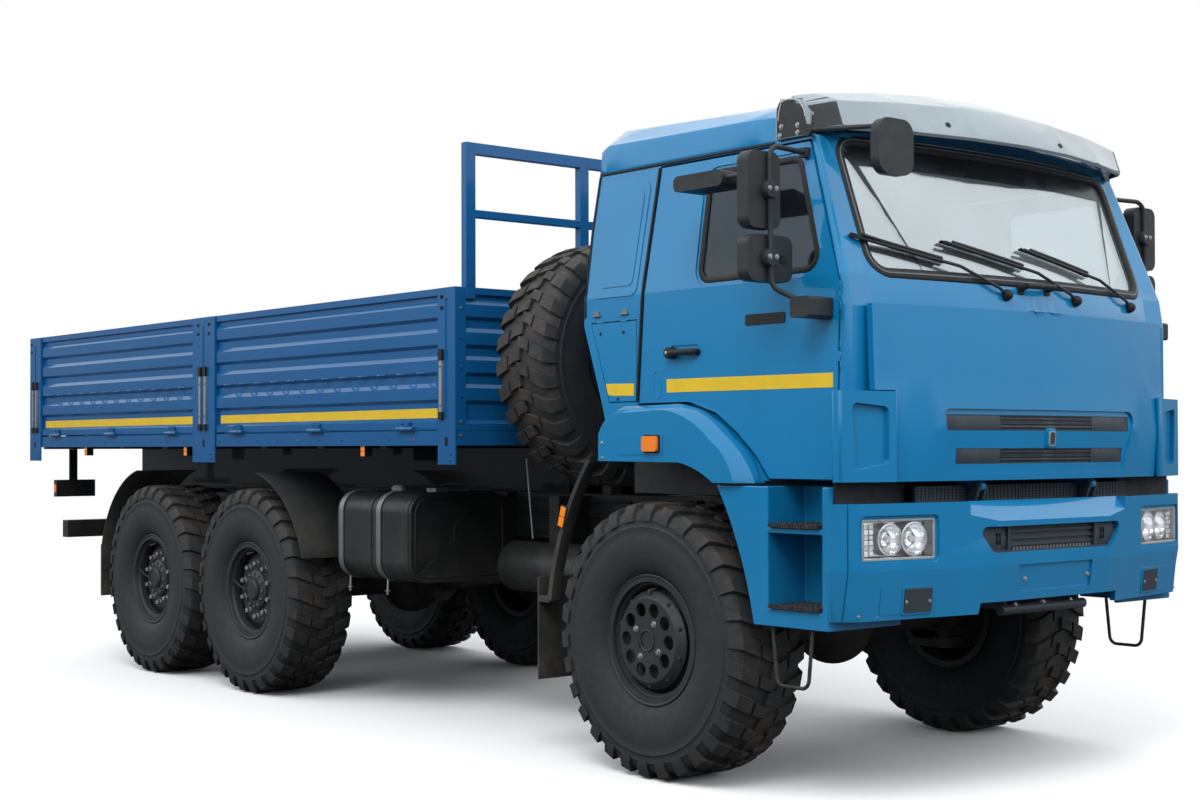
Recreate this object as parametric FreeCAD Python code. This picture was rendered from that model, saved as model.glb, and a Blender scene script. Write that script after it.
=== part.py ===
import FreeCAD, Part
import math
import os

# Six-wheel-drive cab-over cargo truck with a dropside bed.
# Sizes are in millimetres. X points forward from the front axle, Y to the left, Z up from the ground.
# The finished pieces are moved so that the origin lies under the middle of the whole truck.

# Fits
SEAT_GAP = 0.3
RUNNING_GAP = 6.0
SEAM_GAP = 10.0
PANEL_GAP = 7.0
OVERRUN = 400.0

# Axles and wheels
WHEELBASE = 3690.0
BOGIE_SPACING = 1320.0
FRONT_TRACK = 2060.0
REAR_TRACK = 2050.0
TYRE_RADIUS = 622.0
TYRE_WIDTH = 425.0
TREAD_DEPTH = 26.0
TYRE_SHOULDER_RADIUS = 552.0
TYRE_SIDEWALL_RADIUS = 440.0
LUG_COUNT = 21
LUG_SHARE = 0.56
LUG_LEAD_SHARE = 0.34
TREAD_WIDTH_SHARE = 0.88
RIM_SEAT_RADIUS = 268.0
RIM_FLANGE_RADIUS = 290.0
RIM_WALL = 12.0
RIM_WIDTH = 336.0
RIM_STEP_DEPTH = 26.0
RIM_STEP_HEIGHT = 14.0
RIM_FIT = 0.4
DISC_OFFSET = 92.0
DISC_THICKNESS = 14.0
HUB_RADIUS = 120.0
HUB_REACH = 132.0
NUT_CIRCLE_RADIUS = 162.0
NUT_RADIUS = 15.0
NUT_HEIGHT = 24.0
NUT_COUNT = 10
COVER_RADIUS = 222.0
COVER_FACE_RADIUS = 182.0
COVER_OFFSET = 150.0
COVER_REACH = 186.0
COVER_HOLE_RADIUS = 32.0
COVER_HOLE_CIRCLE = 141.0
COVER_HOLE_COUNT = 10
AXLE_HEIGHT = TYRE_RADIUS
KINGPIN_HALF_TRACK = 860.0
STUB_RADIUS = 60.0
HUB_BORE_CLEARANCE = 0.3
KNUCKLE_RADIUS = 130.0
KNUCKLE_THICKNESS = 56.0
BALL_RADIUS = 100.0
AXLE_TUBE_RADIUS = 75.0
DIFFERENTIAL_RADIUS = 200.0
NOSE_REACH_SHARE = 1.8
BRAKE_RADIUS = 200.0
BRAKE_WIDTH = 130.0

# Chassis
FRAME_FRONT = 1090.0
FRAME_REAR = -6640.0
FRAME_TOP = 1240.0
RAIL_HEIGHT = 250.0
RAIL_HALF_WIDTH = 435.0
RAIL_FLANGE = 80.0
RAIL_WALL = 10.0
CROSSMEMBER_COUNT = 8
CROSSMEMBER_HEIGHT = 90.0
CROSSMEMBER_DEPTH = 90.0
TOW_PLATE_HEIGHT = 200.0
TOW_PLATE_HALF_WIDTH = 130.0
TOW_PLATE_THICKNESS = 12.0
TOW_HOLE_RADIUS = 10.5
TOW_SPACING_Y = 160.0
TOW_SPACING_Z = 100.0
SPRING_WIDTH = 90.0
SPRING_HALF_TRACK = 410.0
FRONT_SPRING_LENGTH = 1500.0
FRONT_SPRING_CAMBER = 90.0
SPRING_PACK = 70.0
SHAFT_RADIUS = 45.0
ENGINE_LENGTH = 1250.0
ENGINE_WIDTH = 640.0
ENGINE_BOTTOM = 840.0
ENGINE_TOP = 1300.0
ENGINE_REAR = -420.0
ENGINE_MOUNT_SHARES = (0.3, 0.8)
GEARBOX_LENGTH = 900.0
GEARBOX_WIDTH = 360.0
GEARBOX_HEIGHT = 280.0
TRANSFER_LENGTH = 420.0
TRANSFER_WIDTH = 520.0
TRANSFER_HEIGHT = 370.0

# Mudguards
GUARD_THICKNESS = 6.0
GUARD_OUTER = 1230.0
GUARD_INNER = 790.0
GUARD_RADIUS = 730.0
FLAP_THICKNESS = 10.0
REAR_GUARD_ANGLES_SHARES = (18.0 / 360.0, 78.0 / 360.0)
LAST_GUARD_ANGLES_SHARES = (102.0 / 360.0, 165.0 / 360.0)
LIP_THICKNESS = 30.0
LIP_TOP_X = -410.0
LIP_TOP_Z = 1430.0
LIP_MIDDLE_X = -612.0
LIP_MIDDLE_Z = 1095.0
LIP_LOW_X = -706.0
LIP_LOW_Z = 757.0
LIP_BENDS = (1, 4)
FRONT_FLAP_SHARE = 1.24

# Side equipment, spread over the room between the front and the middle wheels
TANK_LENGTH = 740.0
TANK_OUTER = 1150.0
TANK_INNER = 500.0
TANK_BOTTOM = 756.0
TANK_TOP = 1242.0
TANK_CORNER = 110.0
TANK_CAP_RADIUS = 42.0
TANK_CAP_HEIGHT = 20.0
STRAP_WIDTH = 42.0
STRAP_THICKNESS = 4.0
STRAP_SHARES = (0.06, 0.55)
RESERVOIR_RADIUS = 135.0
RESERVOIR_LENGTH = 640.0
RESERVOIR_Z = 850.0
BOX_LENGTH = 620.0
SIDE_ROOM_REAR = TYRE_RADIUS - WHEELBASE
SIDE_ROOM_FRONT = -TYRE_RADIUS * 1.28
SIDE_ROOM_FREE = SIDE_ROOM_FRONT - SIDE_ROOM_REAR - TANK_LENGTH - RESERVOIR_LENGTH
TANK_REAR = SIDE_ROOM_REAR + SIDE_ROOM_FREE * 0.379
TANK_FRONT = TANK_REAR + TANK_LENGTH
RESERVOIR_REAR = TANK_FRONT + SIDE_ROOM_FREE * 0.325
RESERVOIR_FRONT = RESERVOIR_REAR + RESERVOIR_LENGTH
SPARE_X = -950.0
SPARE_Y = -600.0
SPARE_Z = 1912.0
CARRIER_TUBE = 70.0

# Bed
BED_FRONT = -1400.0
BED_REAR = -6874.0
BED_HALF_WIDTH = 1265.0
FLOOR_TOP = 1580.0
FLOOR_THICKNESS = 30.0
DECK_RISE = 4.0
SILL_HEIGHT = 80.0
SILL_DEPTH = 60.0
POST_TOP = 2310.0
POST_BOTTOM = 1400.0
POST_SKIN = 10.0
FRONT_POST_WIDTH = 155.0
MIDDLE_POST_FRONT = -3974.0
MIDDLE_POST_WIDTH = 293.0
REAR_POST_WIDTH = 197.0
CROSSBEARER_COUNT = 9
CROSSBEARER_DEPTH = 70.0
CROSSBEARER_DROP = 14.0
BEARER_WIDTH = 70.0
TAIL_LAMP_BOTTOM = 1130.0
TAIL_LAMP_TOP = 1258.0
MARKER_LENGTH = 44.0
MARKER_SHARES = (0.1728, 0.4507, 0.8349)
PANEL_THICKNESS = 28.0
RIB_PROUD = 16.0
RIB_COUNT = 4
HINGE_OUT = 16.0
HINGE_RADIUS = 12.0
HINGE_LENGTH = 90.0
HINGE_LUG = 30.0
DROPSIDE_HINGE_SHARES = (0.12, 0.5, 0.88)
TAILGATE_HINGE_SHARES = (0.12, 0.37, 0.63, 0.88)
RACK_TOP = 3055.0
RACK_TUBE = 60.0
RACK_BAR_SHARE = 0.537
RACK_BAR_HEIGHT = 40.0
RACK_INNER_Y = 420.0

# Cab
CAB_REAR_TOP = -500.0
CAB_REAR_WAIST = -530.0
CAB_REAR_LOW = -400.0
CAB_REAR_FOOT = -300.0
CAB_HALF_WIDTH = 1140.0
CAB_ROOF_HALF_WIDTH = 1064.0
CAB_BOTTOM = 1345.0
ARCH_FOOT = 1430.0
ARCH_FRONT = 505.0
ARCH_RISE_SHARE = 1.08
CAB_LOW = 1690.0
CAB_WAIST = 2060.0
COWL_BOTTOM = 2080.0
WINDSHIELD_BOTTOM = 2190.0
ROOF_SEAM = 2790.0
NOSE_LOW = 1205.0
NOSE_COWL = 1235.0
NOSE_GLASS = 1214.0
NOSE_ROOF = 992.0
NOSE_CORNER = 26.0
NOSE_CHEEK = 4.0
CHEEK_Y = 985.0
WINDSHIELD_MARGIN_LOW = 23.0
WINDSHIELD_MARGIN_TOP = 35.0
WINDSHIELD_CORNER = 90.0
FRONT_BULGE = 100.0
WALL = 55.0
CAB_FLOOR_THICKNESS = 60.0
PRESSING = 6.0
DOOR_FRONT_LOW = 1072.0
DOOR_FRONT_BELT = 1092.0
DOOR_FRONT_TOP = 868.0
DOOR_REAR_LOW = -135.0
DOOR_REAR_TOP = -54.0
DOOR_BELT = 2160.0
DOOR_TOP_DROP = 26.0
DOOR_TOP = ROOF_SEAM - DOOR_TOP_DROP
DOOR_HINGE_OUT = 6.0
DOOR_PIN_OUT = 1.0
DOOR_HINGE_SHARES = (0.6, 0.9)
PIN_RADIUS = 2.7
PIN_OUT = 2.0
PIN_LENGTH = 40.0
WINDOW_SILL = 59.0
WINDOW_HEADER = 64.0
WINDOW_PILLAR_LOW = 112.0
WINDOW_PILLAR_TOP = 53.0
WINDOW_REAR_LOW = 309.0
WINDOW_REAR_TOP = 322.0
WINDOW_BEVEL = 26.0
WINDOW_CORNER = 60.0
HANDLE_X = 170.0
HANDLE_Z = 1908.0
HANDLE_HALF_LENGTH = 105.0
HANDLE_HALF_HEIGHT = 34.0
GLASS_THICKNESS = 6.0
GLASS_INSET = 12.0
GLASS_FIT = 0.3
FLAP_SKIN = 6.0
ROOF_RISE_REAR = 260.0
ROOF_RISE_FRONT = 222.0
ROOF_RISE_BROW = 195.0
ROOF_TOP_REAR = ROOF_SEAM + ROOF_RISE_REAR
ROOF_TOP_FRONT = ROOF_SEAM + ROOF_RISE_FRONT
ROOF_TOP_BROW = ROOF_SEAM + ROOF_RISE_BROW
ROOF_CROWN = 45.0
ROOF_LEAN = 12.0
ROOF_SHOULDER = 125.0
ROOF_CREASE_SHARE = 0.5
ROOF_REAR_DROP = 45.0
ROOF_REAR_RUN = 50.0
ROOF_HIGH_SHARE = 0.7
ROOF_BROW_RUN = 190.0
ROOF_BROW_NARROW = 20.0
ROOF_NOSE_RUN = 75.0
ROOF_NOSE_RISE = 90.0
ROOF_NOSE_NARROW = 120.0
ROOF_WALL = 30.0

# Sun visor and roof lamps
VISOR_HALF_WIDTH = 1080.0
VISOR_TOP_X = 900.0
VISOR_TOP_RISE = 256.0
VISOR_TOP_Z = ROOF_SEAM + VISOR_TOP_RISE
VISOR_TIP_X = 1170.0
VISOR_TIP_RISE = 30.0
VISOR_TIP_Z = ROOF_SEAM + VISOR_TIP_RISE
VISOR_TOP_SWEEP = 72.0
VISOR_TOP_DROP = 79.0
VISOR_TIP_SWEEP = 214.0
VISOR_TIP_DROP = 4.0
VISOR_END_SWEEP = 110.0
VISOR_BELLY = 34.0
VISOR_SKIN = 12.0
VISOR_SECTION_SHARES = (-1.0, -0.93, -0.62, -0.31, 0.0, 0.31, 0.62, 0.93, 1.0)
VISOR_PLATE = 18.0
VISOR_PLATE_REAR = 682.0
VISOR_PLATE_LENGTH = 200.0
VISOR_PLATE_HEIGHT = 172.0
VISOR_PLATE_SHARES = ((0.0, 0.0), (0.95, 0.0), (1.0, 0.53), (0.75, 0.89), (0.15, 1.0), (0.0, 0.68))
ROOF_LAMP_X = 720.0
ROOF_LAMP_HALF_LENGTH = 30.0
ROOF_LAMP_HALF_WIDTH = 40.0
ROOF_LAMP_HEIGHT = 48.0
ROOF_LAMP_SPACING = 150.0

# Fenders
FENDER_OUTER = 1250.0
FENDER_TOP = 1679.0
FENDER_REAR = -299.0
FENDER_FRONT = 673.0
FENDER_BAND = 120.0
FENDER_CHAMFER = 45.0
FENDER_UPPER_SHARES = ((0.0, 0.68), (0.06, 0.9), (0.18, 0.985), (0.5, 1.0), (0.68, 0.85), (0.815, 0.593),
                       (0.93, 0.31), (1.0, 0.0))
FENDER_EDGE_SHARES = ((0.0, 0.61), (0.05, 0.8), (0.16, 0.9), (0.46, 0.925), (0.63, 0.785), (0.765, 0.532),
                      (0.865, 0.28), (0.913, 0.0))
FENDER_ARCH_SHARES = ((0.781, 0.0), (0.682, 0.15), (0.56, 0.25), (0.0, 0.262))
FENDER_BENDS = (1, 4, 6, 9)
FLAP_TOP_SHARE = 0.2
FLAP_FOOT_SHARE = 0.6
SPRING_SEAT_SHARE = 1.5
LAMP_HANGER_SHARE = 0.75
ARCH_SHOULDER_SHARE = 0.67
MIRROR_CORNER_SHARE = 0.6

# Front panel, grille and corner deflectors
PANEL_FRONT_THICKNESS = 30.0
FRONT_PANEL_HALF_WIDTH = 1035.0
PANEL_FOOT_OUT = 10.0
PANEL_CHIN_OUT = 25.0
PANEL_BROW_OUT = 8.0
PANEL_CHIN_Z = 1555.0
PANEL_BROW_Z = 1800.0
PANEL_PAD_SIZE = 40.0
PANEL_PAD_Z = 1900.0
PANEL_PAD_Y = 480.0
PANEL_HINGE_Y = 60.0
GRILLE_TOP = 1645.0
GRILLE_BOTTOM = 1371.0
GRILLE_TOP_HALF = 710.0
GRILLE_BOTTOM_HALF = 600.0
GRILLE_RECESS = 12.0
GRILLE_CORNER = 45.0
UPPER_SLOT_BOTTOM = 1555.0
UPPER_SLOT_TOP = 1622.0
UPPER_SLOT_HALF = 655.0
LOWER_SLOT_BOTTOM = 1415.0
LOWER_SLOT_TOP = 1480.0
LOWER_SLOT_HALF = 600.0
LOUVRE_COUNT = 4
LOUVRE_HALF_WIDTH = 330.0
GRILLE_SKIN = 12.0
BADGE_HALF_WIDTH = 36.0
BADGE_BOTTOM = 1478.0
BADGE_TOP = 1567.0
DEFLECTOR_TOP = 1713.0
DEFLECTOR_OUTER = 1215.0
DEFLECTOR_INNER = 938.0
DEFLECTOR_SIDE_FRONT = 1160.0
DEFLECTOR_POCKET = 22.0
DEFLECTOR_MARGIN = 46.0

# Cab tilt pivot
TILT_X = 1215.0
TILT_Z = 1320.0
TILT_Y = 400.0
TILT_LUG_THICKNESS = 30.0
TILT_LUG_RADIUS = 21.0
TILT_PIN_RADIUS = 12.0
TILT_EAR_THICKNESS = 18.0

# Mirrors and wipers
MIRROR_TUBE_RADIUS = 11.0
MIRROR_TUBE_BEND = 60.0
MIRROR_ARM_X = 895.0
MIRROR_ARM_Y = 1340.0
MIRROR_TOP_DROP = 75.0
MIRROR_TOP_Z = ROOF_SEAM - MIRROR_TOP_DROP
MIRROR_FOOT_Z = 2075.0
MIRROR_FACE_X = 855.0
MIRROR_Y = 1360.0
MIRROR_HALF_WIDTH = 92.0
MIRROR_HALF_DEPTH = 32.0
MIRROR_CORNER = 44.0
MAIN_MIRROR_BOTTOM = 2375.0
MAIN_MIRROR_TOP = 2690.0
LOW_MIRROR_BOTTOM = 2160.0
LOW_MIRROR_TOP = 2350.0
LOW_MIRROR_Y = 1325.0
LOW_MIRROR_HALF_WIDTH = 127.0
MIRROR_CLAMP_HALF = 20.0
MIRROR_BRACKET_X = 1010.0
MIRROR_BRACKET_HALF_LENGTH = 50.0
MIRROR_BRACKET_BOTTOM = 2010.0
MIRROR_BRACKET_TOP = 2095.0
MIRROR_BRACKET_OUT = 150.0
KERB_MIRROR_X = 500.0
KERB_MIRROR_Z = 2612.0
KERB_MIRROR_HALF_LENGTH = 150.0
KERB_MIRROR_HALF_HEIGHT = 34.0
KERB_MIRROR_INNER = 1225.0
KERB_MIRROR_OUTER = 1370.0
FRONT_MIRROR_X = 1310.0
FRONT_MIRROR_Y = 1065.0
FRONT_MIRROR_DROP = 110.0
FRONT_MIRROR_Z = ROOF_SEAM - FRONT_MIRROR_DROP
FRONT_MIRROR_HALF_WIDTH = 105.0
FRONT_MIRROR_HALF_HEIGHT = 112.0
FRONT_MIRROR_HALF_DEPTH = 22.0
FRONT_MIRROR_ROD_RADIUS = 10.0
FRONT_MIRROR_ROD_X = 880.0
FRONT_MIRROR_ROD_RISE = 16.0
FRONT_MIRROR_ROD_Z = ROOF_SEAM + FRONT_MIRROR_ROD_RISE
FRONT_MIRROR_FOOT_RADIUS = 25.0
WIPER_MIDDLE_Y = 290.0
WIPER_SPACING = 508.0
WIPER_Z = 2140.0
WIPER_RADIUS = 7.0
WIPER_OUT = 26.0
WIPER_REACH = 830.0
WIPER_RISE = 215.0
WIPER_BEND = 30.0

# Inside the cab
DASH_REAR = 790.0
DASH_FRONT = 1250.0
DASH_HALF_WIDTH = 930.0
DASH_DEPTH = 180.0
DASH_RISE = 70.0
STEERING_X = 640.0
STEERING_Y = 480.0
STEERING_Z = 2120.0
STEERING_COLUMN_RUN = 200.0
STEERING_COLUMN_DROP = 140.0
STEERING_WHEEL_RADIUS = 215.0
STEERING_RIM_RADIUS = 15.0
STEERING_COLUMN_RADIUS = 24.0
SEAT_RIGHT_Y = -520.0
SEAT_LEFT_Y = 480.0
SEAT_REAR = -40.0
SEAT_LENGTH = 520.0
SEAT_HALF_WIDTH = 250.0
SEAT_BASE_HEIGHT = 206.0
SEAT_CUSHION = 130.0
SEAT_BACK_HEIGHT = 590.0
SEAT_BACK_THICKNESS = 130.0
SEAT_BACK_RAKE = 110.0
SEAT_CORNER = 50.0

# Bumper
BUMPER_BOTTOM = 785.0
BUMPER_TOP = 1258.0
BUMPER_HALF_WIDTH = 1246.0
BUMPER_REAR = 1105.0
BUMPER_NOSE = 1318.0
BUMPER_WALL = 30.0
BUMPER_TUCK = 24.0
BUMPER_LINE_Z = 985.0
BUMPER_MIDDLE_HALF = 560.0
BUMPER_MIDDLE_BOTTOM = 832.0
BUMPER_BROW_SETBACK = 76.0
BUMPER_BROW_DROP = 84.0
BUMPER_END_SHARE = 0.14
BUMPER_OUTLINE_SHARES = ((0.9, 0.475), (0.6, 0.737), (0.32, 1.0))
BUMPER_SEAM_Y = 1180.0
POCKET_DEPTH = 10.0
POCKET_MARGIN = 14.0
SLOT_BOTTOM = 1040.0
SLOT_TOP = 1150.0
SLOT_TOP_HALF = 525.0
SLOT_BOTTOM_HALF = 430.0
SLOT_CORNER = 26.0
INTAKE_BAR_COUNT = 4
PLATE_HALF_WIDTH = 265.0
PLATE_BOTTOM = 868.0
PLATE_TOP = 984.0
FOG_INNER = 903.0
FOG_OUTER = 1023.0
FOG_BOTTOM = 813.0
FOG_TOP = 916.0
HEADLAMP_INNER = 742.0
HEADLAMP_OUTER = 1125.0
HEADLAMP_BOTTOM = 1028.0
HEADLAMP_TOP = 1195.0
HEADLAMP_INSET = 14.0
BEAM_FRONT = 1150.0
BEAM_HALF_WIDTH = 740.0
BEAM_BOTTOM = 1000.0
BEAM_TOP = 1110.0
STUB_Y = 600.0
STUB_WIDTH = 40.0
MESH_HALF_WIDTH = 760.0
MESH_TOP = 1322.0
MESH_THICKNESS = 15.0
LOW_TUBE_RADIUS = 22.0
LOW_TUBE_HALF_LENGTH = 300.0
LOW_TUBE_X = 1240.0
LOW_TUBE_Z = 786.0
TIE_Y = 250.0
TIE_WIDTH = 20.0

# Cab steps
STEP_REAR_TOP = 455.0
STEP_REAR_LOW = 676.0
STEP_BOTTOM = 745.0
STEP_TOP = 1325.0
STEP_OUTER = 1222.0
STEP_INNER = 780.0
STEP_WALL = 24.0
STEP_POCKET_REAR = 765.0
STEP_POCKET_FRONT = 1066.0
STEP_POCKET_INNER = 1000.0
LOWER_TREAD_Z = 820.0
UPPER_TREAD_Z = 1155.0
TREAD_THICKNESS = 16.0
TREAD_OUT = 12.0
TREAD_SLOT_COUNT = 7
STEER_ROOM_RADIUS = 760.0
STEP_ARM_X = 960.0
STEP_ARM_LENGTH = 50.0
STIRRUP_Y = 1190.0
STIRRUP_REAR = 760.0
STIRRUP_LENGTH = 225.0
STIRRUP_LEAN = 25.0
STIRRUP_BOTTOM = 500.0
STIRRUP_RADIUS = 8.0
STIRRUP_BEND = 40.0

pieces = {}


def vec(x, y, z):
    return FreeCAD.Vector(x, y, z)


def box(x0, x1, y0, y1, z0, z1):
    return Part.makeBox(x1 - x0, y1 - y0, z1 - z0, vec(x0, y0, z0))


def rounded_wire(points, radius=0.0):
    """A closed wire through the points, with an arc of up to the given radius at each corner."""
    count = len(points)
    if not radius:
        return Part.makePolygon(points + [points[0]])
    entries, exits, middles = [], [], []
    for i, corner in enumerate(points):
        before = points[i - 1] - corner
        after = points[(i + 1) % count] - corner
        half = before.getAngle(after) / 2
        reach = min(radius / math.tan(half), before.Length * 0.45, after.Length * 0.45)
        sweep_radius = reach * math.tan(half)
        entry = corner + before.normalize() * reach
        leave = corner + after.normalize() * reach
        inward = (before + after).normalize()
        centre = corner + inward * (sweep_radius / math.sin(half))
        entries.append(entry)
        exits.append(leave)
        middles.append(centre - inward * sweep_radius)
    edges = []
    for i in range(count):
        edges.append(Part.Arc(entries[i], middles[i], exits[i]).toShape())
        edges.append(Part.LineSegment(exits[i], entries[(i + 1) % count]).toShape())
    return Part.Wire(edges)


def prism_y(outline, y0, y1, radius=0.0):
    """Extrudes an outline of (x, z) points from y0 to y1."""
    wire = rounded_wire([vec(x, y0, z) for x, z in outline], radius)
    return Part.Face(wire).extrude(vec(0, y1 - y0, 0))


def prism_x(outline, x0, x1, radius=0.0):
    """Extrudes an outline of (y, z) points from x0 to x1."""
    wire = rounded_wire([vec(x0, y, z) for y, z in outline], radius)
    return Part.Face(wire).extrude(vec(x1 - x0, 0, 0))


def prism_z(outline, z0, z1, radius=0.0):
    """Extrudes an outline of (x, y) points from z0 to z1."""
    wire = rounded_wire([vec(x, y, z0) for x, y in outline], radius)
    return Part.Face(wire).extrude(vec(0, 0, z1 - z0))


def rectangle(a0, a1, b0, b1):
    return [(a0, b0), (a1, b0), (a1, b1), (a0, b1)]


def cylinder_x(radius, x0, x1, y, z):
    return Part.makeCylinder(radius, x1 - x0, vec(x0, y, z), vec(1, 0, 0))


def cylinder_y(radius, y0, y1, x, z):
    return Part.makeCylinder(radius, y1 - y0, vec(x, y0, z), vec(0, 1, 0))


def cylinder_z(radius, z0, z1, x, y):
    return Part.makeCylinder(radius, z1 - z0, vec(x, y, z0), vec(0, 0, 1))


def revolve_y(outline):
    """Turns an outline of (radius, along Y) points about the Y axis."""
    wire = rounded_wire([vec(r, y, 0) for r, y in outline])
    return Part.Face(wire).revolve(vec(0, 0, 0), vec(0, 1, 0), 360)


def rod(start, end, radius):
    return Part.makeCylinder(radius, (end - start).Length, start, end - start)


def tube_path(points, radius, bend):
    """A round bar along the points, with arcs at the bends."""
    edges = []
    last = points[0]
    for i in range(1, len(points) - 1):
        corner = points[i]
        before = (points[i - 1] - corner)
        after = (points[i + 1] - corner)
        half = before.getAngle(after) / 2
        reach = min(bend / math.tan(half), before.Length * 0.45, after.Length * 0.45)
        entry = corner + before.normalize() * reach
        leave = corner + after.normalize() * reach
        inward = (before + after).normalize()
        middle = corner + inward * (reach * math.tan(half) * (1 / math.sin(half) - 1))
        edges.append(Part.LineSegment(last, entry).toShape())
        edges.append(Part.Arc(entry, middle, leave).toShape())
        last = leave
    edges.append(Part.LineSegment(last, points[-1]).toShape())
    path = Part.Wire(edges)
    start = points[0]
    circle = Part.makeCircle(radius, start, points[1] - start)
    return path.makePipeShell([Part.Wire(circle)], True, True)


def fused(shapes):
    whole = shapes[0].fuse(shapes[1:]) if len(shapes) > 1 else shapes[0]
    return whole.removeSplitter()


def mirrored(shape):
    return shape.mirror(vec(0, 0, 0), vec(0, 1, 0))


def both_sides(shape):
    return [shape, mirrored(shape)]


def moved(shape, x, y, z):
    copy = shape.copy()
    copy.translate(vec(x, y, z))
    return copy


def node(name, shapes):
    """Keeps the solids of one node."""
    found = []
    for shape in shapes if isinstance(shapes, list) else [shapes]:
        found.extend(shape.Solids)
    pieces[name] = Part.makeCompound(found) if len(found) > 1 else found[0]


# Wheels

def ring_point(radius, across, turn):
    """A point about the Y axis, its turn measured from straight down."""
    return vec(radius * math.sin(turn), across, -radius * math.cos(turn))


def tyre():
    """A cross-country tyre with chevron lugs, standing on the flat of one lug, its hub line along Y."""
    pitch = 2 * math.pi / LUG_COUNT
    half_lug = pitch * LUG_SHARE / 2
    lead = pitch * LUG_LEAD_SHARE
    crown = TYRE_RADIUS / math.cos(lead / 2)
    base = crown - TREAD_DEPTH
    half = TYRE_WIDTH / 2
    tread = half * TREAD_WIDTH_SHARE
    flange_side = RIM_WIDTH / 2 - RIM_WALL - RIM_FIT
    to_corner = 1 / math.cos(pitch / 2)
    seat = (RIM_SEAT_RADIUS + RIM_FIT) * to_corner
    lip = (RIM_FLANGE_RADIUS + RIM_FIT) * to_corner
    faces = []

    def facet(*corners):
        faces.append(Part.Face(Part.makePolygon(list(corners) + [corners[0]])))

    def skewed(a, b, c, d):
        facet(a, b, c)
        facet(a, c, d)

    for i in range(LUG_COUNT):
        start = pitch * i - lead / 2
        end = start + half_lug * 2
        after = start + pitch
        facet(ring_point(seat, -flange_side, start), ring_point(seat, -flange_side, after),
              ring_point(seat, flange_side, after), ring_point(seat, flange_side, start))
        for side in (-1, 1):
            walls = [(seat, flange_side), (lip, flange_side), (TYRE_SIDEWALL_RADIUS, half),
                     (TYRE_SHOULDER_RADIUS, half * 0.97)]
            for (r0, y0), (r1, y1) in zip(walls, walls[1:]):
                facet(ring_point(r0, side * y0, start), ring_point(r0, side * y0, after),
                      ring_point(r1, side * y1, after), ring_point(r1, side * y1, start))
            low = ring_point(TYRE_SHOULDER_RADIUS, side * half * 0.97, start)
            next_low = ring_point(TYRE_SHOULDER_RADIUS, side * half * 0.97, after)
            tops = [ring_point(crown, side * tread, turn) for turn in (start, end, after)]
            roots = [ring_point(base, side * tread, turn) for turn in (start, end, after)]
            top_ridge = [ring_point(crown, 0, turn + lead) for turn in (start, end, after)]
            root_ridge = [ring_point(base, 0, turn + lead) for turn in (start, end, after)]
            facet(low, tops[0], tops[1])
            facet(low, tops[1], roots[1])
            facet(low, roots[1], next_low)
            facet(next_low, roots[1], roots[2])
            facet(next_low, roots[2], tops[2])
            skewed(tops[0], tops[1], top_ridge[1], top_ridge[0])
            skewed(tops[1], roots[1], root_ridge[1], top_ridge[1])
            skewed(roots[1], roots[2], root_ridge[2], root_ridge[1])
            skewed(roots[2], tops[2], top_ridge[2], root_ridge[2])
    shell = Part.makeShell(faces)
    shell.sewShape()
    solid = Part.Solid(shell)
    if solid.Volume < 0:
        solid.reverse()
    return solid


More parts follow.
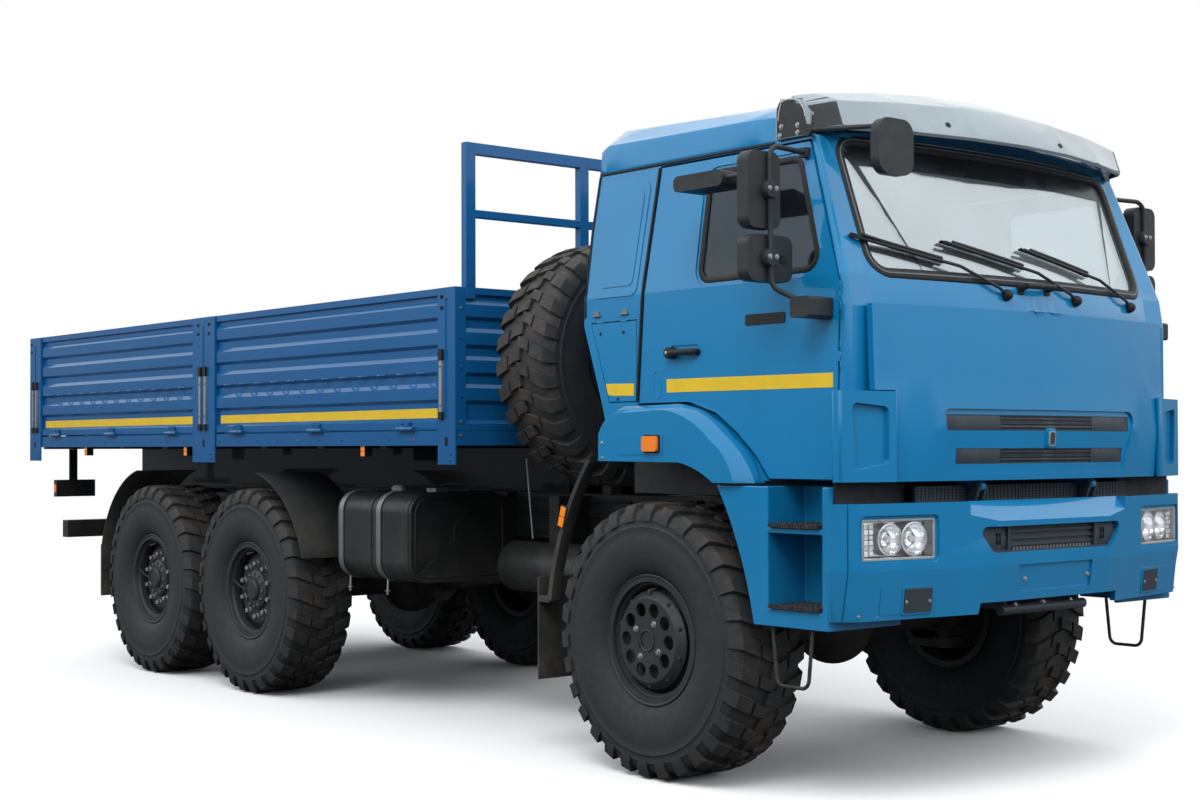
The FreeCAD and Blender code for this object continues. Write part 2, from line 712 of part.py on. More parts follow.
def rim(with_cover):
    """A steel wheel with its outer face towards +Y."""
    half = RIM_WIDTH / 2
    inner = RIM_SEAT_RADIUS - RIM_WALL
    ledge = half - RIM_STEP_DEPTH
    outline = [(inner, -half), (RIM_FLANGE_RADIUS, -half), (RIM_FLANGE_RADIUS, RIM_WALL - half),
               (RIM_SEAT_RADIUS, RIM_WALL - half), (RIM_SEAT_RADIUS, half - RIM_WALL),
               (RIM_FLANGE_RADIUS, half - RIM_WALL), (RIM_FLANGE_RADIUS, half), (inner + RIM_WALL / 2,
                                                                                 half),
               (inner, ledge), (inner - RIM_STEP_HEIGHT, ledge - RIM_STEP_HEIGHT / 2),
               (inner - RIM_STEP_HEIGHT, DISC_OFFSET), (inner, DISC_OFFSET - RIM_STEP_HEIGHT)]
    barrel = revolve_y(outline)
    disc_edge = NUT_CIRCLE_RADIUS + NUT_RADIUS * 2
    bore = STUB_RADIUS + HUB_BORE_CLEARANCE
    face = DISC_OFFSET + DISC_THICKNESS
    dish = revolve_y([(bore, DISC_OFFSET), (disc_edge, DISC_OFFSET),
                      (inner + RIM_WALL / 2, DISC_OFFSET / 2),
                      (inner + RIM_WALL / 2, DISC_OFFSET / 2 + DISC_THICKNESS), (disc_edge, face), (bore,
                                                                                                    face)])
    parts = [barrel, dish]
    if with_cover:
        plate = revolve_y([(0, COVER_REACH - DISC_THICKNESS),
                           (COVER_FACE_RADIUS, COVER_REACH - DISC_THICKNESS),
                           (COVER_RADIUS - DISC_THICKNESS, COVER_OFFSET), (disc_edge - DISC_THICKNESS * 2,
                                                                           face),
                           (disc_edge, face), (COVER_RADIUS, COVER_OFFSET),
                           (COVER_FACE_RADIUS + DISC_THICKNESS / 2, COVER_REACH), (0, COVER_REACH)])
        for i in range(COVER_HOLE_COUNT):
            turn = 2 * math.pi * i / COVER_HOLE_COUNT
            hole = cylinder_y(COVER_HOLE_RADIUS, face, COVER_REACH + OVERRUN,
                              COVER_HOLE_CIRCLE * math.cos(turn), COVER_HOLE_CIRCLE * math.sin(turn))
            plate = plate.cut(hole)
        parts.append(plate)
    else:
        hub = revolve_y([(0, face + RUNNING_GAP), (bore, face + RUNNING_GAP), (bore, face),
                         (HUB_RADIUS, face),
                         (HUB_RADIUS, face + DISC_THICKNESS), (HUB_RADIUS * 0.7, HUB_REACH), (0,
                                                                                              HUB_REACH)])
        parts.append(hub)
    for i in range(NUT_COUNT):
        turn = 2 * math.pi * (i + 0.5) / NUT_COUNT
        x = NUT_CIRCLE_RADIUS * math.cos(turn)
        z = NUT_CIRCLE_RADIUS * math.sin(turn)
        parts.append(cylinder_y(NUT_RADIUS, face - RUNNING_GAP, face + NUT_HEIGHT, x, z))
    return fused(parts)


def wheel_places():
    rear = -WHEELBASE
    last = -WHEELBASE - BOGIE_SPACING
    return [("front", 0.0, FRONT_TRACK / 2), ("middle", rear, REAR_TRACK / 2),
            ("rear", last, REAR_TRACK / 2)]


def make_wheels():
    casing = tyre()
    for row, x, half_track in wheel_places():
        wheel = rim(row == "front")
        node("tyre_%s_left" % row, moved(casing, x, half_track, AXLE_HEIGHT))
        node("tyre_%s_right" % row, moved(casing, x, -half_track, AXLE_HEIGHT))
        node("rim_%s_left" % row, moved(wheel, x, half_track, AXLE_HEIGHT))
        node("rim_%s_right" % row, moved(mirrored(wheel), x, -half_track, AXLE_HEIGHT))
    spare_tyre = casing.copy()
    spare_tyre.rotate(vec(0, 0, 0), vec(0, 0, 1), -90)
    spare_rim = rim(False)
    spare_rim.rotate(vec(0, 0, 0), vec(0, 0, 1), -90)
    node("spare_tyre", moved(spare_tyre, SPARE_X, SPARE_Y, SPARE_Z))
    node("spare_rim", moved(spare_rim, SPARE_X, SPARE_Y, SPARE_Z))


def make_knuckles():
    """Steering knuckles with their brake drums and the stub that each front hub turns on."""
    hub_inner = FRONT_TRACK / 2 + DISC_OFFSET - RUNNING_GAP
    drum_outer = FRONT_TRACK / 2 + DISC_OFFSET - DISC_THICKNESS
    drum_inner = drum_outer - BRAKE_WIDTH
    drum = cylinder_y(BRAKE_RADIUS, drum_inner, drum_outer, 0, AXLE_HEIGHT)
    stub = cylinder_y(STUB_RADIUS, drum_inner, hub_inner + DISC_THICKNESS, 0, AXLE_HEIGHT)
    cheek_in = KINGPIN_HALF_TRACK - KNUCKLE_THICKNESS
    body = cylinder_z(KNUCKLE_THICKNESS, AXLE_HEIGHT + KNUCKLE_RADIUS, AXLE_HEIGHT + KNUCKLE_RADIUS * 1.4,
                      0, KINGPIN_HALF_TRACK)
    lower = moved(body, 0, 0, -KNUCKLE_RADIUS * 2.4)
    web = box(-KNUCKLE_THICKNESS, KNUCKLE_THICKNESS, KINGPIN_HALF_TRACK, drum_inner + RUNNING_GAP,
              AXLE_HEIGHT - KNUCKLE_RADIUS * 1.4, AXLE_HEIGHT + KNUCKLE_RADIUS * 1.4)
    web = web.cut(box(-KNUCKLE_THICKNESS * 2, KNUCKLE_THICKNESS * 2, 0,
                      KINGPIN_HALF_TRACK + BALL_RADIUS + RUNNING_GAP,
                      AXLE_HEIGHT - KNUCKLE_RADIUS, AXLE_HEIGHT + KNUCKLE_RADIUS))
    arm = box(-KNUCKLE_RADIUS * 1.5, 0, cheek_in, cheek_in + KNUCKLE_THICKNESS * 0.8,
              AXLE_HEIGHT - KNUCKLE_RADIUS * 1.4, AXLE_HEIGHT - KNUCKLE_RADIUS * 1.1)
    left = fused([drum, stub, body, lower, web, arm])
    node("knuckle_left", left)
    node("knuckle_right", mirrored(left))


# Running gear

def axle_beam(x, half_length, facing):
    """A driven axle: its tube, differential and pinion nose, which faces forward (1) or back (-1)."""
    tube = cylinder_y(AXLE_TUBE_RADIUS, -half_length, half_length, x, AXLE_HEIGHT)
    ball = Part.makeSphere(DIFFERENTIAL_RADIUS, vec(x, 0, AXLE_HEIGHT))
    nose = rod(vec(x, 0, AXLE_HEIGHT), vec(x + facing * DIFFERENTIAL_RADIUS * NOSE_REACH_SHARE, 0,
                                           AXLE_HEIGHT),
               DIFFERENTIAL_RADIUS * 0.55)
    return [tube, ball, nose]


def leaf_pack(x, y, length, camber, z_middle):
    """A pack of leaves as one curved bar, high at its ends."""
    half = length / 2
    centre_line = [vec(x - half, 0, z_middle + camber), vec(x, 0, z_middle),
                   vec(x + half, 0, z_middle + camber)]
    top = Part.Arc(*[p + vec(0, y - SPRING_WIDTH / 2, SPRING_PACK / 2) for p in centre_line]).toShape()
    share = 0.3
    low_ends = [centre_line[0] + vec(0, 0, -SPRING_PACK * share), centre_line[1] + vec(0, 0, -SPRING_PACK),
                centre_line[2] + vec(0, 0, -SPRING_PACK * share)]
    bottom = Part.Arc(*[p + vec(0, y - SPRING_WIDTH / 2, SPRING_PACK / 2) for p in low_ends]).toShape()
    first = Part.LineSegment(top.Vertexes[0].Point, bottom.Vertexes[0].Point).toShape()
    second = Part.LineSegment(top.Vertexes[1].Point, bottom.Vertexes[1].Point).toShape()
    wire = Part.Wire(Part.sortEdges([top, second, bottom, first])[0])
    return Part.Face(wire).extrude(vec(0, SPRING_WIDTH, 0))


def make_front_suspension():
    beam = axle_beam(0, KINGPIN_HALF_TRACK - KNUCKLE_THICKNESS, -1)
    end_in = KINGPIN_HALF_TRACK - KNUCKLE_THICKNESS * 2
    fist = cylinder_y(BALL_RADIUS * 0.9, end_in, KINGPIN_HALF_TRACK, 0, AXLE_HEIGHT)
    ball = Part.makeSphere(BALL_RADIUS, vec(0, KINGPIN_HALF_TRACK, AXLE_HEIGHT))
    pin = cylinder_z(KNUCKLE_THICKNESS * 0.6, AXLE_HEIGHT, AXLE_HEIGHT + KNUCKLE_RADIUS - SEAT_GAP,
                     0, KINGPIN_HALF_TRACK)
    low_pin = cylinder_z(KNUCKLE_THICKNESS * 0.6, AXLE_HEIGHT - KNUCKLE_RADIUS + SEAT_GAP, AXLE_HEIGHT,
                         0, KINGPIN_HALF_TRACK)
    spring_z = AXLE_HEIGHT + AXLE_TUBE_RADIUS + SPRING_PACK * 1.4
    spring = leaf_pack(0, SPRING_HALF_TRACK, FRONT_SPRING_LENGTH, FRONT_SPRING_CAMBER, spring_z)
    clamp = box(-SPRING_WIDTH, SPRING_WIDTH, SPRING_HALF_TRACK - SPRING_WIDTH / 2,
                SPRING_HALF_TRACK + SPRING_WIDTH / 2,
                AXLE_HEIGHT, spring_z)
    hangers = []
    rail_bottom = FRAME_TOP - RAIL_HEIGHT
    for end in (-1, 1):
        x = end * (FRONT_SPRING_LENGTH / 2 - SPRING_WIDTH / 2)
        hangers.append(box(x - SPRING_WIDTH / 2, x + SPRING_WIDTH / 2,
                           SPRING_HALF_TRACK - SPRING_WIDTH / 2, SPRING_HALF_TRACK + SPRING_WIDTH / 2,
                           spring_z + FRONT_SPRING_CAMBER / 2, rail_bottom))
    sides = []
    for shape in [fist, ball, pin, low_pin, spring, clamp] + hangers:
        sides.extend(both_sides(shape))
    node("front_suspension", fused(beam + sides))


def make_rear_suspension():
    mid_x = -WHEELBASE - BOGIE_SPACING / 2
    reach = REAR_TRACK / 2 + DISC_OFFSET - DISC_THICKNESS
    shapes = []
    for x in (-WHEELBASE, -WHEELBASE - BOGIE_SPACING):
        shapes.extend(axle_beam(x, reach - RUNNING_GAP, 1))
        drum = cylinder_y(BRAKE_RADIUS, reach - BRAKE_WIDTH, reach, x, AXLE_HEIGHT)
        stub = cylinder_y(STUB_RADIUS, reach - BRAKE_WIDTH, reach + DISC_THICKNESS * 2, x, AXLE_HEIGHT)
        seat_top = AXLE_HEIGHT + AXLE_TUBE_RADIUS + SPRING_PACK * SPRING_SEAT_SHARE
        seat = box(x - SPRING_WIDTH / 2, x + SPRING_WIDTH / 2,
                   SPRING_HALF_TRACK - SPRING_WIDTH / 2, SPRING_HALF_TRACK + SPRING_WIDTH / 2,
                   AXLE_HEIGHT, seat_top)
        shapes.extend(both_sides(drum) + both_sides(stub) + both_sides(seat))
    spring_z = AXLE_HEIGHT + AXLE_TUBE_RADIUS + SPRING_PACK
    spring = leaf_pack(mid_x, SPRING_HALF_TRACK, BOGIE_SPACING + SPRING_WIDTH * 2, -SPRING_PACK,
                       spring_z + SPRING_PACK)
    trunnion = cylinder_y(AXLE_TUBE_RADIUS, RAIL_HALF_WIDTH - RAIL_FLANGE * 2,
                          SPRING_HALF_TRACK + SPRING_WIDTH / 2,
                          mid_x, spring_z - SPRING_PACK)
    rail_bottom = FRAME_TOP - RAIL_HEIGHT
    bracket = prism_y([(mid_x - SPRING_WIDTH * 2, rail_bottom), (mid_x + SPRING_WIDTH * 2, rail_bottom),
                       (mid_x + SPRING_WIDTH, spring_z - SPRING_PACK * 2), (mid_x - SPRING_WIDTH,
                                                                            spring_z - SPRING_PACK * 2)],
                      SPRING_HALF_TRACK - SPRING_WIDTH / 2, SPRING_HALF_TRACK - RAIL_WALL)
    for shape in (spring, bracket, trunnion):
        shapes.extend(both_sides(shape))
    node("rear_suspension", fused(shapes))


def make_frame():
    top = FRAME_TOP
    low = top - RAIL_HEIGHT
    outer = RAIL_HALF_WIDTH
    inner = outer - RAIL_FLANGE
    web = outer - RAIL_WALL
    channel = [(outer, low), (outer, top), (inner, top), (inner, top - RAIL_WALL), (web, top - RAIL_WALL),
               (web, low + RAIL_WALL), (inner, low + RAIL_WALL), (inner, low)]
    rail = prism_x(channel, FRAME_REAR, FRAME_FRONT)
    shapes = both_sides(rail)
    first = FRAME_FRONT - CROSSMEMBER_DEPTH
    spacing = (first - FRAME_REAR) / (CROSSMEMBER_COUNT - 1)
    for i in range(CROSSMEMBER_COUNT):
        x = FRAME_REAR + spacing * i
        if abs(x - ENGINE_REAR - ENGINE_LENGTH / 2) < ENGINE_LENGTH / 2:
            continue
        shapes.append(box(x, x + CROSSMEMBER_DEPTH, -web, web, top - RAIL_WALL - CROSSMEMBER_HEIGHT,
                          top - RAIL_WALL))
    # Rear under-run bar on two brackets
    bar_z = low - RAIL_HEIGHT * 0.1
    bar_front = BED_REAR + REAR_POST_WIDTH * 2
    for side in (-1, 1):
        shapes.append(box(bar_front, FRAME_REAR + CROSSMEMBER_DEPTH * 5, side * web - RAIL_WALL,
                          side * web + RAIL_WALL,
                          bar_z - RAIL_HEIGHT * 0.5, top - RAIL_WALL))
    shapes.append(box(bar_front - CROSSMEMBER_DEPTH, bar_front, -TANK_OUTER, TANK_OUTER,
                      bar_z - RAIL_HEIGHT * 0.5, bar_z))
    plate_z = top - RAIL_WALL - TOW_PLATE_HEIGHT / 2
    shapes.append(box(FRAME_REAR - TOW_PLATE_THICKNESS, FRAME_REAR + RAIL_WALL, -TOW_PLATE_HALF_WIDTH,
                      TOW_PLATE_HALF_WIDTH,
                      plate_z - TOW_PLATE_HEIGHT / 2, plate_z + TOW_PLATE_HEIGHT / 2))
    frame = fused(shapes)
    for side in (-1, 1):
        for level in (-1, 1):
            frame = frame.cut(cylinder_x(TOW_HOLE_RADIUS, FRAME_REAR - OVERRUN, FRAME_REAR + OVERRUN,
                                         side * TOW_SPACING_Y / 2,
                                         plate_z + level * TOW_SPACING_Z / 2))
    node("frame_rails", frame)


def prop_shaft(start, end):
    """A shaft between two upright faces, shortened so that its slanted ends just clear them."""
    run = end - start
    lean = abs(run.z) / run.Length
    step = math.copysign(SHAFT_RADIUS * lean + SEAT_GAP, run.x)
    return rod(start + vec(step, 0, 0), end - vec(step, 0, 0), SHAFT_RADIUS)


def make_drive_line():
    """The engine as one plain block with the gearbox and transfer case behind it, and the prop shafts."""
    engine = box(ENGINE_REAR, ENGINE_REAR + ENGINE_LENGTH, -ENGINE_WIDTH / 2, ENGINE_WIDTH / 2,
                 ENGINE_BOTTOM, ENGINE_TOP)
    gearbox = prism_y(rectangle(ENGINE_REAR - GEARBOX_LENGTH, ENGINE_REAR, ENGINE_BOTTOM,
                                ENGINE_BOTTOM + GEARBOX_HEIGHT),
                      -GEARBOX_WIDTH / 2, GEARBOX_WIDTH / 2, SHAFT_RADIUS)
    transfer_front = ENGINE_REAR - GEARBOX_LENGTH
    transfer = prism_y(rectangle(transfer_front - TRANSFER_LENGTH, transfer_front,
                                 ENGINE_BOTTOM - SHAFT_RADIUS * 2,
                                 ENGINE_BOTTOM - SHAFT_RADIUS * 2 + TRANSFER_HEIGHT),
                       -TRANSFER_WIDTH / 2, TRANSFER_WIDTH / 2, SHAFT_RADIUS)
    mounts = []
    for share in ENGINE_MOUNT_SHARES:
        x = ENGINE_REAR + ENGINE_LENGTH * share
        mounts.extend(both_sides(box(x - SHAFT_RADIUS, x + SHAFT_RADIUS, ENGINE_WIDTH / 2 - RAIL_WALL,
                                     RAIL_HALF_WIDTH - RAIL_WALL - SEAT_GAP, FRAME_TOP - RAIL_HEIGHT * 0.7,
                                     FRAME_TOP - RAIL_HEIGHT * 0.4)))
    node("engine_block", fused([engine, gearbox, transfer] + mounts))
    nose = DIFFERENTIAL_RADIUS * NOSE_REACH_SHARE
    low_z = ENGINE_BOTTOM - SHAFT_RADIUS
    last_x = -WHEELBASE - BOGIE_SPACING
    shafts = [prop_shaft(vec(transfer_front - TRANSFER_LENGTH, 0, ENGINE_BOTTOM),
                         vec(-WHEELBASE + nose, 0, AXLE_HEIGHT)),
              prop_shaft(vec(-WHEELBASE - DIFFERENTIAL_RADIUS, 0, AXLE_HEIGHT),
                         vec(last_x + nose, 0, AXLE_HEIGHT)),
              prop_shaft(vec(transfer_front, 0, low_z - RUNNING_GAP * 2), vec(-nose, 0, AXLE_HEIGHT))]
    node("drive_shafts", shafts)


def side_pair(side, first, second):
    """Two distances from the middle as a rising stretch along Y, on the given side."""
    return sorted((side * first, side * second))


def tank_strap(x):
    """A flat strap around the tank."""
    grow = SEAT_GAP + STRAP_THICKNESS
    bands = []
    for margin, half_width in ((grow, STRAP_WIDTH / 2), (SEAT_GAP, STRAP_WIDTH)):
        outline = rectangle(-TANK_OUTER - margin, -TANK_INNER + margin, TANK_BOTTOM - margin,
                            TANK_TOP + margin)
        bands.append(prism_x(outline, x - half_width, x + half_width, TANK_CORNER + margin))
    return bands[0].cut(bands[1])


def make_side_equipment():
    """The fuel tank on the right, the battery box on the left and an air reservoir on each side."""
    tank = prism_x(rectangle(-TANK_OUTER, -TANK_INNER, TANK_BOTTOM, TANK_TOP), TANK_REAR, TANK_FRONT,
                   TANK_CORNER)
    cap_x = (TANK_REAR + TANK_FRONT) / 2
    cap_y = -TANK_OUTER + TANK_CORNER * 1.6
    cap = cylinder_z(TANK_CAP_RADIUS, TANK_TOP - TANK_CAP_HEIGHT, TANK_TOP + TANK_CAP_HEIGHT, cap_x, cap_y)
    shapes = [fused([tank, cap])]
    bracket_end = TANK_INNER - SEAT_GAP * 2 - STRAP_THICKNESS
    for share in STRAP_SHARES:
        x = TANK_FRONT - TANK_LENGTH * share
        shapes.append(tank_strap(x))
        shapes.append(box(x - STRAP_WIDTH, x + STRAP_WIDTH, -bracket_end, -RAIL_HALF_WIDTH - SEAT_GAP,
                          TANK_BOTTOM + TANK_CORNER, FRAME_TOP))
    node("fuel_tank", shapes)
    boxes = []
    middle = (RESERVOIR_REAR + RESERVOIR_FRONT) / 2
    for side in (-1, 1):
        y = RAIL_HALF_WIDTH + RESERVOIR_RADIUS * 1.6
        low, high = side_pair(side, RAIL_HALF_WIDTH + SEAT_GAP, y)
        cylinder = cylinder_x(RESERVOIR_RADIUS, RESERVOIR_REAR, RESERVOIR_FRONT, side * y, RESERVOIR_Z)
        bracket = box(middle - STRAP_WIDTH, middle + STRAP_WIDTH, low, high,
                      RESERVOIR_Z + RESERVOIR_RADIUS * 0.9,
                      FRAME_TOP - RAIL_WALL)
        boxes.append(fused([cylinder, bracket]))
    battery = prism_x(rectangle(TANK_INNER, TANK_OUTER, TANK_BOTTOM, TANK_TOP - RAIL_WALL), TANK_REAR,
                      TANK_REAR + BOX_LENGTH, RAIL_WALL * 2)
    lid = prism_x(rectangle(TANK_INNER - RAIL_WALL, TANK_OUTER + RAIL_WALL, TANK_TOP - RAIL_WALL * 4,
                            TANK_TOP),
                  TANK_REAR - RAIL_WALL, TANK_REAR + BOX_LENGTH + RAIL_WALL, RAIL_WALL)
    link = box(TANK_REAR + BOX_LENGTH * 0.25, TANK_REAR + BOX_LENGTH * 0.75, RAIL_HALF_WIDTH + SEAT_GAP,
               TANK_INNER + RAIL_WALL, TANK_BOTTOM + TANK_CORNER, FRAME_TOP - RAIL_WALL)
    boxes.append(fused([battery, lid, link]))
    node("side_boxes", boxes)


def make_spare_carrier():
    """The frame that holds the upright spare wheel, its plate standing behind the wheel's disc."""
    plate_x = SPARE_X + DISC_OFFSET - SEAT_GAP
    post_x = SPARE_X - TYRE_WIDTH / 2 - CARRIER_TUBE - RUNNING_GAP
    low = FRAME_TOP + SEAT_GAP
    high = SPARE_Z + CARRIER_TUBE
    posts = []
    for y in (-RAIL_HALF_WIDTH, RAIL_HALF_WIDTH - CARRIER_TUBE):
        posts.append(box(post_x, post_x + CARRIER_TUBE, y, y + CARRIER_TUBE, low, high))
    beam = box(post_x, post_x + CARRIER_TUBE, SPARE_Y - CARRIER_TUBE, RAIL_HALF_WIDTH,
               SPARE_Z - CARRIER_TUBE, high)
    arm = cylinder_x(STUB_RADIUS, post_x, plate_x, SPARE_Y, SPARE_Z)
    flange = cylinder_x(NUT_CIRCLE_RADIUS * 0.8, plate_x - DISC_THICKNESS * 2, plate_x, SPARE_Y, SPARE_Z)
    node("spare_carrier", fused(posts + [beam, arm, flange]))


def arc_band(x, z, radius, thickness, turns, y0, y1):
    """A bent sheet about a line along Y; its ends are shares of a full turn from +X towards +Z."""
    def at(r, turn):
        return vec(x + r * math.cos(2 * math.pi * turn), y0, z + r * math.sin(2 * math.pi * turn))
    start, end = turns
    middle = (start + end) / 2
    outer = radius + thickness
    edges = [Part.Arc(at(radius, start), at(radius, middle), at(radius, end)).toShape(),
             Part.LineSegment(at(radius, end), at(outer, end)).toShape(),
             Part.Arc(at(outer, end), at(outer, middle), at(outer, start)).toShape(),
             Part.LineSegment(at(outer, start), at(radius, start)).toShape()]
    return Part.Face(Part.Wire(edges)).extrude(vec(0, y1 - y0, 0))


# Bed

def post_spans():
    front = (BED_FRONT - FRONT_POST_WIDTH, BED_FRONT)
    middle = (MIDDLE_POST_FRONT - MIDDLE_POST_WIDTH, MIDDLE_POST_FRONT)
    rear = (BED_REAR, BED_REAR + REAR_POST_WIDTH)
    return [front, middle, rear]


def dropside_spans():
    """Each dropside's stretch between two posts: front one first."""
    spans = post_spans()
    return [(spans[1][1], spans[0][0]), (spans[2][1], spans[1][0])]


def tailgate_half_width():
    return BED_HALF_WIDTH - SILL_DEPTH - PANEL_GAP


def make_rear_mudguards():
    """A guard before the middle wheels, one behind the rear wheels with its flap, and their stays."""
    last_x = -WHEELBASE - BOGIE_SPACING
    fore = arc_band(-WHEELBASE, AXLE_HEIGHT, GUARD_RADIUS, GUARD_THICKNESS, REAR_GUARD_ANGLES_SHARES,
                    GUARD_INNER, GUARD_OUTER)
    aft = arc_band(last_x, AXLE_HEIGHT, GUARD_RADIUS, GUARD_THICKNESS, LAST_GUARD_ANGLES_SHARES,
                   GUARD_INNER, GUARD_OUTER)
    foot = 2 * math.pi * LAST_GUARD_ANGLES_SHARES[1]
    flap_top = AXLE_HEIGHT + GUARD_RADIUS * math.sin(foot) + FLAP_THICKNESS
    flap_x = last_x + GUARD_RADIUS * math.cos(foot) - GUARD_THICKNESS
    flap = box(flap_x - FLAP_THICKNESS, flap_x + FLAP_THICKNESS, GUARD_INNER, GUARD_OUTER,
               TYRE_RADIUS * 0.75,
               flap_top)
    stay_radius = FLAP_THICKNESS * 1.5
    stay_z = AXLE_HEIGHT + GUARD_RADIUS * 0.8 - stay_radius
    shapes = []
    for guard, x in ((fore, GUARD_RADIUS * 0.6 - WHEELBASE), (fused([aft, flap]),
                                                              last_x - GUARD_RADIUS * 0.6)):
        stay = cylinder_y(stay_radius, RAIL_HALF_WIDTH + SEAT_GAP, GUARD_INNER + GUARD_THICKNESS * 2, x,
                          stay_z)
        shapes.extend(both_sides(fused([guard, stay])))
    node("rear_mudguards", shapes)


def make_front_mudguards():
    """The lips and flaps behind the front wheels, each on a stay to the frame."""
    inner = GUARD_OUTER - FENDER_BAND / 2
    rear = [vec(LIP_TOP_X, inner, LIP_TOP_Z), vec(LIP_MIDDLE_X, inner, LIP_MIDDLE_Z),
            vec(LIP_LOW_X, inner, LIP_LOW_Z)]
    front = [point + vec(LIP_THICKNESS, 0, 0) for point in reversed(rear)]
    lip = Part.Face(bent_wire(rear + front, LIP_BENDS)).extrude(vec(0, GUARD_OUTER - inner, 0))
    back = -TYRE_RADIUS * FRONT_FLAP_SHARE
    low = AXLE_HEIGHT + TYRE_RADIUS * FLAP_TOP_SHARE
    flap = box(back - FLAP_THICKNESS, back, RAIL_HALF_WIDTH + SEAT_GAP, GUARD_OUTER,
               TYRE_RADIUS * FLAP_FOOT_SHARE, low + FENDER_BAND)
    foot = box(back - FLAP_THICKNESS, LIP_LOW_X + LIP_THICKNESS / 2, inner, GUARD_OUTER,
               low, low + LIP_THICKNESS)
    stay = box(back - FLAP_THICKNESS, back, RAIL_HALF_WIDTH + SEAT_GAP, RAIL_HALF_WIDTH + FENDER_BAND / 2,
               low, FRAME_TOP - RAIL_HEIGHT / 2)
    node("front_mudguards", both_sides(fused([lip, flap, foot, stay])))


def make_bed_floor():
    """The deck with its sills, crossbearers, long bearers and the fixed lugs of all side hinges."""
    sill_bottom = FLOOR_TOP - SILL_HEIGHT
    sill_top = FLOOR_TOP - DECK_RISE
    deck_bottom = FLOOR_TOP - FLOOR_THICKNESS
    inner = BED_HALF_WIDTH - SILL_DEPTH
    deck_rear = BED_REAR + SILL_DEPTH
    deck_front = BED_FRONT - SILL_DEPTH
    shapes = [box(deck_rear, deck_front, -inner, inner, deck_bottom, FLOOR_TOP)]
    shapes.extend(both_sides(box(BED_REAR, BED_FRONT, inner, BED_HALF_WIDTH, sill_bottom, sill_top)))
    shapes.append(box(BED_REAR, deck_rear, -inner, inner, sill_bottom, sill_top))
    shapes.append(box(deck_front, BED_FRONT, -inner, inner, sill_bottom, sill_top))
    bearer_top = sill_bottom - CROSSBEARER_DROP
    spacing = (BED_FRONT - BED_REAR - SILL_DEPTH * 4) / (CROSSBEARER_COUNT - 1)
    for i in range(CROSSBEARER_COUNT):
        x = BED_REAR + SILL_DEPTH * 2 + spacing * i - CROSSBEARER_DEPTH / 2
        shapes.append(box(x, x + CROSSBEARER_DEPTH, -inner, inner, bearer_top, deck_bottom))
    bearer = box(BED_REAR + SILL_DEPTH * 2, BED_FRONT - SILL_DEPTH * 2,
                 RAIL_HALF_WIDTH - BEARER_WIDTH, RAIL_HALF_WIDTH, FRAME_TOP + SEAT_GAP, bearer_top)
    shapes.extend(both_sides(bearer))
    axis_z = FLOOR_TOP + PANEL_GAP
    axis_y = BED_HALF_WIDTH + HINGE_OUT
    lug_low = axis_z - HINGE_RADIUS
    for x0, x1 in dropside_spans():
        for start, end in hinge_lugs(x0, x1, DROPSIDE_HINGE_SHARES):
            shapes.extend(both_sides(box(start, end, inner, axis_y, lug_low, sill_top)))
            shapes.extend(both_sides(cylinder_x(HINGE_RADIUS, start, end, axis_y, axis_z)))
    half = tailgate_half_width()
    axis_x = BED_REAR - HINGE_OUT
    for start, end in hinge_lugs(-half, half, TAILGATE_HINGE_SHARES):
        shapes.append(box(axis_x, deck_rear, start, end, lug_low, sill_top))
        shapes.append(cylinder_y(HINGE_RADIUS, start, end, axis_x, axis_z))
    node("bed_floor", fused(shapes))


def make_bed_posts():
    inner = BED_HALF_WIDTH - SILL_DEPTH
    face = BED_HALF_WIDTH + SEAT_GAP
    shapes = []
    for x0, x1 in post_spans():
        upright = box(x0, x1, inner, face, FLOOR_TOP - DECK_RISE + SEAT_GAP, POST_TOP)
        skin = box(x0, x1, face, BED_HALF_WIDTH + POST_SKIN, POST_BOTTOM, POST_TOP)
        groove = box((x0 + x1) / 2 - POST_SKIN, (x0 + x1) / 2 + POST_SKIN, face + POST_SKIN / 3,
                     face + POST_SKIN,
                     FLOOR_TOP + SILL_DEPTH, POST_TOP - SILL_DEPTH)
        shapes.extend(both_sides(fused([upright, skin]).cut(groove)))
    node("bed_posts", shapes)


def ribbed_outline(bottom, top, outer, inward):
    """The section of a pressed side wall: (across, up) points, ribs towards the outer side."""
    base = outer - inward * RIB_PROUD
    inner = base - inward * PANEL_THICKNESS
    height = top - bottom
    pitch = height * 0.78 / RIB_COUNT
    start = bottom + height * 0.185
    points = [(inner, bottom), (outer, bottom), (outer, bottom + height * 0.05),
              (base, bottom + height * 0.07)]
    for i in range(RIB_COUNT):
        low = start + pitch * i
        points.append((base, low))
        points.append((outer, low + pitch * 0.12))
        points.append((outer, low + pitch * 0.56))
        points.append((base, low + pitch * 0.72))
    points.append((base, top - height * 0.06))
    points.append((outer, top - height * 0.05))
    points.append((outer, top))
    points.append((inner, top))
    return points


def hinge_lugs(low, high, shares):
    """Fixed hinge lugs either side of each moving knuckle, as (start, end) stretches."""
    stretches = []
    for share in shares:
        middle = low + (high - low) * share
        for side in (-1, 1):
            start = middle + side * (HINGE_LENGTH / 2 + SEAT_GAP)
            end = start + side * HINGE_LUG
            stretches.append((min(start, end), max(start, end)))
    return stretches


def hinge_knuckles_x(x0, x1, y, z, carrier_y):
    shapes = []
    low, high = sorted((y, carrier_y))
    for share in DROPSIDE_HINGE_SHARES:
        start = x0 + (x1 - x0) * share - HINGE_LENGTH / 2
        shapes.append(cylinder_x(HINGE_RADIUS, start, start + HINGE_LENGTH, y, z))
        shapes.append(box(start, start + HINGE_LENGTH, low, high, z + HINGE_RADIUS * 0.2, z + HINGE_RADIUS))
    return shapes


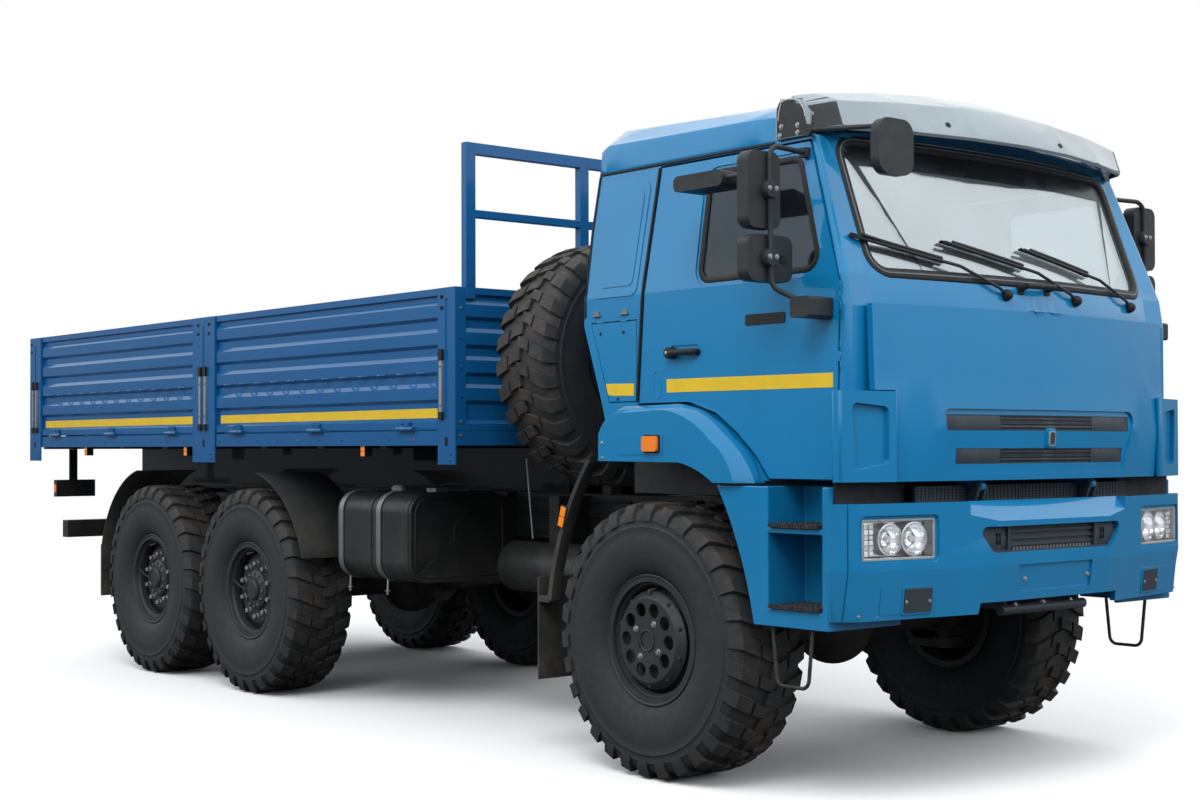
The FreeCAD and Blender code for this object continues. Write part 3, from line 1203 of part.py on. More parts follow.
def make_dropsides():
    bottom = FLOOR_TOP + PANEL_GAP
    outer = BED_HALF_WIDTH
    for name, (x0, x1) in zip(("front", "rear"), dropside_spans()):
        wall = prism_x(ribbed_outline(bottom, POST_TOP, outer, 1), x0 + PANEL_GAP, x1 - PANEL_GAP)
        knuckles = hinge_knuckles_x(x0, x1, outer + HINGE_OUT, bottom, outer - RIB_PROUD)
        left = fused([wall] + knuckles)
        node("dropside_%s_left" % name, left)
        node("dropside_%s_right" % name, mirrored(left))
    half = tailgate_half_width()
    outline = [(-a, b) for a, b in ribbed_outline(bottom, POST_TOP, -BED_REAR, 1)]
    shapes = [prism_y(outline, -half, half)]
    axis_x = BED_REAR - HINGE_OUT
    for share in TAILGATE_HINGE_SHARES:
        start = half * (share * 2 - 1) - HINGE_LENGTH / 2
        shapes.append(cylinder_y(HINGE_RADIUS, start, start + HINGE_LENGTH, axis_x, bottom))
        shapes.append(box(axis_x, BED_REAR + RIB_PROUD, start, start + HINGE_LENGTH,
                          bottom + HINGE_RADIUS * 0.2,
                          bottom + HINGE_RADIUS))
    node("tailgate", fused(shapes))


def make_headboard():
    """The ribbed front wall of the bed with the load rack above it."""
    half = BED_HALF_WIDTH - SILL_DEPTH - SEAT_GAP
    wall = prism_y(ribbed_outline(FLOOR_TOP - DECK_RISE + SEAT_GAP, POST_TOP, BED_FRONT, 1), -half, half)
    shapes = [wall]
    back = BED_FRONT - RIB_PROUD - PANEL_THICKNESS
    base = POST_TOP - RACK_TUBE
    for y in (half - RACK_TUBE, RACK_INNER_Y - RACK_TUBE / 2, -RACK_INNER_Y - RACK_TUBE / 2, -half):
        shapes.append(box(back, BED_FRONT, y, y + RACK_TUBE, base, RACK_TOP))
    shapes.append(box(back, BED_FRONT, -half, half, RACK_TOP - RACK_TUBE, RACK_TOP))
    bar_top = POST_TOP + (RACK_TOP - POST_TOP) * RACK_BAR_SHARE
    shapes.append(box(back, BED_FRONT, -half, half, bar_top - RACK_BAR_HEIGHT, bar_top))
    node("headboard", fused(shapes))


def make_lamps():
    """Headlamps, tail lamps and the amber side markers."""
    shapes = []
    head = box(BUMPER_REAR, BUMPER_NOSE, HEADLAMP_INNER + SEAT_GAP, HEADLAMP_OUTER - SEAT_GAP,
               HEADLAMP_BOTTOM + SEAT_GAP, HEADLAMP_TOP - SEAT_GAP)
    shapes.extend(both_sides(head.common(bumper_body(HEADLAMP_INSET))))
    lamp_x = BED_REAR + REAR_POST_WIDTH
    sill_bottom = FLOOR_TOP - SILL_HEIGHT
    tail = box(lamp_x - SILL_DEPTH, lamp_x, TANK_OUTER - SILL_DEPTH * 5, TANK_OUTER, TAIL_LAMP_BOTTOM,
               TAIL_LAMP_TOP)
    hanger = box(lamp_x - SILL_DEPTH, lamp_x - SILL_DEPTH * LAMP_HANGER_SHARE,
                 TANK_OUTER - SILL_DEPTH * 3, TANK_OUTER - SILL_DEPTH * 2,
                 TAIL_LAMP_TOP - POST_SKIN, sill_bottom - CROSSBEARER_DROP - SEAT_GAP)
    shapes.extend(both_sides(fused([tail, hanger])))
    for share in MARKER_SHARES:
        x = BED_REAR + (BED_FRONT - BED_REAR) * share - MARKER_LENGTH / 2
        marker = box(x, x + MARKER_LENGTH, BED_HALF_WIDTH - SILL_DEPTH, BED_HALF_WIDTH - POST_SKIN,
                     sill_bottom - SILL_DEPTH, sill_bottom - SEAT_GAP)
        shapes.extend(both_sides(marker))
    node("lamps", shapes)


# Cab

def cab_section(z, rear, nose, half_width, inset):
    """One level outline of the cab, bowed at the front, with all walls moved inwards by the inset."""
    w = half_width - inset
    back = rear + inset
    front = nose - inset
    cheek_x = front - FRONT_BULGE
    cheek_y = CHEEK_Y - inset
    corner_x = cheek_x + NOSE_CHEEK
    radius = NOSE_CORNER
    cut = radius * (1 - math.sqrt(0.5))
    half = [vec(cheek_x, cheek_y, z), vec(corner_x, w - radius, z), vec(corner_x - cut, w - cut, z),
            vec(corner_x - radius, w, z), vec(back, w, z)]
    other = [vec(p.x, -p.y, p.z) for p in half]
    edges = [Part.Arc(other[0], vec(front, 0, z), half[0]).toShape(),
             Part.LineSegment(half[0], half[1]).toShape(),
             Part.Arc(half[1], half[2], half[3]).toShape(),
             Part.LineSegment(half[3], half[4]).toShape(),
             Part.LineSegment(half[4], other[4]).toShape(),
             Part.LineSegment(other[4], other[3]).toShape(),
             Part.Arc(other[3], other[2], other[1]).toShape(),
             Part.LineSegment(other[1], other[0]).toShape()]
    return Part.Wire(edges)


def cab_levels():
    return [(CAB_BOTTOM, CAB_REAR_FOOT, NOSE_LOW, CAB_HALF_WIDTH),
            (CAB_LOW, CAB_REAR_LOW, NOSE_COWL, CAB_HALF_WIDTH),
            (CAB_WAIST, CAB_REAR_WAIST, NOSE_COWL, CAB_HALF_WIDTH),
            (WINDSHIELD_BOTTOM, CAB_REAR_WAIST, NOSE_GLASS, CAB_HALF_WIDTH),
            (ROOF_SEAM, CAB_REAR_TOP, NOSE_ROOF, CAB_ROOF_HALF_WIDTH)]


def cab_front_x(y, z):
    """Where the cab's front surface lies at a place across and up."""
    levels = cab_levels()
    for low, high in zip(levels, levels[1:]):
        if z <= high[0]:
            share = (z - low[0]) / (high[0] - low[0])
            nose = low[2] + (high[2] - low[2]) * share
            return nose - FRONT_BULGE * (y / CHEEK_Y) ** 2
    return levels[-1][2]


def cab_body(inset):
    sections = [cab_section(z, rear, nose, width, inset) for z, rear, nose, width in cab_levels()]
    return Part.makeLoft(sections, True, True)


def door_outline(grow):
    """The door seen from the side, moved outwards by the given amount; its foot follows the fender."""
    low = CAB_BOTTOM + SEAM_GAP - grow
    foot = CAB_BOTTOM - SEAM_GAP
    length = FENDER_FRONT - FENDER_REAR
    height = FENDER_TOP - foot
    points = [(DOOR_FRONT_LOW + grow, low), (DOOR_FRONT_BELT + grow, DOOR_BELT),
              (DOOR_FRONT_TOP + grow, DOOR_TOP + grow), (DOOR_REAR_TOP - grow, DOOR_TOP + grow),
              (DOOR_REAR_LOW - grow, FENDER_TOP + SEAM_GAP - grow)]
    for a, b in FENDER_UPPER_SHARES[3:7]:
        points.append((FENDER_REAR + length * a + SEAM_GAP - grow, foot + height * b + SEAM_GAP - grow))
    points.append((FENDER_FRONT + SEAM_GAP * 2 - grow, low))
    return points


def window_outline(shrink):
    """The window opening in a door, seen from the side."""
    low = DOOR_BELT + WINDOW_SILL + shrink
    high = DOOR_TOP - WINDOW_HEADER - shrink
    return [(DOOR_REAR_TOP + WINDOW_REAR_LOW + shrink, low), (DOOR_FRONT_BELT - WINDOW_PILLAR_LOW - shrink,
                                                              low),
            (DOOR_FRONT_TOP - WINDOW_PILLAR_TOP - shrink, high), (DOOR_REAR_TOP + WINDOW_REAR_TOP + shrink,
                                                                  high)]


def windshield_outline(grow):
    low = WINDSHIELD_BOTTOM + SEAM_GAP - grow
    high = ROOF_SEAM - SEAM_GAP + grow
    half_low = CHEEK_Y - WINDSHIELD_MARGIN_LOW + grow
    half_top = CHEEK_Y - WINDSHIELD_MARGIN_TOP + grow
    return [(-half_low, low), (half_low, low), (half_top, high), (-half_top, high)]


def locker_outline(grow):
    """The flap behind the door, tapering towards its foot."""
    front = DOOR_REAR_LOW - SEAM_GAP * 2 + grow
    low = CAB_LOW + SEAM_GAP - grow
    high = COWL_BOTTOM - SEAM_GAP + grow
    return [(front, low), (front, high), (CAB_REAR_WAIST + WALL - grow, high),
            (CAB_REAR_LOW + WALL - grow, low)]


def side_cut(outline, side, radius=0.0):
    inner = CAB_ROOF_HALF_WIDTH - WALL * 1.4
    outer = CAB_HALF_WIDTH + OVERRUN
    if side > 0:
        return prism_y(outline, inner, outer, radius)
    return prism_y(outline, -outer, -inner, radius)


def handle_outline():
    return rectangle(HANDLE_X - HANDLE_HALF_LENGTH, HANDLE_X + HANDLE_HALF_LENGTH,
                     HANDLE_Z - HANDLE_HALF_HEIGHT,
                     HANDLE_Z + HANDLE_HALF_HEIGHT)


def wheel_arch():
    """The room above the front wheels, cut from the cab's sides."""
    half = CAB_HALF_WIDTH + OVERRUN
    back = CAB_REAR_FOOT - OVERRUN
    low = CAB_BOTTOM - OVERRUN
    high = ARCH_FOOT * ARCH_RISE_SHARE
    outline = [(ARCH_FRONT, low), (ARCH_FRONT, ARCH_FOOT), (ARCH_FRONT * ARCH_SHOULDER_SHARE, high),
               (back, high), (back, low)]
    return prism_y(outline, -half, half)


def locker_pins(side):
    """Two short pins at the top edge of a locker flap."""
    pins = []
    front = DOOR_REAR_LOW - SEAM_GAP * 2
    for share in (0.25, 0.75):
        x = front + (CAB_REAR_WAIST + WALL - DOOR_REAR_LOW) * share - PIN_LENGTH / 2
        pins.append(cylinder_x(PIN_RADIUS, x, x + PIN_LENGTH, side * (CAB_HALF_WIDTH + DOOR_PIN_OUT),
                               COWL_BOTTOM - SEAM_GAP + PIN_OUT))
    return pins


def door_hinge_x():
    return DOOR_FRONT_BELT + DOOR_HINGE_OUT


def door_pins(side, moving):
    """Hidden door hinges in the seam at the front edge: the door's knuckle or the cab's two."""
    shapes = []
    face = CAB_HALF_WIDTH + DOOR_PIN_OUT
    low_y, high_y = side_pair(side, face, face - SEAM_GAP / 2)
    for share in DOOR_HINGE_SHARES:
        z = CAB_BOTTOM + (DOOR_BELT - CAB_BOTTOM) * share
        if moving:
            stretches = [(z, z + PIN_LENGTH)]
            ends = (DOOR_FRONT_LOW, door_hinge_x())
        else:
            stretches = [(z - PIN_LENGTH, z - SEAT_GAP), (z + PIN_LENGTH + SEAT_GAP, z + PIN_LENGTH * 2)]
            ends = (door_hinge_x(), DOOR_FRONT_BELT + SEAM_GAP * 2)
        for low, high in stretches:
            shapes.append(cylinder_z(PIN_RADIUS, low, high, door_hinge_x(), side * face))
            shapes.append(box(ends[0], ends[1], low_y, high_y, low, high))
    return shapes


def door_pin_notches(side):
    """Room in the cab's edge for the doors' moving hinge knuckles."""
    low, high = side_pair(side, CAB_HALF_WIDTH - SEAM_GAP / 2, CAB_HALF_WIDTH + SEAM_GAP)
    notches = []
    for share in DOOR_HINGE_SHARES:
        z = CAB_BOTTOM + (DOOR_BELT - CAB_BOTTOM) * share
        notches.append(box(DOOR_FRONT_LOW, door_hinge_x() + PIN_RADIUS + SEAT_GAP, low, high, z - SEAT_GAP,
                           z + PIN_LENGTH + SEAT_GAP))
    return notches


def tilt_lug():
    """The lug under the cab's front edge that turns on the tilt pin."""
    y0 = TILT_Y - TILT_LUG_THICKNESS / 2
    y1 = TILT_Y + TILT_LUG_THICKNESS / 2
    root = NOSE_LOW - FRONT_BULGE
    top = CAB_BOTTOM + SEAM_GAP
    arm = prism_y([(root, top), (NOSE_LOW - TILT_LUG_RADIUS, top), (TILT_X, TILT_Z + TILT_LUG_RADIUS),
                   (TILT_X, TILT_Z - TILT_LUG_RADIUS), (root, TILT_Z)], y0, y1)
    eye = cylinder_y(TILT_LUG_RADIUS, y0, y1, TILT_X, TILT_Z)
    bore = cylinder_y(TILT_PIN_RADIUS + HUB_BORE_CLEARANCE, y0 - OVERRUN, y1 + OVERRUN, TILT_X, TILT_Z)
    return fused([arm, eye]).cut(bore)


def panel_axis():
    """Where the front panel's hinge line lies, as (x, z)."""
    return NOSE_COWL + PANEL_FRONT_THICKNESS + SEAM_GAP + PIN_RADIUS, COWL_BOTTOM - SEAM_GAP + PIN_RADIUS


def panel_pins(moving):
    """Small hinges at the front panel's top edge: the panel's knuckles or the cab's arms beside them."""
    x, z = panel_axis()
    shapes = []
    for side in (-1, 1):
        y = side * PANEL_HINGE_Y
        if moving:
            shapes.append(cylinder_y(PIN_RADIUS, y - PIN_LENGTH / 2, y + PIN_LENGTH / 2, x, z))
            shapes.append(box(x - PIN_LENGTH / 2, x, y - PIN_LENGTH / 2, y + PIN_LENGTH / 2,
                              z - PIN_RADIUS * 4, z))
        else:
            for end in (-1, 1):
                start, stop = sorted((y + end * (PIN_LENGTH / 2 + SEAT_GAP), y + end * PIN_LENGTH))
                shapes.append(cylinder_y(PIN_RADIUS, start, stop, x, z))
                arm = box(NOSE_COWL - WALL, x, start, stop, z, z + PIN_RADIUS)
                shapes.append(arm)
    return shapes


def pressed(outline, side, radius):
    """What to cut from a cab side for a shallow pressing with the given outline."""
    return side_cut(outline, side, radius).cut(cab_body(PRESSING))


def make_cab_shell():
    outer = cab_body(0)
    inner = cab_body(WALL)
    half = CAB_HALF_WIDTH
    far = OVERRUN * 4
    room_low = ARCH_FOOT * ARCH_RISE_SHARE + CAB_FLOOR_THICKNESS
    room = inner.common(box(-far, far, -half, half, room_low, ROOF_SEAM + OVERRUN))
    foot_room = inner.common(box(ARCH_FRONT + CAB_FLOOR_THICKNESS, far, -half, half,
                                 CAB_BOTTOM + CAB_FLOOR_THICKNESS, ROOF_SEAM))
    shell = outer.cut([room, foot_room, wheel_arch()])
    for side in (-1, 1):
        shell = shell.cut([side_cut(door_outline(SEAM_GAP), side),
                           side_cut(locker_outline(SEAM_GAP / 2), side)])
    shell = shell.cut(prism_x(windshield_outline(0), OVERRUN, far, WINDSHIELD_CORNER))
    shell = shell.cut(door_pin_notches(-1) + door_pin_notches(1))
    arms = door_pins(-1, False) + door_pins(1, False) + panel_pins(False)
    node("cab_shell", fused([shell] + arms + both_sides(tilt_lug())))
    pane = cab_body(GLASS_INSET).cut(cab_body(GLASS_INSET + GLASS_THICKNESS))
    node("windshield", pane.common(prism_x(windshield_outline(-GLASS_FIT), OVERRUN, far,
                                           WINDSHIELD_CORNER)))
    panel_wall = outer.cut(inner)
    for side, name in ((-1, "right"), (1, "left")):
        door = panel_wall.common(side_cut(door_outline(0), side))
        door = door.cut([side_cut(window_outline(0), side, WINDOW_CORNER),
                         pressed(window_outline(-WINDOW_BEVEL), side, WINDOW_CORNER + WINDOW_BEVEL),
                         pressed(handle_outline(), side, HANDLE_HALF_HEIGHT * 0.9)])
        node("door_%s" % name, fused([door] + door_pins(side, True)))
        node("door_glass_%s" % name, pane.common(side_cut(window_outline(GLASS_FIT), side, WINDOW_CORNER)))
        skin = outer.cut(cab_body(FLAP_SKIN)).common(side_cut(locker_outline(0), side))
        core = outer.cut(cab_body(WALL / 2)).common(side_cut(locker_outline(-SEAM_GAP), side))
        node("locker_flap_%s" % name, fused([skin, core] + locker_pins(side)))


def roof_section(x, top, inset, narrow):
    """One crosswise outline of the roof cap: upright sides, a crease, a slope and a crowned top."""
    low = ROOF_SEAM + SEAT_GAP
    w = CAB_ROOF_HALF_WIDTH - inset - narrow
    crease = low + (top - low) * ROOF_CREASE_SHARE - inset * 0.4
    shoulder = top - ROOF_CROWN - inset
    half = [vec(x, w, low), vec(x, w - ROOF_LEAN, crease), vec(x, w - ROOF_SHOULDER, shoulder)]
    other = [vec(x, -p.y, p.z) for p in half]
    edges = [Part.LineSegment(other[0], other[1]).toShape(),
             Part.LineSegment(other[1], other[2]).toShape(),
             Part.Arc(other[2], vec(x, 0, top - inset), half[2]).toShape(),
             Part.LineSegment(half[2], half[1]).toShape(),
             Part.LineSegment(half[1], half[0]).toShape(),
             Part.LineSegment(half[0], other[0]).toShape()]
    return Part.Wire(edges)


def roof_stations():
    """Places along the roof cap: how far forward, how high in the middle, and how much narrower."""
    high_x = CAB_REAR_TOP + (NOSE_ROOF - CAB_REAR_TOP) * ROOF_HIGH_SHARE
    return [(CAB_REAR_TOP, ROOF_TOP_REAR - ROOF_REAR_DROP, 0.0),
            (CAB_REAR_TOP + ROOF_REAR_RUN, ROOF_TOP_REAR, 0.0),
            (high_x, ROOF_TOP_FRONT, 0.0),
            (NOSE_ROOF - ROOF_BROW_RUN, ROOF_TOP_BROW, ROOF_BROW_NARROW),
            (NOSE_ROOF - ROOF_NOSE_RUN, ROOF_SEAM + ROOF_NOSE_RISE, ROOF_NOSE_NARROW)]


def roof_top_at(x):
    stations = roof_stations()
    for low, high in zip(stations, stations[1:]):
        if x <= high[0]:
            return low[1] + (high[1] - low[1]) * (x - low[0]) / (high[0] - low[0])
    return stations[-1][1]


def roof_outer():
    return Part.makeLoft([roof_section(x, top, 0.0, narrow) for x, top, narrow in roof_stations()], True,
                         True)


def make_roof():
    inner_stations = roof_stations()
    first, last = inner_stations[0], inner_stations[-1]
    inner_stations[0] = (first[0] + ROOF_WALL, first[1], first[2])
    inner_stations[-1] = (last[0] - ROOF_WALL, last[1] + ROOF_WALL / 2, last[2])
    inner = Part.makeLoft([roof_section(x, top, ROOF_WALL, narrow) for x, top, narrow in inner_stations],
                          True, True)
    node("cab_roof", roof_outer().cut(inner))


def visor_section(y):
    """The visor's section at a place across: swept back and dropped towards its ends."""
    share = (y / VISOR_HALF_WIDTH) ** 2
    end = VISOR_END_SWEEP if share == 1.0 else 0.0
    top = vec(VISOR_TOP_X - VISOR_TOP_SWEEP * share - end / 2, y, VISOR_TOP_Z - VISOR_TOP_DROP * share)
    tip = vec(VISOR_TIP_X - VISOR_TIP_SWEEP * share - end, y, VISOR_TIP_Z - VISOR_TIP_DROP * share)
    belly = (top + tip) / 2 + vec(VISOR_BELLY, 0, VISOR_BELLY)
    drop = VISOR_SKIN * 1.4
    points = [top, belly, tip, tip - vec(VISOR_SKIN, 0, VISOR_SKIN), belly - vec(VISOR_SKIN, 0, drop),
              top - vec(0, 0, drop)]
    return Part.makePolygon(points + [points[0]])


def make_visor():
    shell = Part.makeLoft([visor_section(VISOR_HALF_WIDTH * share) for share in VISOR_SECTION_SHARES], True,
                          True)
    low = ROOF_SEAM + SEAT_GAP
    outline = [(VISOR_PLATE_REAR + VISOR_PLATE_LENGTH * a, low + VISOR_PLATE_HEIGHT * b)
               for a, b in VISOR_PLATE_SHARES]
    plate = prism_y(outline, CAB_ROOF_HALF_WIDTH - ROOF_WALL,
                    CAB_ROOF_HALF_WIDTH + VISOR_PLATE).cut(roof_outer())
    brackets = both_sides(max(plate.Solids, key=lambda solid: solid.BoundBox.YMax))
    node("sun_visor", fused([shell] + brackets))
    start = ROOF_LAMP_X - ROOF_LAMP_HALF_LENGTH
    end = ROOF_LAMP_X + ROOF_LAMP_HALF_LENGTH
    lamps = []
    for place in (-1, 0, 1):
        y = place * ROOF_LAMP_SPACING
        back = roof_top_at(start) + SEAT_GAP
        front = roof_top_at(end) + SEAT_GAP
        outline = [(start, back), (end, front), (end - RUNNING_GAP, front + ROOF_LAMP_HEIGHT * 0.85),
                   (ROOF_LAMP_X, front + ROOF_LAMP_HEIGHT), (start, back + ROOF_LAMP_HEIGHT * 0.6)]
        lamps.append(prism_y(outline, y - ROOF_LAMP_HALF_WIDTH, y + ROOF_LAMP_HALF_WIDTH))
    node("roof_lamps", lamps)


def bent_wire(points, bends):
    """A closed wire through the points; a point whose place is in bends lies halfway along an arc."""
    edges = []
    count = len(points)
    for i in range(count):
        after = (i + 1) % count
        if i in bends:
            continue
        if after in bends:
            edges.append(Part.Arc(points[i], points[after], points[(i + 2) % count]).toShape())
        else:
            edges.append(Part.LineSegment(points[i], points[after]).toShape())
    return Part.Wire(edges)


def fender_wire(y, upper_shares):
    """The fender's outline seen from the side, with the given upper edge."""
    foot = CAB_BOTTOM - SEAM_GAP
    length = FENDER_FRONT - FENDER_REAR
    height = FENDER_TOP - foot
    upper = [vec(FENDER_REAR + length * a, y, foot + height * b) for a, b in upper_shares]
    lower = [vec(FENDER_REAR + length * a, y, foot + height * b) for a, b in FENDER_ARCH_SHARES]
    return bent_wire(upper + lower, FENDER_BENDS)


def make_fenders():
    """The flares over the front wheels, each with its top edge chamfered outwards."""
    inner = CAB_HALF_WIDTH + SEAT_GAP
    shoulder = FENDER_OUTER - FENDER_CHAMFER
    wires = [fender_wire(inner, FENDER_UPPER_SHARES), fender_wire(shoulder, FENDER_UPPER_SHARES),
             fender_wire(FENDER_OUTER, FENDER_EDGE_SHARES)]
    node("fenders", both_sides(Part.makeLoft(wires, True, True)))


def panel_nose():
    return NOSE_COWL + PANEL_FRONT_THICKNESS + SEAM_GAP


def panel_skin(front, depth):
    """The front panel's bowed sheet, its face moved back by front, and as thick as depth."""
    nose = panel_nose() - front
    half = FRONT_PANEL_HALF_WIDTH
    wires = []
    for z, out in ((CAB_BOTTOM, PANEL_FOOT_OUT), (PANEL_CHIN_Z, PANEL_CHIN_OUT),
                   (PANEL_BROW_Z, PANEL_BROW_OUT),
                   (COWL_BOTTOM - SEAM_GAP, 0.0)):
        x = nose + out
        edge = x - FRONT_BULGE
        bow = Part.Arc(vec(edge, -half, z), vec(x, 0, z), vec(edge, half, z)).toShape()
        back = Part.Arc(vec(edge - depth, half, z), vec(x - depth, 0, z),
                        vec(edge - depth, -half, z)).toShape()
        wires.append(Part.Wire([bow, Part.LineSegment(vec(edge, half, z),
                                                      vec(edge - depth, half, z)).toShape(), back,
                                Part.LineSegment(vec(edge - depth, -half, z),
                                                 vec(edge, -half, z)).toShape()]))
    return Part.makeLoft(wires, True, True)


def ahead(outline, radius=0.0):
    """A (y, z) outline run through the whole front of the cab."""
    return prism_x(outline, OVERRUN * 2, OVERRUN * 4, radius)


def make_front_panel():
    """The lifting service panel in front, with its recessed grille and louvred inserts."""
    recess = ahead([(-GRILLE_TOP_HALF, GRILLE_TOP), (GRILLE_TOP_HALF, GRILLE_TOP),
                    (GRILLE_BOTTOM_HALF, GRILLE_BOTTOM),
                    (-GRILLE_BOTTOM_HALF, GRILLE_BOTTOM)], GRILLE_CORNER)
    cuts = [recess.cut(panel_skin(GRILLE_RECESS, PANEL_FRONT_THICKNESS))]
    slots = [(UPPER_SLOT_HALF, UPPER_SLOT_BOTTOM, UPPER_SLOT_TOP),
             (LOWER_SLOT_HALF, LOWER_SLOT_BOTTOM, LOWER_SLOT_TOP)]
    for half, low, high in slots:
        cuts.append(ahead(rectangle(-half, half, low, high)))
    cuts.extend(both_sides(box(OVERRUN, OVERRUN * 4, DEFLECTOR_INNER - SEAM_GAP / 2, CAB_HALF_WIDTH,
                               CAB_BOTTOM - OVERRUN, DEFLECTOR_TOP + SEAM_GAP / 2)))
    body = panel_skin(0.0, PANEL_FRONT_THICKNESS).cut(cuts)
    badge = ahead(rectangle(-BADGE_HALF_WIDTH, BADGE_HALF_WIDTH, BADGE_BOTTOM, BADGE_TOP),
                  BADGE_HALF_WIDTH / 2)
    badge = badge.common(panel_skin(RUNNING_GAP, GRILLE_SKIN))
    pads = []
    for side in (-1, 1):
        low, high = side_pair(side, PANEL_PAD_Y, PANEL_PAD_Y + PANEL_PAD_SIZE)
        pad = box(OVERRUN * 2, panel_nose() - FRONT_BULGE * 0.4, low, high, PANEL_PAD_Z,
                  PANEL_PAD_Z + PANEL_PAD_SIZE)
        pad = pad.cut(cab_body(-SEAT_GAP))
        pads.append(max(pad.Solids, key=lambda solid: solid.Volume))
    node("front_panel", fused([body, badge] + pads + panel_pins(True)))
    core = panel_skin(GRILLE_RECESS + RUNNING_GAP / 2, GRILLE_SKIN)
    bars = []
    for half, low, high in slots:
        bar = core.common(ahead(rectangle(SEAT_GAP - half, half - SEAT_GAP, low + SEAT_GAP,
                                          high - SEAT_GAP)))
        pitch = (high - low) / LOUVRE_COUNT
        gaps = []
        for i in range(LOUVRE_COUNT):
            start = low + pitch * (i + 0.3)
            gaps.append(ahead(rectangle(-LOUVRE_HALF_WIDTH, LOUVRE_HALF_WIDTH, start, start + pitch * 0.4)))
        bars.append(bar.cut(badge_room()).cut([gap.cut(panel_skin(GRILLE_RECESS + GRILLE_SKIN * 0.75,
                                                                  GRILLE_SKIN))
                                               for gap in gaps]))
    node("grille", bars)


def badge_room():
    """Room in the grille inserts for the badge block."""
    half = BADGE_HALF_WIDTH + SEAT_GAP
    return ahead(rectangle(-half, half, BADGE_BOTTOM - SEAT_GAP, BADGE_TOP + SEAT_GAP))


def make_corner_deflectors():
    """The air deflectors that widen the cab's lower front corners, with an open duct in each side."""
    rear = DOOR_FRONT_BELT + SEAM_GAP * 2
    side_front = DEFLECTOR_SIDE_FRONT
    inner_y = DEFLECTOR_INNER + SEAM_GAP / 2
    inner_front = panel_nose() - FRONT_BULGE * 0.4
    outline = [(rear, CAB_HALF_WIDTH - WALL), (rear, DEFLECTOR_OUTER), (side_front, DEFLECTOR_OUTER),
               (inner_front, inner_y), (inner_front - PANEL_FRONT_THICKNESS, inner_y)]
    block = prism_z(outline, CAB_BOTTOM, DEFLECTOR_TOP, NOSE_CORNER / 2)
    duct = prism_x(rectangle(CAB_HALF_WIDTH + SEAM_GAP, DEFLECTOR_OUTER - SEAM_GAP, CAB_BOTTOM + WALL,
                             DEFLECTOR_TOP - WALL), rear - OVERRUN, side_front - SEAM_GAP, SEAM_GAP * 2)
    face = [(x + DEFLECTOR_POCKET * (1 if y == inner_y else 0), y) for x, y in outline]
    margin = DEFLECTOR_MARGIN
    window = [(inner_y + margin, CAB_BOTTOM + margin * 1.6), (DEFLECTOR_OUTER - margin * 1.6,
                                                              CAB_BOTTOM + margin),
              (DEFLECTOR_OUTER - margin * 1.2, DEFLECTOR_TOP - margin), (inner_y + margin,
                                                                         DEFLECTOR_TOP - margin * 1.4)]
    sunk = prism_z([(x - DEFLECTOR_POCKET, y) for x, y in outline], CAB_BOTTOM, DEFLECTOR_TOP)
    pocket = prism_x(window, side_front - SEAM_GAP, OVERRUN * 4, margin / 2).cut(sunk)
    shape = block.cut([cab_body(-SEAT_GAP), duct, pocket])
    node("corner_deflectors", both_sides(max(shape.Solids, key=lambda solid: solid.Volume)))


def mirror_head(side, middle, half, bottom, top):
    """A mirror housing with rounded corners, facing back."""
    low, high = side_pair(side, middle - half, middle + half)
    return prism_x(rectangle(low, high, bottom, top), MIRROR_FACE_X - MIRROR_HALF_DEPTH,
                   MIRROR_FACE_X + MIRROR_HALF_DEPTH, MIRROR_CORNER)


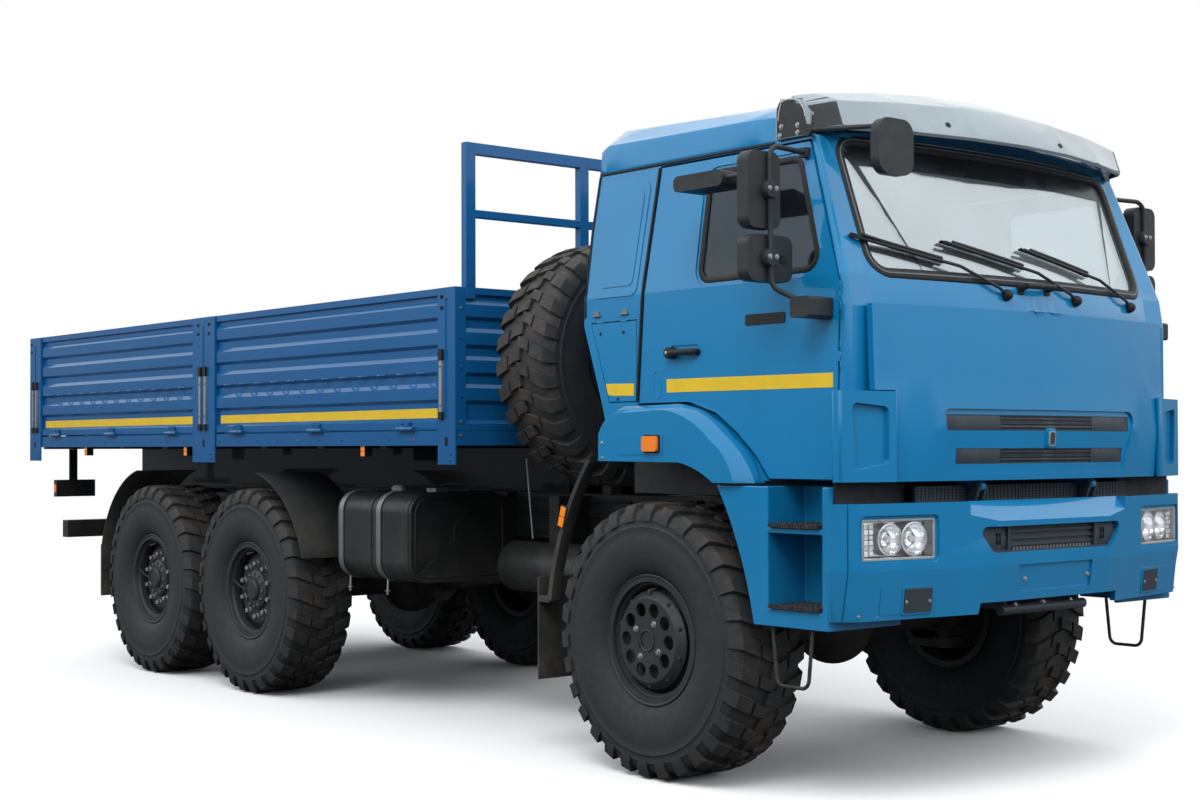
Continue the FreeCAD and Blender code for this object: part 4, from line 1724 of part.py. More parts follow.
def make_mirrors():
    """The door mirrors on their tube, with the kerb mirror over the right door's window."""
    for side, name in ((-1, "right"), (1, "left")):
        top = vec(MIRROR_FACE_X, side * (CAB_ROOF_HALF_WIDTH + MIRROR_CLAMP_HALF), MIRROR_TOP_Z)
        bend = vec(MIRROR_ARM_X, side * MIRROR_ARM_Y, MIRROR_TOP_Z)
        low_bend = vec(MIRROR_ARM_X + MIRROR_TUBE_RADIUS, side * MIRROR_ARM_Y,
                       MIRROR_FOOT_Z + MIRROR_TUBE_BEND)
        foot_end = vec(MIRROR_BRACKET_X - MIRROR_CLAMP_HALF,
                       side * (CAB_HALF_WIDTH + MIRROR_BRACKET_OUT * 0.7),
                       MIRROR_FOOT_Z)
        shapes = [tube_path([top, bend, low_bend, foot_end], MIRROR_TUBE_RADIUS, MIRROR_TUBE_BEND)]
        low, high = side_pair(side, CAB_HALF_WIDTH + SEAT_GAP, CAB_HALF_WIDTH + MIRROR_BRACKET_OUT)
        shapes.append(prism_y(rectangle(MIRROR_BRACKET_X - MIRROR_BRACKET_HALF_LENGTH,
                                        MIRROR_BRACKET_X + MIRROR_BRACKET_HALF_LENGTH, MIRROR_BRACKET_BOTTOM,
                                        MIRROR_BRACKET_TOP), low, high, MIRROR_CLAMP_HALF * 0.6))
        low, high = side_pair(side, CAB_ROOF_HALF_WIDTH - SEAM_GAP,
                              CAB_ROOF_HALF_WIDTH + MIRROR_CLAMP_HALF * 2)
        clamp = box(MIRROR_FACE_X - MIRROR_CLAMP_HALF, MIRROR_FACE_X + MIRROR_CLAMP_HALF, low, high,
                    MIRROR_TOP_Z - MIRROR_CLAMP_HALF, MIRROR_TOP_Z + MIRROR_CLAMP_HALF)
        shapes.append(clamp.cut(cab_body(-SEAT_GAP)))
        heads = [(MIRROR_Y, MIRROR_HALF_WIDTH, MAIN_MIRROR_BOTTOM, MAIN_MIRROR_TOP),
                 (LOW_MIRROR_Y, LOW_MIRROR_HALF_WIDTH, LOW_MIRROR_BOTTOM, LOW_MIRROR_TOP)]
        for middle, half, bottom, head_top in heads:
            shapes.append(mirror_head(side, middle, half, bottom, head_top))
            z = (bottom + head_top) / 2
            low, high = side_pair(side, MIRROR_ARM_Y - MIRROR_CLAMP_HALF, MIRROR_ARM_Y + MIRROR_CLAMP_HALF)
            shapes.append(box(MIRROR_FACE_X + MIRROR_HALF_DEPTH / 2, MIRROR_ARM_X + MIRROR_CLAMP_HALF, low,
                              high,
                              z - MIRROR_CLAMP_HALF, z + MIRROR_CLAMP_HALF))
        if side < 0:
            shapes.append(prism_y(rectangle(KERB_MIRROR_X - KERB_MIRROR_HALF_LENGTH,
                                            KERB_MIRROR_X + KERB_MIRROR_HALF_LENGTH,
                                            KERB_MIRROR_Z - KERB_MIRROR_HALF_HEIGHT,
                                            KERB_MIRROR_Z + KERB_MIRROR_HALF_HEIGHT), -KERB_MIRROR_OUTER,
                                  -KERB_MIRROR_INNER, KERB_MIRROR_HALF_HEIGHT * 0.8))
            shapes.append(rod(vec(KERB_MIRROR_X, -MIRROR_ARM_Y, KERB_MIRROR_Z),
                              vec(MIRROR_FACE_X, -MIRROR_ARM_Y, KERB_MIRROR_Z), MIRROR_TUBE_RADIUS))
        node("mirrors_%s" % name, fused(shapes))
    start = vec(FRONT_MIRROR_ROD_X, -CAB_ROOF_HALF_WIDTH - ROOF_WALL, FRONT_MIRROR_ROD_Z)
    end = vec(FRONT_MIRROR_X, -FRONT_MIRROR_Y, FRONT_MIRROR_Z + FRONT_MIRROR_HALF_HEIGHT * 0.8)
    outline = rectangle(-FRONT_MIRROR_Y - FRONT_MIRROR_HALF_WIDTH, -FRONT_MIRROR_Y + FRONT_MIRROR_HALF_WIDTH,
                        FRONT_MIRROR_Z - FRONT_MIRROR_HALF_HEIGHT,
                        FRONT_MIRROR_Z + FRONT_MIRROR_HALF_HEIGHT)
    head = prism_x(outline, FRONT_MIRROR_X - FRONT_MIRROR_HALF_DEPTH,
                   FRONT_MIRROR_X + FRONT_MIRROR_HALF_DEPTH,
                   FRONT_MIRROR_HALF_WIDTH * MIRROR_CORNER_SHARE)
    foot_y = -CAB_ROOF_HALF_WIDTH - VISOR_PLATE - SEAT_GAP
    foot = cylinder_y(FRONT_MIRROR_FOOT_RADIUS, foot_y - MIRROR_CLAMP_HALF, foot_y, start.x, start.z)
    node("front_mirror", fused([rod(start, end, FRONT_MIRROR_ROD_RADIUS), head, foot]))


def make_wipers():
    """Three wiper arms with their blades, lying just in front of the windscreen."""
    shapes = []
    for place in (-1, 0, 1):
        y = WIPER_MIDDLE_Y + place * WIPER_SPACING
        route = [(0.0, WIPER_Z, WIPER_RADIUS + SEAT_GAP),
                 (WIPER_REACH * 0.07, WIPER_Z + WIPER_RISE * 0.12, WIPER_OUT),
                 (WIPER_REACH * 0.33, WIPER_Z + WIPER_RISE * 0.52, WIPER_OUT),
                 (WIPER_REACH, WIPER_Z + WIPER_RISE, WIPER_OUT)]
        points = [vec(cab_front_x(y - across, z) + out, y - across, z) for across, z, out in route]
        shapes.append(tube_path(points, WIPER_RADIUS, WIPER_BEND))
    node("wipers", shapes)


def make_interior():
    """Dashboard with its steering wheel, and the two seats."""
    floor = ARCH_FOOT * ARCH_RISE_SHARE + CAB_FLOOR_THICKNESS
    low = CAB_WAIST - DASH_DEPTH
    high = CAB_WAIST + DASH_RISE
    dash = prism_y([(DASH_REAR, low), (DASH_FRONT, low), (DASH_FRONT, high), (DASH_REAR + DASH_RISE, high),
                    (DASH_REAR, CAB_WAIST)], -DASH_HALF_WIDTH, DASH_HALF_WIDTH, WIPER_BEND)
    dash = dash.common(cab_body(WALL + SEAT_GAP))
    hub = vec(STEERING_X, STEERING_Y, STEERING_Z)
    run = vec(-STEERING_COLUMN_RUN, 0, STEERING_COLUMN_DROP)
    column = rod(hub - run, hub, STEERING_COLUMN_RADIUS)
    ring = Part.makeTorus(STEERING_WHEEL_RADIUS, STEERING_RIM_RADIUS, hub, run)
    up = vec(STEERING_COLUMN_DROP, 0, STEERING_COLUMN_RUN).normalize() * STEERING_WHEEL_RADIUS
    across = vec(0, STEERING_WHEEL_RADIUS, 0)
    spokes = [rod(hub - arm, hub + arm, STEERING_RIM_RADIUS * 0.8) for arm in (up, across)]
    node("dashboard", fused([dash, column, ring] + spokes))
    seats = []
    front = SEAT_REAR + SEAT_LENGTH
    cushion_low = floor + SEAT_BASE_HEIGHT
    cushion_top = cushion_low + SEAT_CUSHION
    for y in (SEAT_RIGHT_Y, SEAT_LEFT_Y):
        half = SEAT_HALF_WIDTH
        base = box(SEAT_REAR + SEAT_CORNER, front - SEAT_CORNER, y - half * 0.84, y + half * 0.84,
                   floor + SEAT_GAP,
                   cushion_low + SEAT_CORNER / 2)
        cushion = prism_x(rectangle(y - half, y + half, cushion_low, cushion_top), SEAT_REAR, front,
                          SEAT_CORNER)
        back = prism_y([(SEAT_REAR, cushion_top - SEAT_CORNER),
                        (SEAT_REAR + SEAT_BACK_THICKNESS, cushion_top - SEAT_CORNER),
                        (SEAT_REAR + SEAT_BACK_THICKNESS - SEAT_BACK_RAKE, cushion_top + SEAT_BACK_HEIGHT),
                        (SEAT_REAR - SEAT_BACK_RAKE,
                         cushion_top + SEAT_BACK_HEIGHT)], y - half * 0.96, y + half * 0.96,
                       SEAT_CORNER * 0.8)
        seats.append(fused([base, cushion, back]))
    node("seats", seats)


# Bumper and steps

def bumper_wire(z, inset, rear):
    """The bumper's outline from above, with its walls moved inwards by the inset."""
    depth = BUMPER_NOSE - BUMPER_REAR
    end = BUMPER_HALF_WIDTH - inset
    half = [vec(rear, end, z), vec(BUMPER_REAR + depth * BUMPER_END_SHARE - inset, end, z)]
    for across, out in BUMPER_OUTLINE_SHARES:
        half.append(vec(BUMPER_REAR + depth * out - inset, BUMPER_HALF_WIDTH * across, z))
    points = half + [vec(p.x, -p.y, p.z) for p in reversed(half)]
    return Part.makePolygon(points + [points[0]])


def bumper_body(inset):
    """The bumper as a block with its walls moved inwards, tucked in below and with a sloping brow."""
    rear = BUMPER_REAR - (OVERRUN if inset else 0.0)
    levels = [(BUMPER_BOTTOM, BUMPER_TUCK + inset), (BUMPER_LINE_Z, inset), (BUMPER_TOP, inset)]
    block = Part.makeLoft([bumper_wire(z, step, rear) for z, step in levels], True, True)
    nose = BUMPER_NOSE - inset
    top = BUMPER_TOP
    slope = BUMPER_BROW_SETBACK / BUMPER_BROW_DROP
    low = top - BUMPER_BROW_DROP
    brow = prism_y([(nose, low), (nose + OVERRUN, low), (nose + OVERRUN, top + OVERRUN),
                    (nose - BUMPER_BROW_SETBACK - OVERRUN * slope, top + OVERRUN)],
                   -BUMPER_MIDDLE_HALF - inset, BUMPER_MIDDLE_HALF + inset)
    return block.cut(brow)


def bumper_pocket(y0, y1, z0, z1, depth, radius=0.0):
    """What to cut from the bumper's face for a pocket of even depth."""
    block = prism_x(rectangle(y0, y1, z0, z1), BUMPER_REAR, BUMPER_NOSE + OVERRUN, radius)
    return block.cut(bumper_body(depth))


def make_bumper():
    """The bumper shell with its air slot, lamp recesses, plate recess and fog lamp blanks."""
    rear = BUMPER_REAR - OVERRUN
    nose = BUMPER_NOSE + OVERRUN
    hollow = bumper_body(BUMPER_WALL)
    lid = box(rear - OVERRUN, nose, -BUMPER_HALF_WIDTH, BUMPER_HALF_WIDTH, BUMPER_TOP - BUMPER_WALL,
              BUMPER_TOP + OVERRUN)
    shell = bumper_body(0.0).cut(hollow.cut(lid))
    chin = prism_x([(-BUMPER_MIDDLE_HALF, BUMPER_BOTTOM - OVERRUN),
                    (BUMPER_MIDDLE_HALF, BUMPER_BOTTOM - OVERRUN),
                    (BUMPER_MIDDLE_HALF - BUMPER_TUCK * 3, BUMPER_MIDDLE_BOTTOM),
                    (BUMPER_TUCK * 3 - BUMPER_MIDDLE_HALF, BUMPER_MIDDLE_BOTTOM)], rear, nose)
    slot = prism_x([(-SLOT_TOP_HALF, SLOT_TOP), (SLOT_TOP_HALF, SLOT_TOP), (SLOT_BOTTOM_HALF, SLOT_BOTTOM),
                    (-SLOT_BOTTOM_HALF, SLOT_BOTTOM)], rear, nose, SLOT_CORNER)
    cuts = [chin, slot, bumper_pocket(-PLATE_HALF_WIDTH, PLATE_HALF_WIDTH, PLATE_BOTTOM, PLATE_TOP,
                                      POCKET_DEPTH)]
    ear_out = TILT_LUG_THICKNESS / 2 + TILT_EAR_THICKNESS + RUNNING_GAP
    margin = POCKET_MARGIN
    for cut in (bumper_pocket(FOG_INNER, FOG_OUTER, FOG_BOTTOM, FOG_TOP, POCKET_DEPTH, margin),
                bumper_pocket(HEADLAMP_INNER - margin, HEADLAMP_OUTER + margin, HEADLAMP_BOTTOM - margin,
                              HEADLAMP_TOP + margin, POCKET_DEPTH, margin * 2),
                bumper_pocket(BUMPER_SEAM_Y, BUMPER_SEAM_Y + RUNNING_GAP, BUMPER_BOTTOM - OVERRUN,
                              BUMPER_TOP + OVERRUN, RUNNING_GAP),
                box(rear, nose, HEADLAMP_INNER, HEADLAMP_OUTER, HEADLAMP_BOTTOM, HEADLAMP_TOP),
                box(rear, TILT_X + TILT_LUG_RADIUS + RUNNING_GAP, TILT_Y - ear_out, TILT_Y + ear_out,
                    BUMPER_TOP - BUMPER_WALL - SEAM_GAP, BUMPER_TOP + OVERRUN)):
        cuts.extend(both_sides(cut))
    node("bumper", shell.cut(cuts))


def tilt_ears():
    """The fixed ears and pin that the cab's lug turns on, left side."""
    foot = FRAME_FRONT + SEAM_GAP
    shapes = []
    for offset in (-TILT_LUG_THICKNESS / 2 - SEAT_GAP - TILT_EAR_THICKNESS,
                   TILT_LUG_THICKNESS / 2 + SEAT_GAP):
        y = TILT_Y + offset
        outline = [(foot, BEAM_TOP - STUB_WIDTH), (BEAM_FRONT, BEAM_TOP - STUB_WIDTH),
                   (TILT_X + TILT_LUG_RADIUS, TILT_Z), (TILT_X, TILT_Z + TILT_LUG_RADIUS),
                   (TILT_X - TILT_LUG_RADIUS, TILT_Z), (foot, BEAM_TOP + STUB_WIDTH)]
        shapes.append(prism_y(outline, y, y + TILT_EAR_THICKNESS))
    shapes.append(cylinder_y(TILT_PIN_RADIUS, TILT_Y - TILT_LUG_THICKNESS, TILT_Y + TILT_LUG_THICKNESS,
                             TILT_X, TILT_Z))
    return shapes


def make_bumper_beam():
    """The front crossbeam with the bumper's stubs, intake grille, mesh screen, low tube and tilt ears."""
    beam = box(FRAME_FRONT + SEAT_GAP, BEAM_FRONT, -BEAM_HALF_WIDTH, BEAM_HALF_WIDTH, BEAM_BOTTOM, BEAM_TOP)
    reach = bumper_body(BUMPER_WALL + SEAT_GAP)
    shapes = [beam]
    stub = box(BEAM_FRONT - STUB_WIDTH, BUMPER_NOSE, STUB_Y, STUB_Y + STUB_WIDTH, BEAM_BOTTOM + STUB_WIDTH,
               BEAM_TOP)
    shapes.extend(both_sides(stub.common(reach)))
    insert = box(BEAM_FRONT, BUMPER_NOSE, -SLOT_TOP_HALF - STUB_WIDTH / 2, SLOT_TOP_HALF + STUB_WIDTH / 2,
                 SLOT_BOTTOM - STUB_WIDTH, SLOT_TOP + RUNNING_GAP)
    insert = insert.common(reach).cut(bumper_body(BUMPER_WALL * 2))
    pitch = (SLOT_TOP - SLOT_BOTTOM) / INTAKE_BAR_COUNT
    for i in range(INTAKE_BAR_COUNT):
        low = SLOT_BOTTOM + pitch * (i + 0.3)
        groove = box(BEAM_FRONT, BUMPER_NOSE, -SLOT_BOTTOM_HALF, SLOT_BOTTOM_HALF, low, low + pitch * 0.55)
        insert = insert.cut(groove.cut(bumper_body(BUMPER_WALL + SEAM_GAP)))
    shapes.append(insert)
    for side in (-1, 1):
        low, high = side_pair(side, SLOT_BOTTOM_HALF, SLOT_BOTTOM_HALF + STUB_WIDTH)
        shapes.append(box(BEAM_FRONT - STUB_WIDTH, BUMPER_NOSE, low, high, BEAM_BOTTOM + SEAM_GAP,
                          BEAM_BOTTOM + STUB_WIDTH).common(bumper_body(BUMPER_WALL * 1.5)))
        low, high = side_pair(side, TIE_Y, TIE_Y + TIE_WIDTH)
        shapes.append(box(BEAM_FRONT - STUB_WIDTH, LOW_TUBE_X, low, high, LOW_TUBE_Z,
                          BEAM_BOTTOM + SEAM_GAP))
    shapes.append(cylinder_y(LOW_TUBE_RADIUS, -LOW_TUBE_HALF_LENGTH, LOW_TUBE_HALF_LENGTH, LOW_TUBE_X,
                             LOW_TUBE_Z))
    mesh = box(BEAM_FRONT, BEAM_FRONT + MESH_THICKNESS, -MESH_HALF_WIDTH, MESH_HALF_WIDTH,
               BUMPER_TOP + SEAT_GAP,
               MESH_TOP)
    lug_half = TILT_LUG_THICKNESS / 2 + RUNNING_GAP
    room = box(BEAM_FRONT - SEAM_GAP, BEAM_FRONT + MESH_THICKNESS * 2, TILT_Y - lug_half, TILT_Y + lug_half,
               TILT_Z - TILT_LUG_RADIUS - RUNNING_GAP, TILT_Z + OVERRUN)
    shapes.append(mesh.cut(both_sides(room)))
    for shape in tilt_ears():
        shapes.extend(both_sides(shape))
    node("bumper_beam", fused(shapes))


def make_steps():
    """The step housings ahead of the front wheels, their treads and the hanging stirrups."""
    face = BUMPER_REAR - SEAM_GAP / 2
    y = STEP_INNER
    middle = vec((STEP_REAR_LOW + STEP_REAR_TOP) / 2 + SEAM_GAP * 3, y, (STEP_BOTTOM + STEP_TOP) / 2)
    corners = [vec(STEP_REAR_LOW, y, STEP_BOTTOM), vec(face, y, STEP_BOTTOM), vec(face, y, STEP_TOP),
               vec(STEP_REAR_TOP, y, STEP_TOP)]
    edges = [Part.LineSegment(a, b).toShape() for a, b in zip(corners, corners[1:])]
    edges.append(Part.Arc(corners[3], middle, corners[0]).toShape())
    block = Part.Face(Part.Wire(edges)).extrude(vec(0, STEP_OUTER - STEP_INNER, 0))
    outside = STEP_OUTER + OVERRUN
    high = STEP_TOP + OVERRUN
    low = STEP_BOTTOM - OVERRUN
    cuts = [box(STEP_POCKET_REAR, STEP_POCKET_FRONT, STEP_POCKET_INNER, outside, LOWER_TREAD_Z,
                UPPER_TREAD_Z - STEP_WALL),
            box(STEP_POCKET_REAR, STEP_POCKET_FRONT, STEP_POCKET_INNER, outside, UPPER_TREAD_Z, high),
            box(STEP_REAR_LOW + STEP_WALL, BUMPER_REAR - STEP_WALL, STEP_INNER - OVERRUN,
                STEP_POCKET_INNER - STEP_WALL, low, STEP_TOP - STEP_WALL),
            cylinder_z(STEER_ROOM_RADIUS, low, high, 0, KINGPIN_HALF_TRACK).common(
                box(0, OVERRUN * 2, 0, STEP_POCKET_INNER + SEAM_GAP * 10, low, high))]
    arm = box(STEP_ARM_X, STEP_ARM_X + STEP_ARM_LENGTH, RAIL_HALF_WIDTH + SEAT_GAP,
              STEP_POCKET_INNER - STEP_WALL / 2, FRAME_TOP - STEP_ARM_LENGTH, FRAME_TOP)
    node("cab_steps", both_sides(fused([block.cut(cuts), arm])))
    shapes = []
    rear = STEP_POCKET_REAR + SEAM_GAP
    front = STEP_POCKET_FRONT - SEAM_GAP
    inner = STEP_POCKET_INNER + SEAM_GAP
    outer = STEP_OUTER + TREAD_OUT
    pitch = (outer - inner) / TREAD_SLOT_COUNT
    for z in (LOWER_TREAD_Z + SEAT_GAP, UPPER_TREAD_Z + SEAT_GAP):
        top = z + TREAD_THICKNESS
        tread = box(rear, front, inner, outer, z, top)
        slots = [box(rear + SEAM_GAP, front - SEAM_GAP, inner + pitch * (i + 0.35),
                     inner + pitch * (i + 0.8),
                     top - TREAD_THICKNESS / 2, top + SEAM_GAP) for i in range(TREAD_SLOT_COUNT)]
        shapes.extend(both_sides(tread.cut(slots)))
    end_z = STEP_BOTTOM - SEAT_GAP * 4
    front_x = STIRRUP_REAR + STIRRUP_LENGTH
    loop = tube_path([vec(STIRRUP_REAR, STIRRUP_Y, end_z), vec(STIRRUP_REAR + STIRRUP_LEAN, STIRRUP_Y,
                                                               STIRRUP_BOTTOM),
                      vec(front_x - STIRRUP_LEAN, STIRRUP_Y, STIRRUP_BOTTOM), vec(front_x, STIRRUP_Y,
                                                                                  end_z)],
                     STIRRUP_RADIUS, STIRRUP_BEND)
    shapes.extend(both_sides(loop))
    node("step_treads", shapes)


def export_all():
    """Writes each node, moved so that the origin lies under the middle of the truck."""
    os.makedirs("parts", exist_ok=True)
    whole = Part.makeCompound(list(pieces.values())).BoundBox
    shift = vec(-whole.Center.x, -whole.Center.y, -whole.ZMin)
    print("shift", shift, whole)
    for name, shape in pieces.items():
        copy = shape.copy()
        copy.translate(shift)
        copy.exportStep("parts/%s.step" % name)
    print(len(pieces), "nodes")


make_wheels()
make_knuckles()
make_front_suspension()
make_rear_suspension()
make_frame()
make_drive_line()
make_side_equipment()
make_spare_carrier()
make_rear_mudguards()
make_front_mudguards()
make_bed_floor()
make_bed_posts()
make_dropsides()
make_headboard()
make_lamps()
make_cab_shell()
make_roof()
make_visor()
make_fenders()
make_front_panel()
make_corner_deflectors()
make_mirrors()
make_wipers()
make_interior()
make_bumper()
make_bumper_beam()
make_steps()
export_all()
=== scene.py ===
import math

import bmesh
import bpy
from mathutils import Matrix, Vector
from mathutils.bvhtree import BVHTree


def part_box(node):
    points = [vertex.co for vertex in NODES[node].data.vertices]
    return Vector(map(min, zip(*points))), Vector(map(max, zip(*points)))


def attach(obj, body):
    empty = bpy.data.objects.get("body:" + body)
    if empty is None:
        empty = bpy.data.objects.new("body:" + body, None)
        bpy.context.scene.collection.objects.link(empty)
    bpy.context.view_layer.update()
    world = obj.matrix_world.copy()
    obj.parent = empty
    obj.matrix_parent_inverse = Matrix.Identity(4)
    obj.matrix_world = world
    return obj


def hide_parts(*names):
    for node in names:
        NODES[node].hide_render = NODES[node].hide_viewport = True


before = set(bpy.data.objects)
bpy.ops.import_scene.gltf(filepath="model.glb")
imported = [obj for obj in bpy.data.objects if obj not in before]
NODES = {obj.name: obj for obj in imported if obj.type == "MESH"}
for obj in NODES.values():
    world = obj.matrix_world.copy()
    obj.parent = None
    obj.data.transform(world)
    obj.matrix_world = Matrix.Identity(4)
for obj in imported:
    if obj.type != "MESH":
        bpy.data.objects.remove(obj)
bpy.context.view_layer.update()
SIDES = (("right", -1), ("left", 1))
WHEEL_ROWS = ("front", "middle", "rear")
ORIGIN = Vector((0, 0, 0))
FORWARD = Vector((1, 0, 0))
LEFT = Vector((0, 1, 0))
UP = Vector((0, 0, 1))

# Places are measured from the middle of the front axle on the ground, as in the part's source.
FRONT_AXLE_X = ((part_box("rim_front_left")[0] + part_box("rim_front_left")[1]) / 2).x

# Camera, as solved from the photograph
CAMERA_FROM_AXLE = Vector((5.916, -6.449, 1.487))
CAMERA_YAW = math.radians(140.023)
CAMERA_PITCH = math.radians(0.811)
CAMERA_ROLL = math.radians(-0.148)
CAMERA_SENSOR = 36.0
CAMERA_LENS = 52.78
CAMERA_SHIFT_Y = 0.0189

# Tyre
LUGS_PER_SIDE = 30
TYRE_SEGMENTS = 120
TREAD_BASE = 0.597
TREAD_TOP = 0.6215
ROLL_BETWEEN_TYRES = math.radians(17.0)


def at(x, y, z):
    """A place measured from the front axle, in the row frame."""
    return Vector((x + FRONT_AXLE_X, y, z))


# Shader helpers

class Nodes:
    """A node tree with short ways to add nodes."""

    def __init__(self, tree):
        self.tree = tree

    def add(self, kind, **settings):
        made = self.tree.nodes.new(kind)
        for key, value in settings.items():
            setattr(made, key, value)
        return made

    def link(self, source, target):
        self.tree.links.new(source, target)

    def coords(self, output="Object"):
        return self.add("ShaderNodeTexCoord").outputs[output]

    def split(self, output="Object"):
        """The coordinates as three numbers."""
        made = self.add("ShaderNodeSeparateXYZ")
        self.link(self.coords(output), made.inputs[0])
        return made.outputs

    def noise(self, scale, detail=4.0, rough=0.6):
        made = self.add("ShaderNodeTexNoise")
        made.inputs["Scale"].default_value = scale
        made.inputs["Detail"].default_value = detail
        made.inputs["Roughness"].default_value = rough
        self.link(self.coords(), made.inputs["Vector"])
        return made.outputs["Fac"]

    def ramp(self, value, stops):
        made = self.add("ShaderNodeValToRGB")
        elements = made.color_ramp.elements
        while len(elements) > len(stops):
            elements.remove(elements[-1])
        while len(elements) < len(stops):
            elements.new(1.0)
        for element, (place, colour) in zip(elements, stops):
            element.position = place
            element.color = (colour, colour, colour, 1.0) if isinstance(colour, float) else (*colour, 1.0)
        self.link(value, made.inputs["Fac"])
        return made.outputs["Color"]

    def fade(self, value, start, end, low=0.0, high=1.0, **settings):
        """A number that goes from low to high while the value goes from start to end."""
        made = self.add("ShaderNodeMapRange", **settings)
        for key, number in (("From Min", start), ("From Max", end), ("To Min", low), ("To Max", high)):
            made.inputs[key].default_value = number
        self.link(value, made.inputs["Value"])
        return made.outputs["Result"]

    def math(self, operation, *values):
        made = self.add("ShaderNodeMath", operation=operation)
        for socket, value in zip(made.inputs, values):
            if isinstance(value, (int, float)):
                socket.default_value = value
            else:
                self.link(value, socket)
        return made.outputs["Value"]

    def reach(self, first, second):
        """The length of the two numbers taken as the sides of a right angle."""
        squares = [self.math("POWER", value, 2.0) for value in (first, second)]
        return self.math("SQRT", self.math("ADD", *squares))

    def blend(self, share, first, second):
        made = self.add("ShaderNodeMix", data_type="RGBA")
        self.link(share, made.inputs["Factor"])
        for key, value in ((6, first), (7, second)):
            if isinstance(value, tuple):
                made.inputs[key].default_value = (*value, 1.0)
            else:
                self.link(value, made.inputs[key])
        return made.outputs[2]

    def one_of(self, share, first, second):
        """Mixes two shaders."""
        made = self.add("ShaderNodeMixShader")
        for socket, source in zip(made.inputs, (share, first, second)):
            self.link(source, socket)
        return made.outputs[0]

    def seen_directly(self):
        """1 for rays that come from the camera or through glass, else 0."""
        path = self.add("ShaderNodeLightPath").outputs
        return self.math("MAXIMUM", path["Is Camera Ray"], path["Is Transmission Ray"])


class Shader(Nodes):
    """The nodes of a new material, round its principled shader."""

    def __init__(self, name):
        self.material = bpy.data.materials.new(name)
        self.material.use_nodes = True
        super().__init__(self.material.node_tree)
        self.bsdf = self.tree.nodes["Principled BSDF"]

    def feed(self, source, key):
        self.link(source, self.bsdf.inputs[key])

    def surface(self, source):
        self.link(source, self.tree.nodes["Material Output"].inputs["Surface"])

    def bump(self, height, strength, distance):
        made = self.add("ShaderNodeBump")
        made.inputs["Strength"].default_value = strength
        made.inputs["Distance"].default_value = distance
        self.link(height, made.inputs["Height"])
        self.feed(made.outputs["Normal"], "Normal")

    def set(self, **values):
        for key, value in values.items():
            self.bsdf.inputs[key.replace("_", " ")].default_value = value


def scaled(colour, share):
    """A darker colour."""
    return tuple(c * share for c in colour)


def dusty(shader, colour, dust_colour, low, high, amount):
    """Mixes road dust into a colour, more of it near the ground, from height low up to high."""
    fade = shader.fade(shader.split()["Z"], high, low, 0.0, amount)
    patches = shader.ramp(shader.noise(6.0, 8.0, 0.7), [(0.35, 0.1), (0.75, 1.0)])
    return shader.blend(shader.math("MULTIPLY", fade, patches), colour, dust_colour)


def paint(name, colour, rough=0.34, coat=1.0, dust=0.10, below=None):
    """Gloss vehicle paint with a faint orange peel and a little dust low down.

    Below, when given, is a height and the colour under it.
    """
    shader = Shader(name)
    varied = shader.blend(shader.noise(2.2, 3.0), scaled(colour, 0.84), colour)
    look = dusty(shader, varied, (0.10, 0.11, 0.11), 0.6, 1.7, dust)
    if below is not None:
        height, low_colour = below
        look = shader.blend(shader.math("GREATER_THAN", shader.split()["Z"], height), low_colour, look)
    shader.feed(look, "Base Color")
    shader.feed(shader.ramp(shader.noise(9.0, 6.0), [(0.3, rough * 0.9), (0.8, rough * 1.2)]), "Roughness")
    shader.set(Coat_Weight=coat, Coat_Roughness=0.04, Specular_IOR_Level=0.12)
    shader.bump(shader.noise(240.0, 2.0), 0.08, 0.0004)
    return shader.material


def plain(name, colour, rough, metallic=0.0, grain=900.0, grain_depth=0.0004, dust=0.35, coat=0.0):
    """Satin black steel, moulded plastic or bare metal, with fine grain, smudges and dust."""
    shader = Shader(name)
    varied = shader.blend(shader.noise(14.0, 6.0), scaled(colour, 0.7), colour)
    shader.feed(dusty(shader, varied, (0.13, 0.115, 0.095), 0.4, 1.5, dust), "Base Color")
    smudges = [(0.3, rough * 0.8), (0.75, min(1.0, rough * 1.3))]
    shader.feed(shader.ramp(shader.noise(20.0, 8.0, 0.7), smudges), "Roughness")
    shader.set(Metallic=metallic, Coat_Weight=coat)
    shader.bump(shader.noise(grain, 3.0), 0.35, grain_depth)
    return shader.material


def tyre_rubber(name):
    """Worn rubber: dark, matt, with brown dust caught on the tread and faint scuffs on the sidewall."""
    shader = Shader(name)
    place = shader.split()
    tread = shader.fade(shader.reach(place["X"], place["Z"]), 0.53, 0.62)
    rubber = shader.blend(shader.noise(18.0, 8.0, 0.7), (0.011, 0.013, 0.015), (0.026, 0.029, 0.032))
    patches = shader.ramp(shader.noise(7.0, 8.0, 0.75), [(0.42, 0.0), (0.72, 0.75)])
    soiled = shader.blend(shader.math("MULTIPLY", tread, patches), rubber, (0.085, 0.062, 0.045))
    scuffs = shader.ramp(shader.noise(60.0, 10.0, 0.8), [(0.66, 0.0), (0.78, 0.35)])
    shader.feed(shader.blend(scuffs, soiled, (0.11, 0.11, 0.11)), "Base Color")
    shader.feed(shader.ramp(shader.noise(30.0, 6.0), [(0.3, 0.55), (0.8, 0.85)]), "Roughness")
    shader.bump(shader.noise(220.0, 6.0, 0.7), 0.5, 0.0012)
    return shader.material


def clear_glass(name, tint, rough=0.02):
    shader = Shader(name)
    shader.feed(shader.ramp(shader.noise(5.0, 6.0), [(0.4, rough), (0.8, rough * 3.0)]), "Roughness")
    shader.set(Base_Color=(*tint, 1.0), Transmission_Weight=1.0, IOR=1.45)
    return shader.material


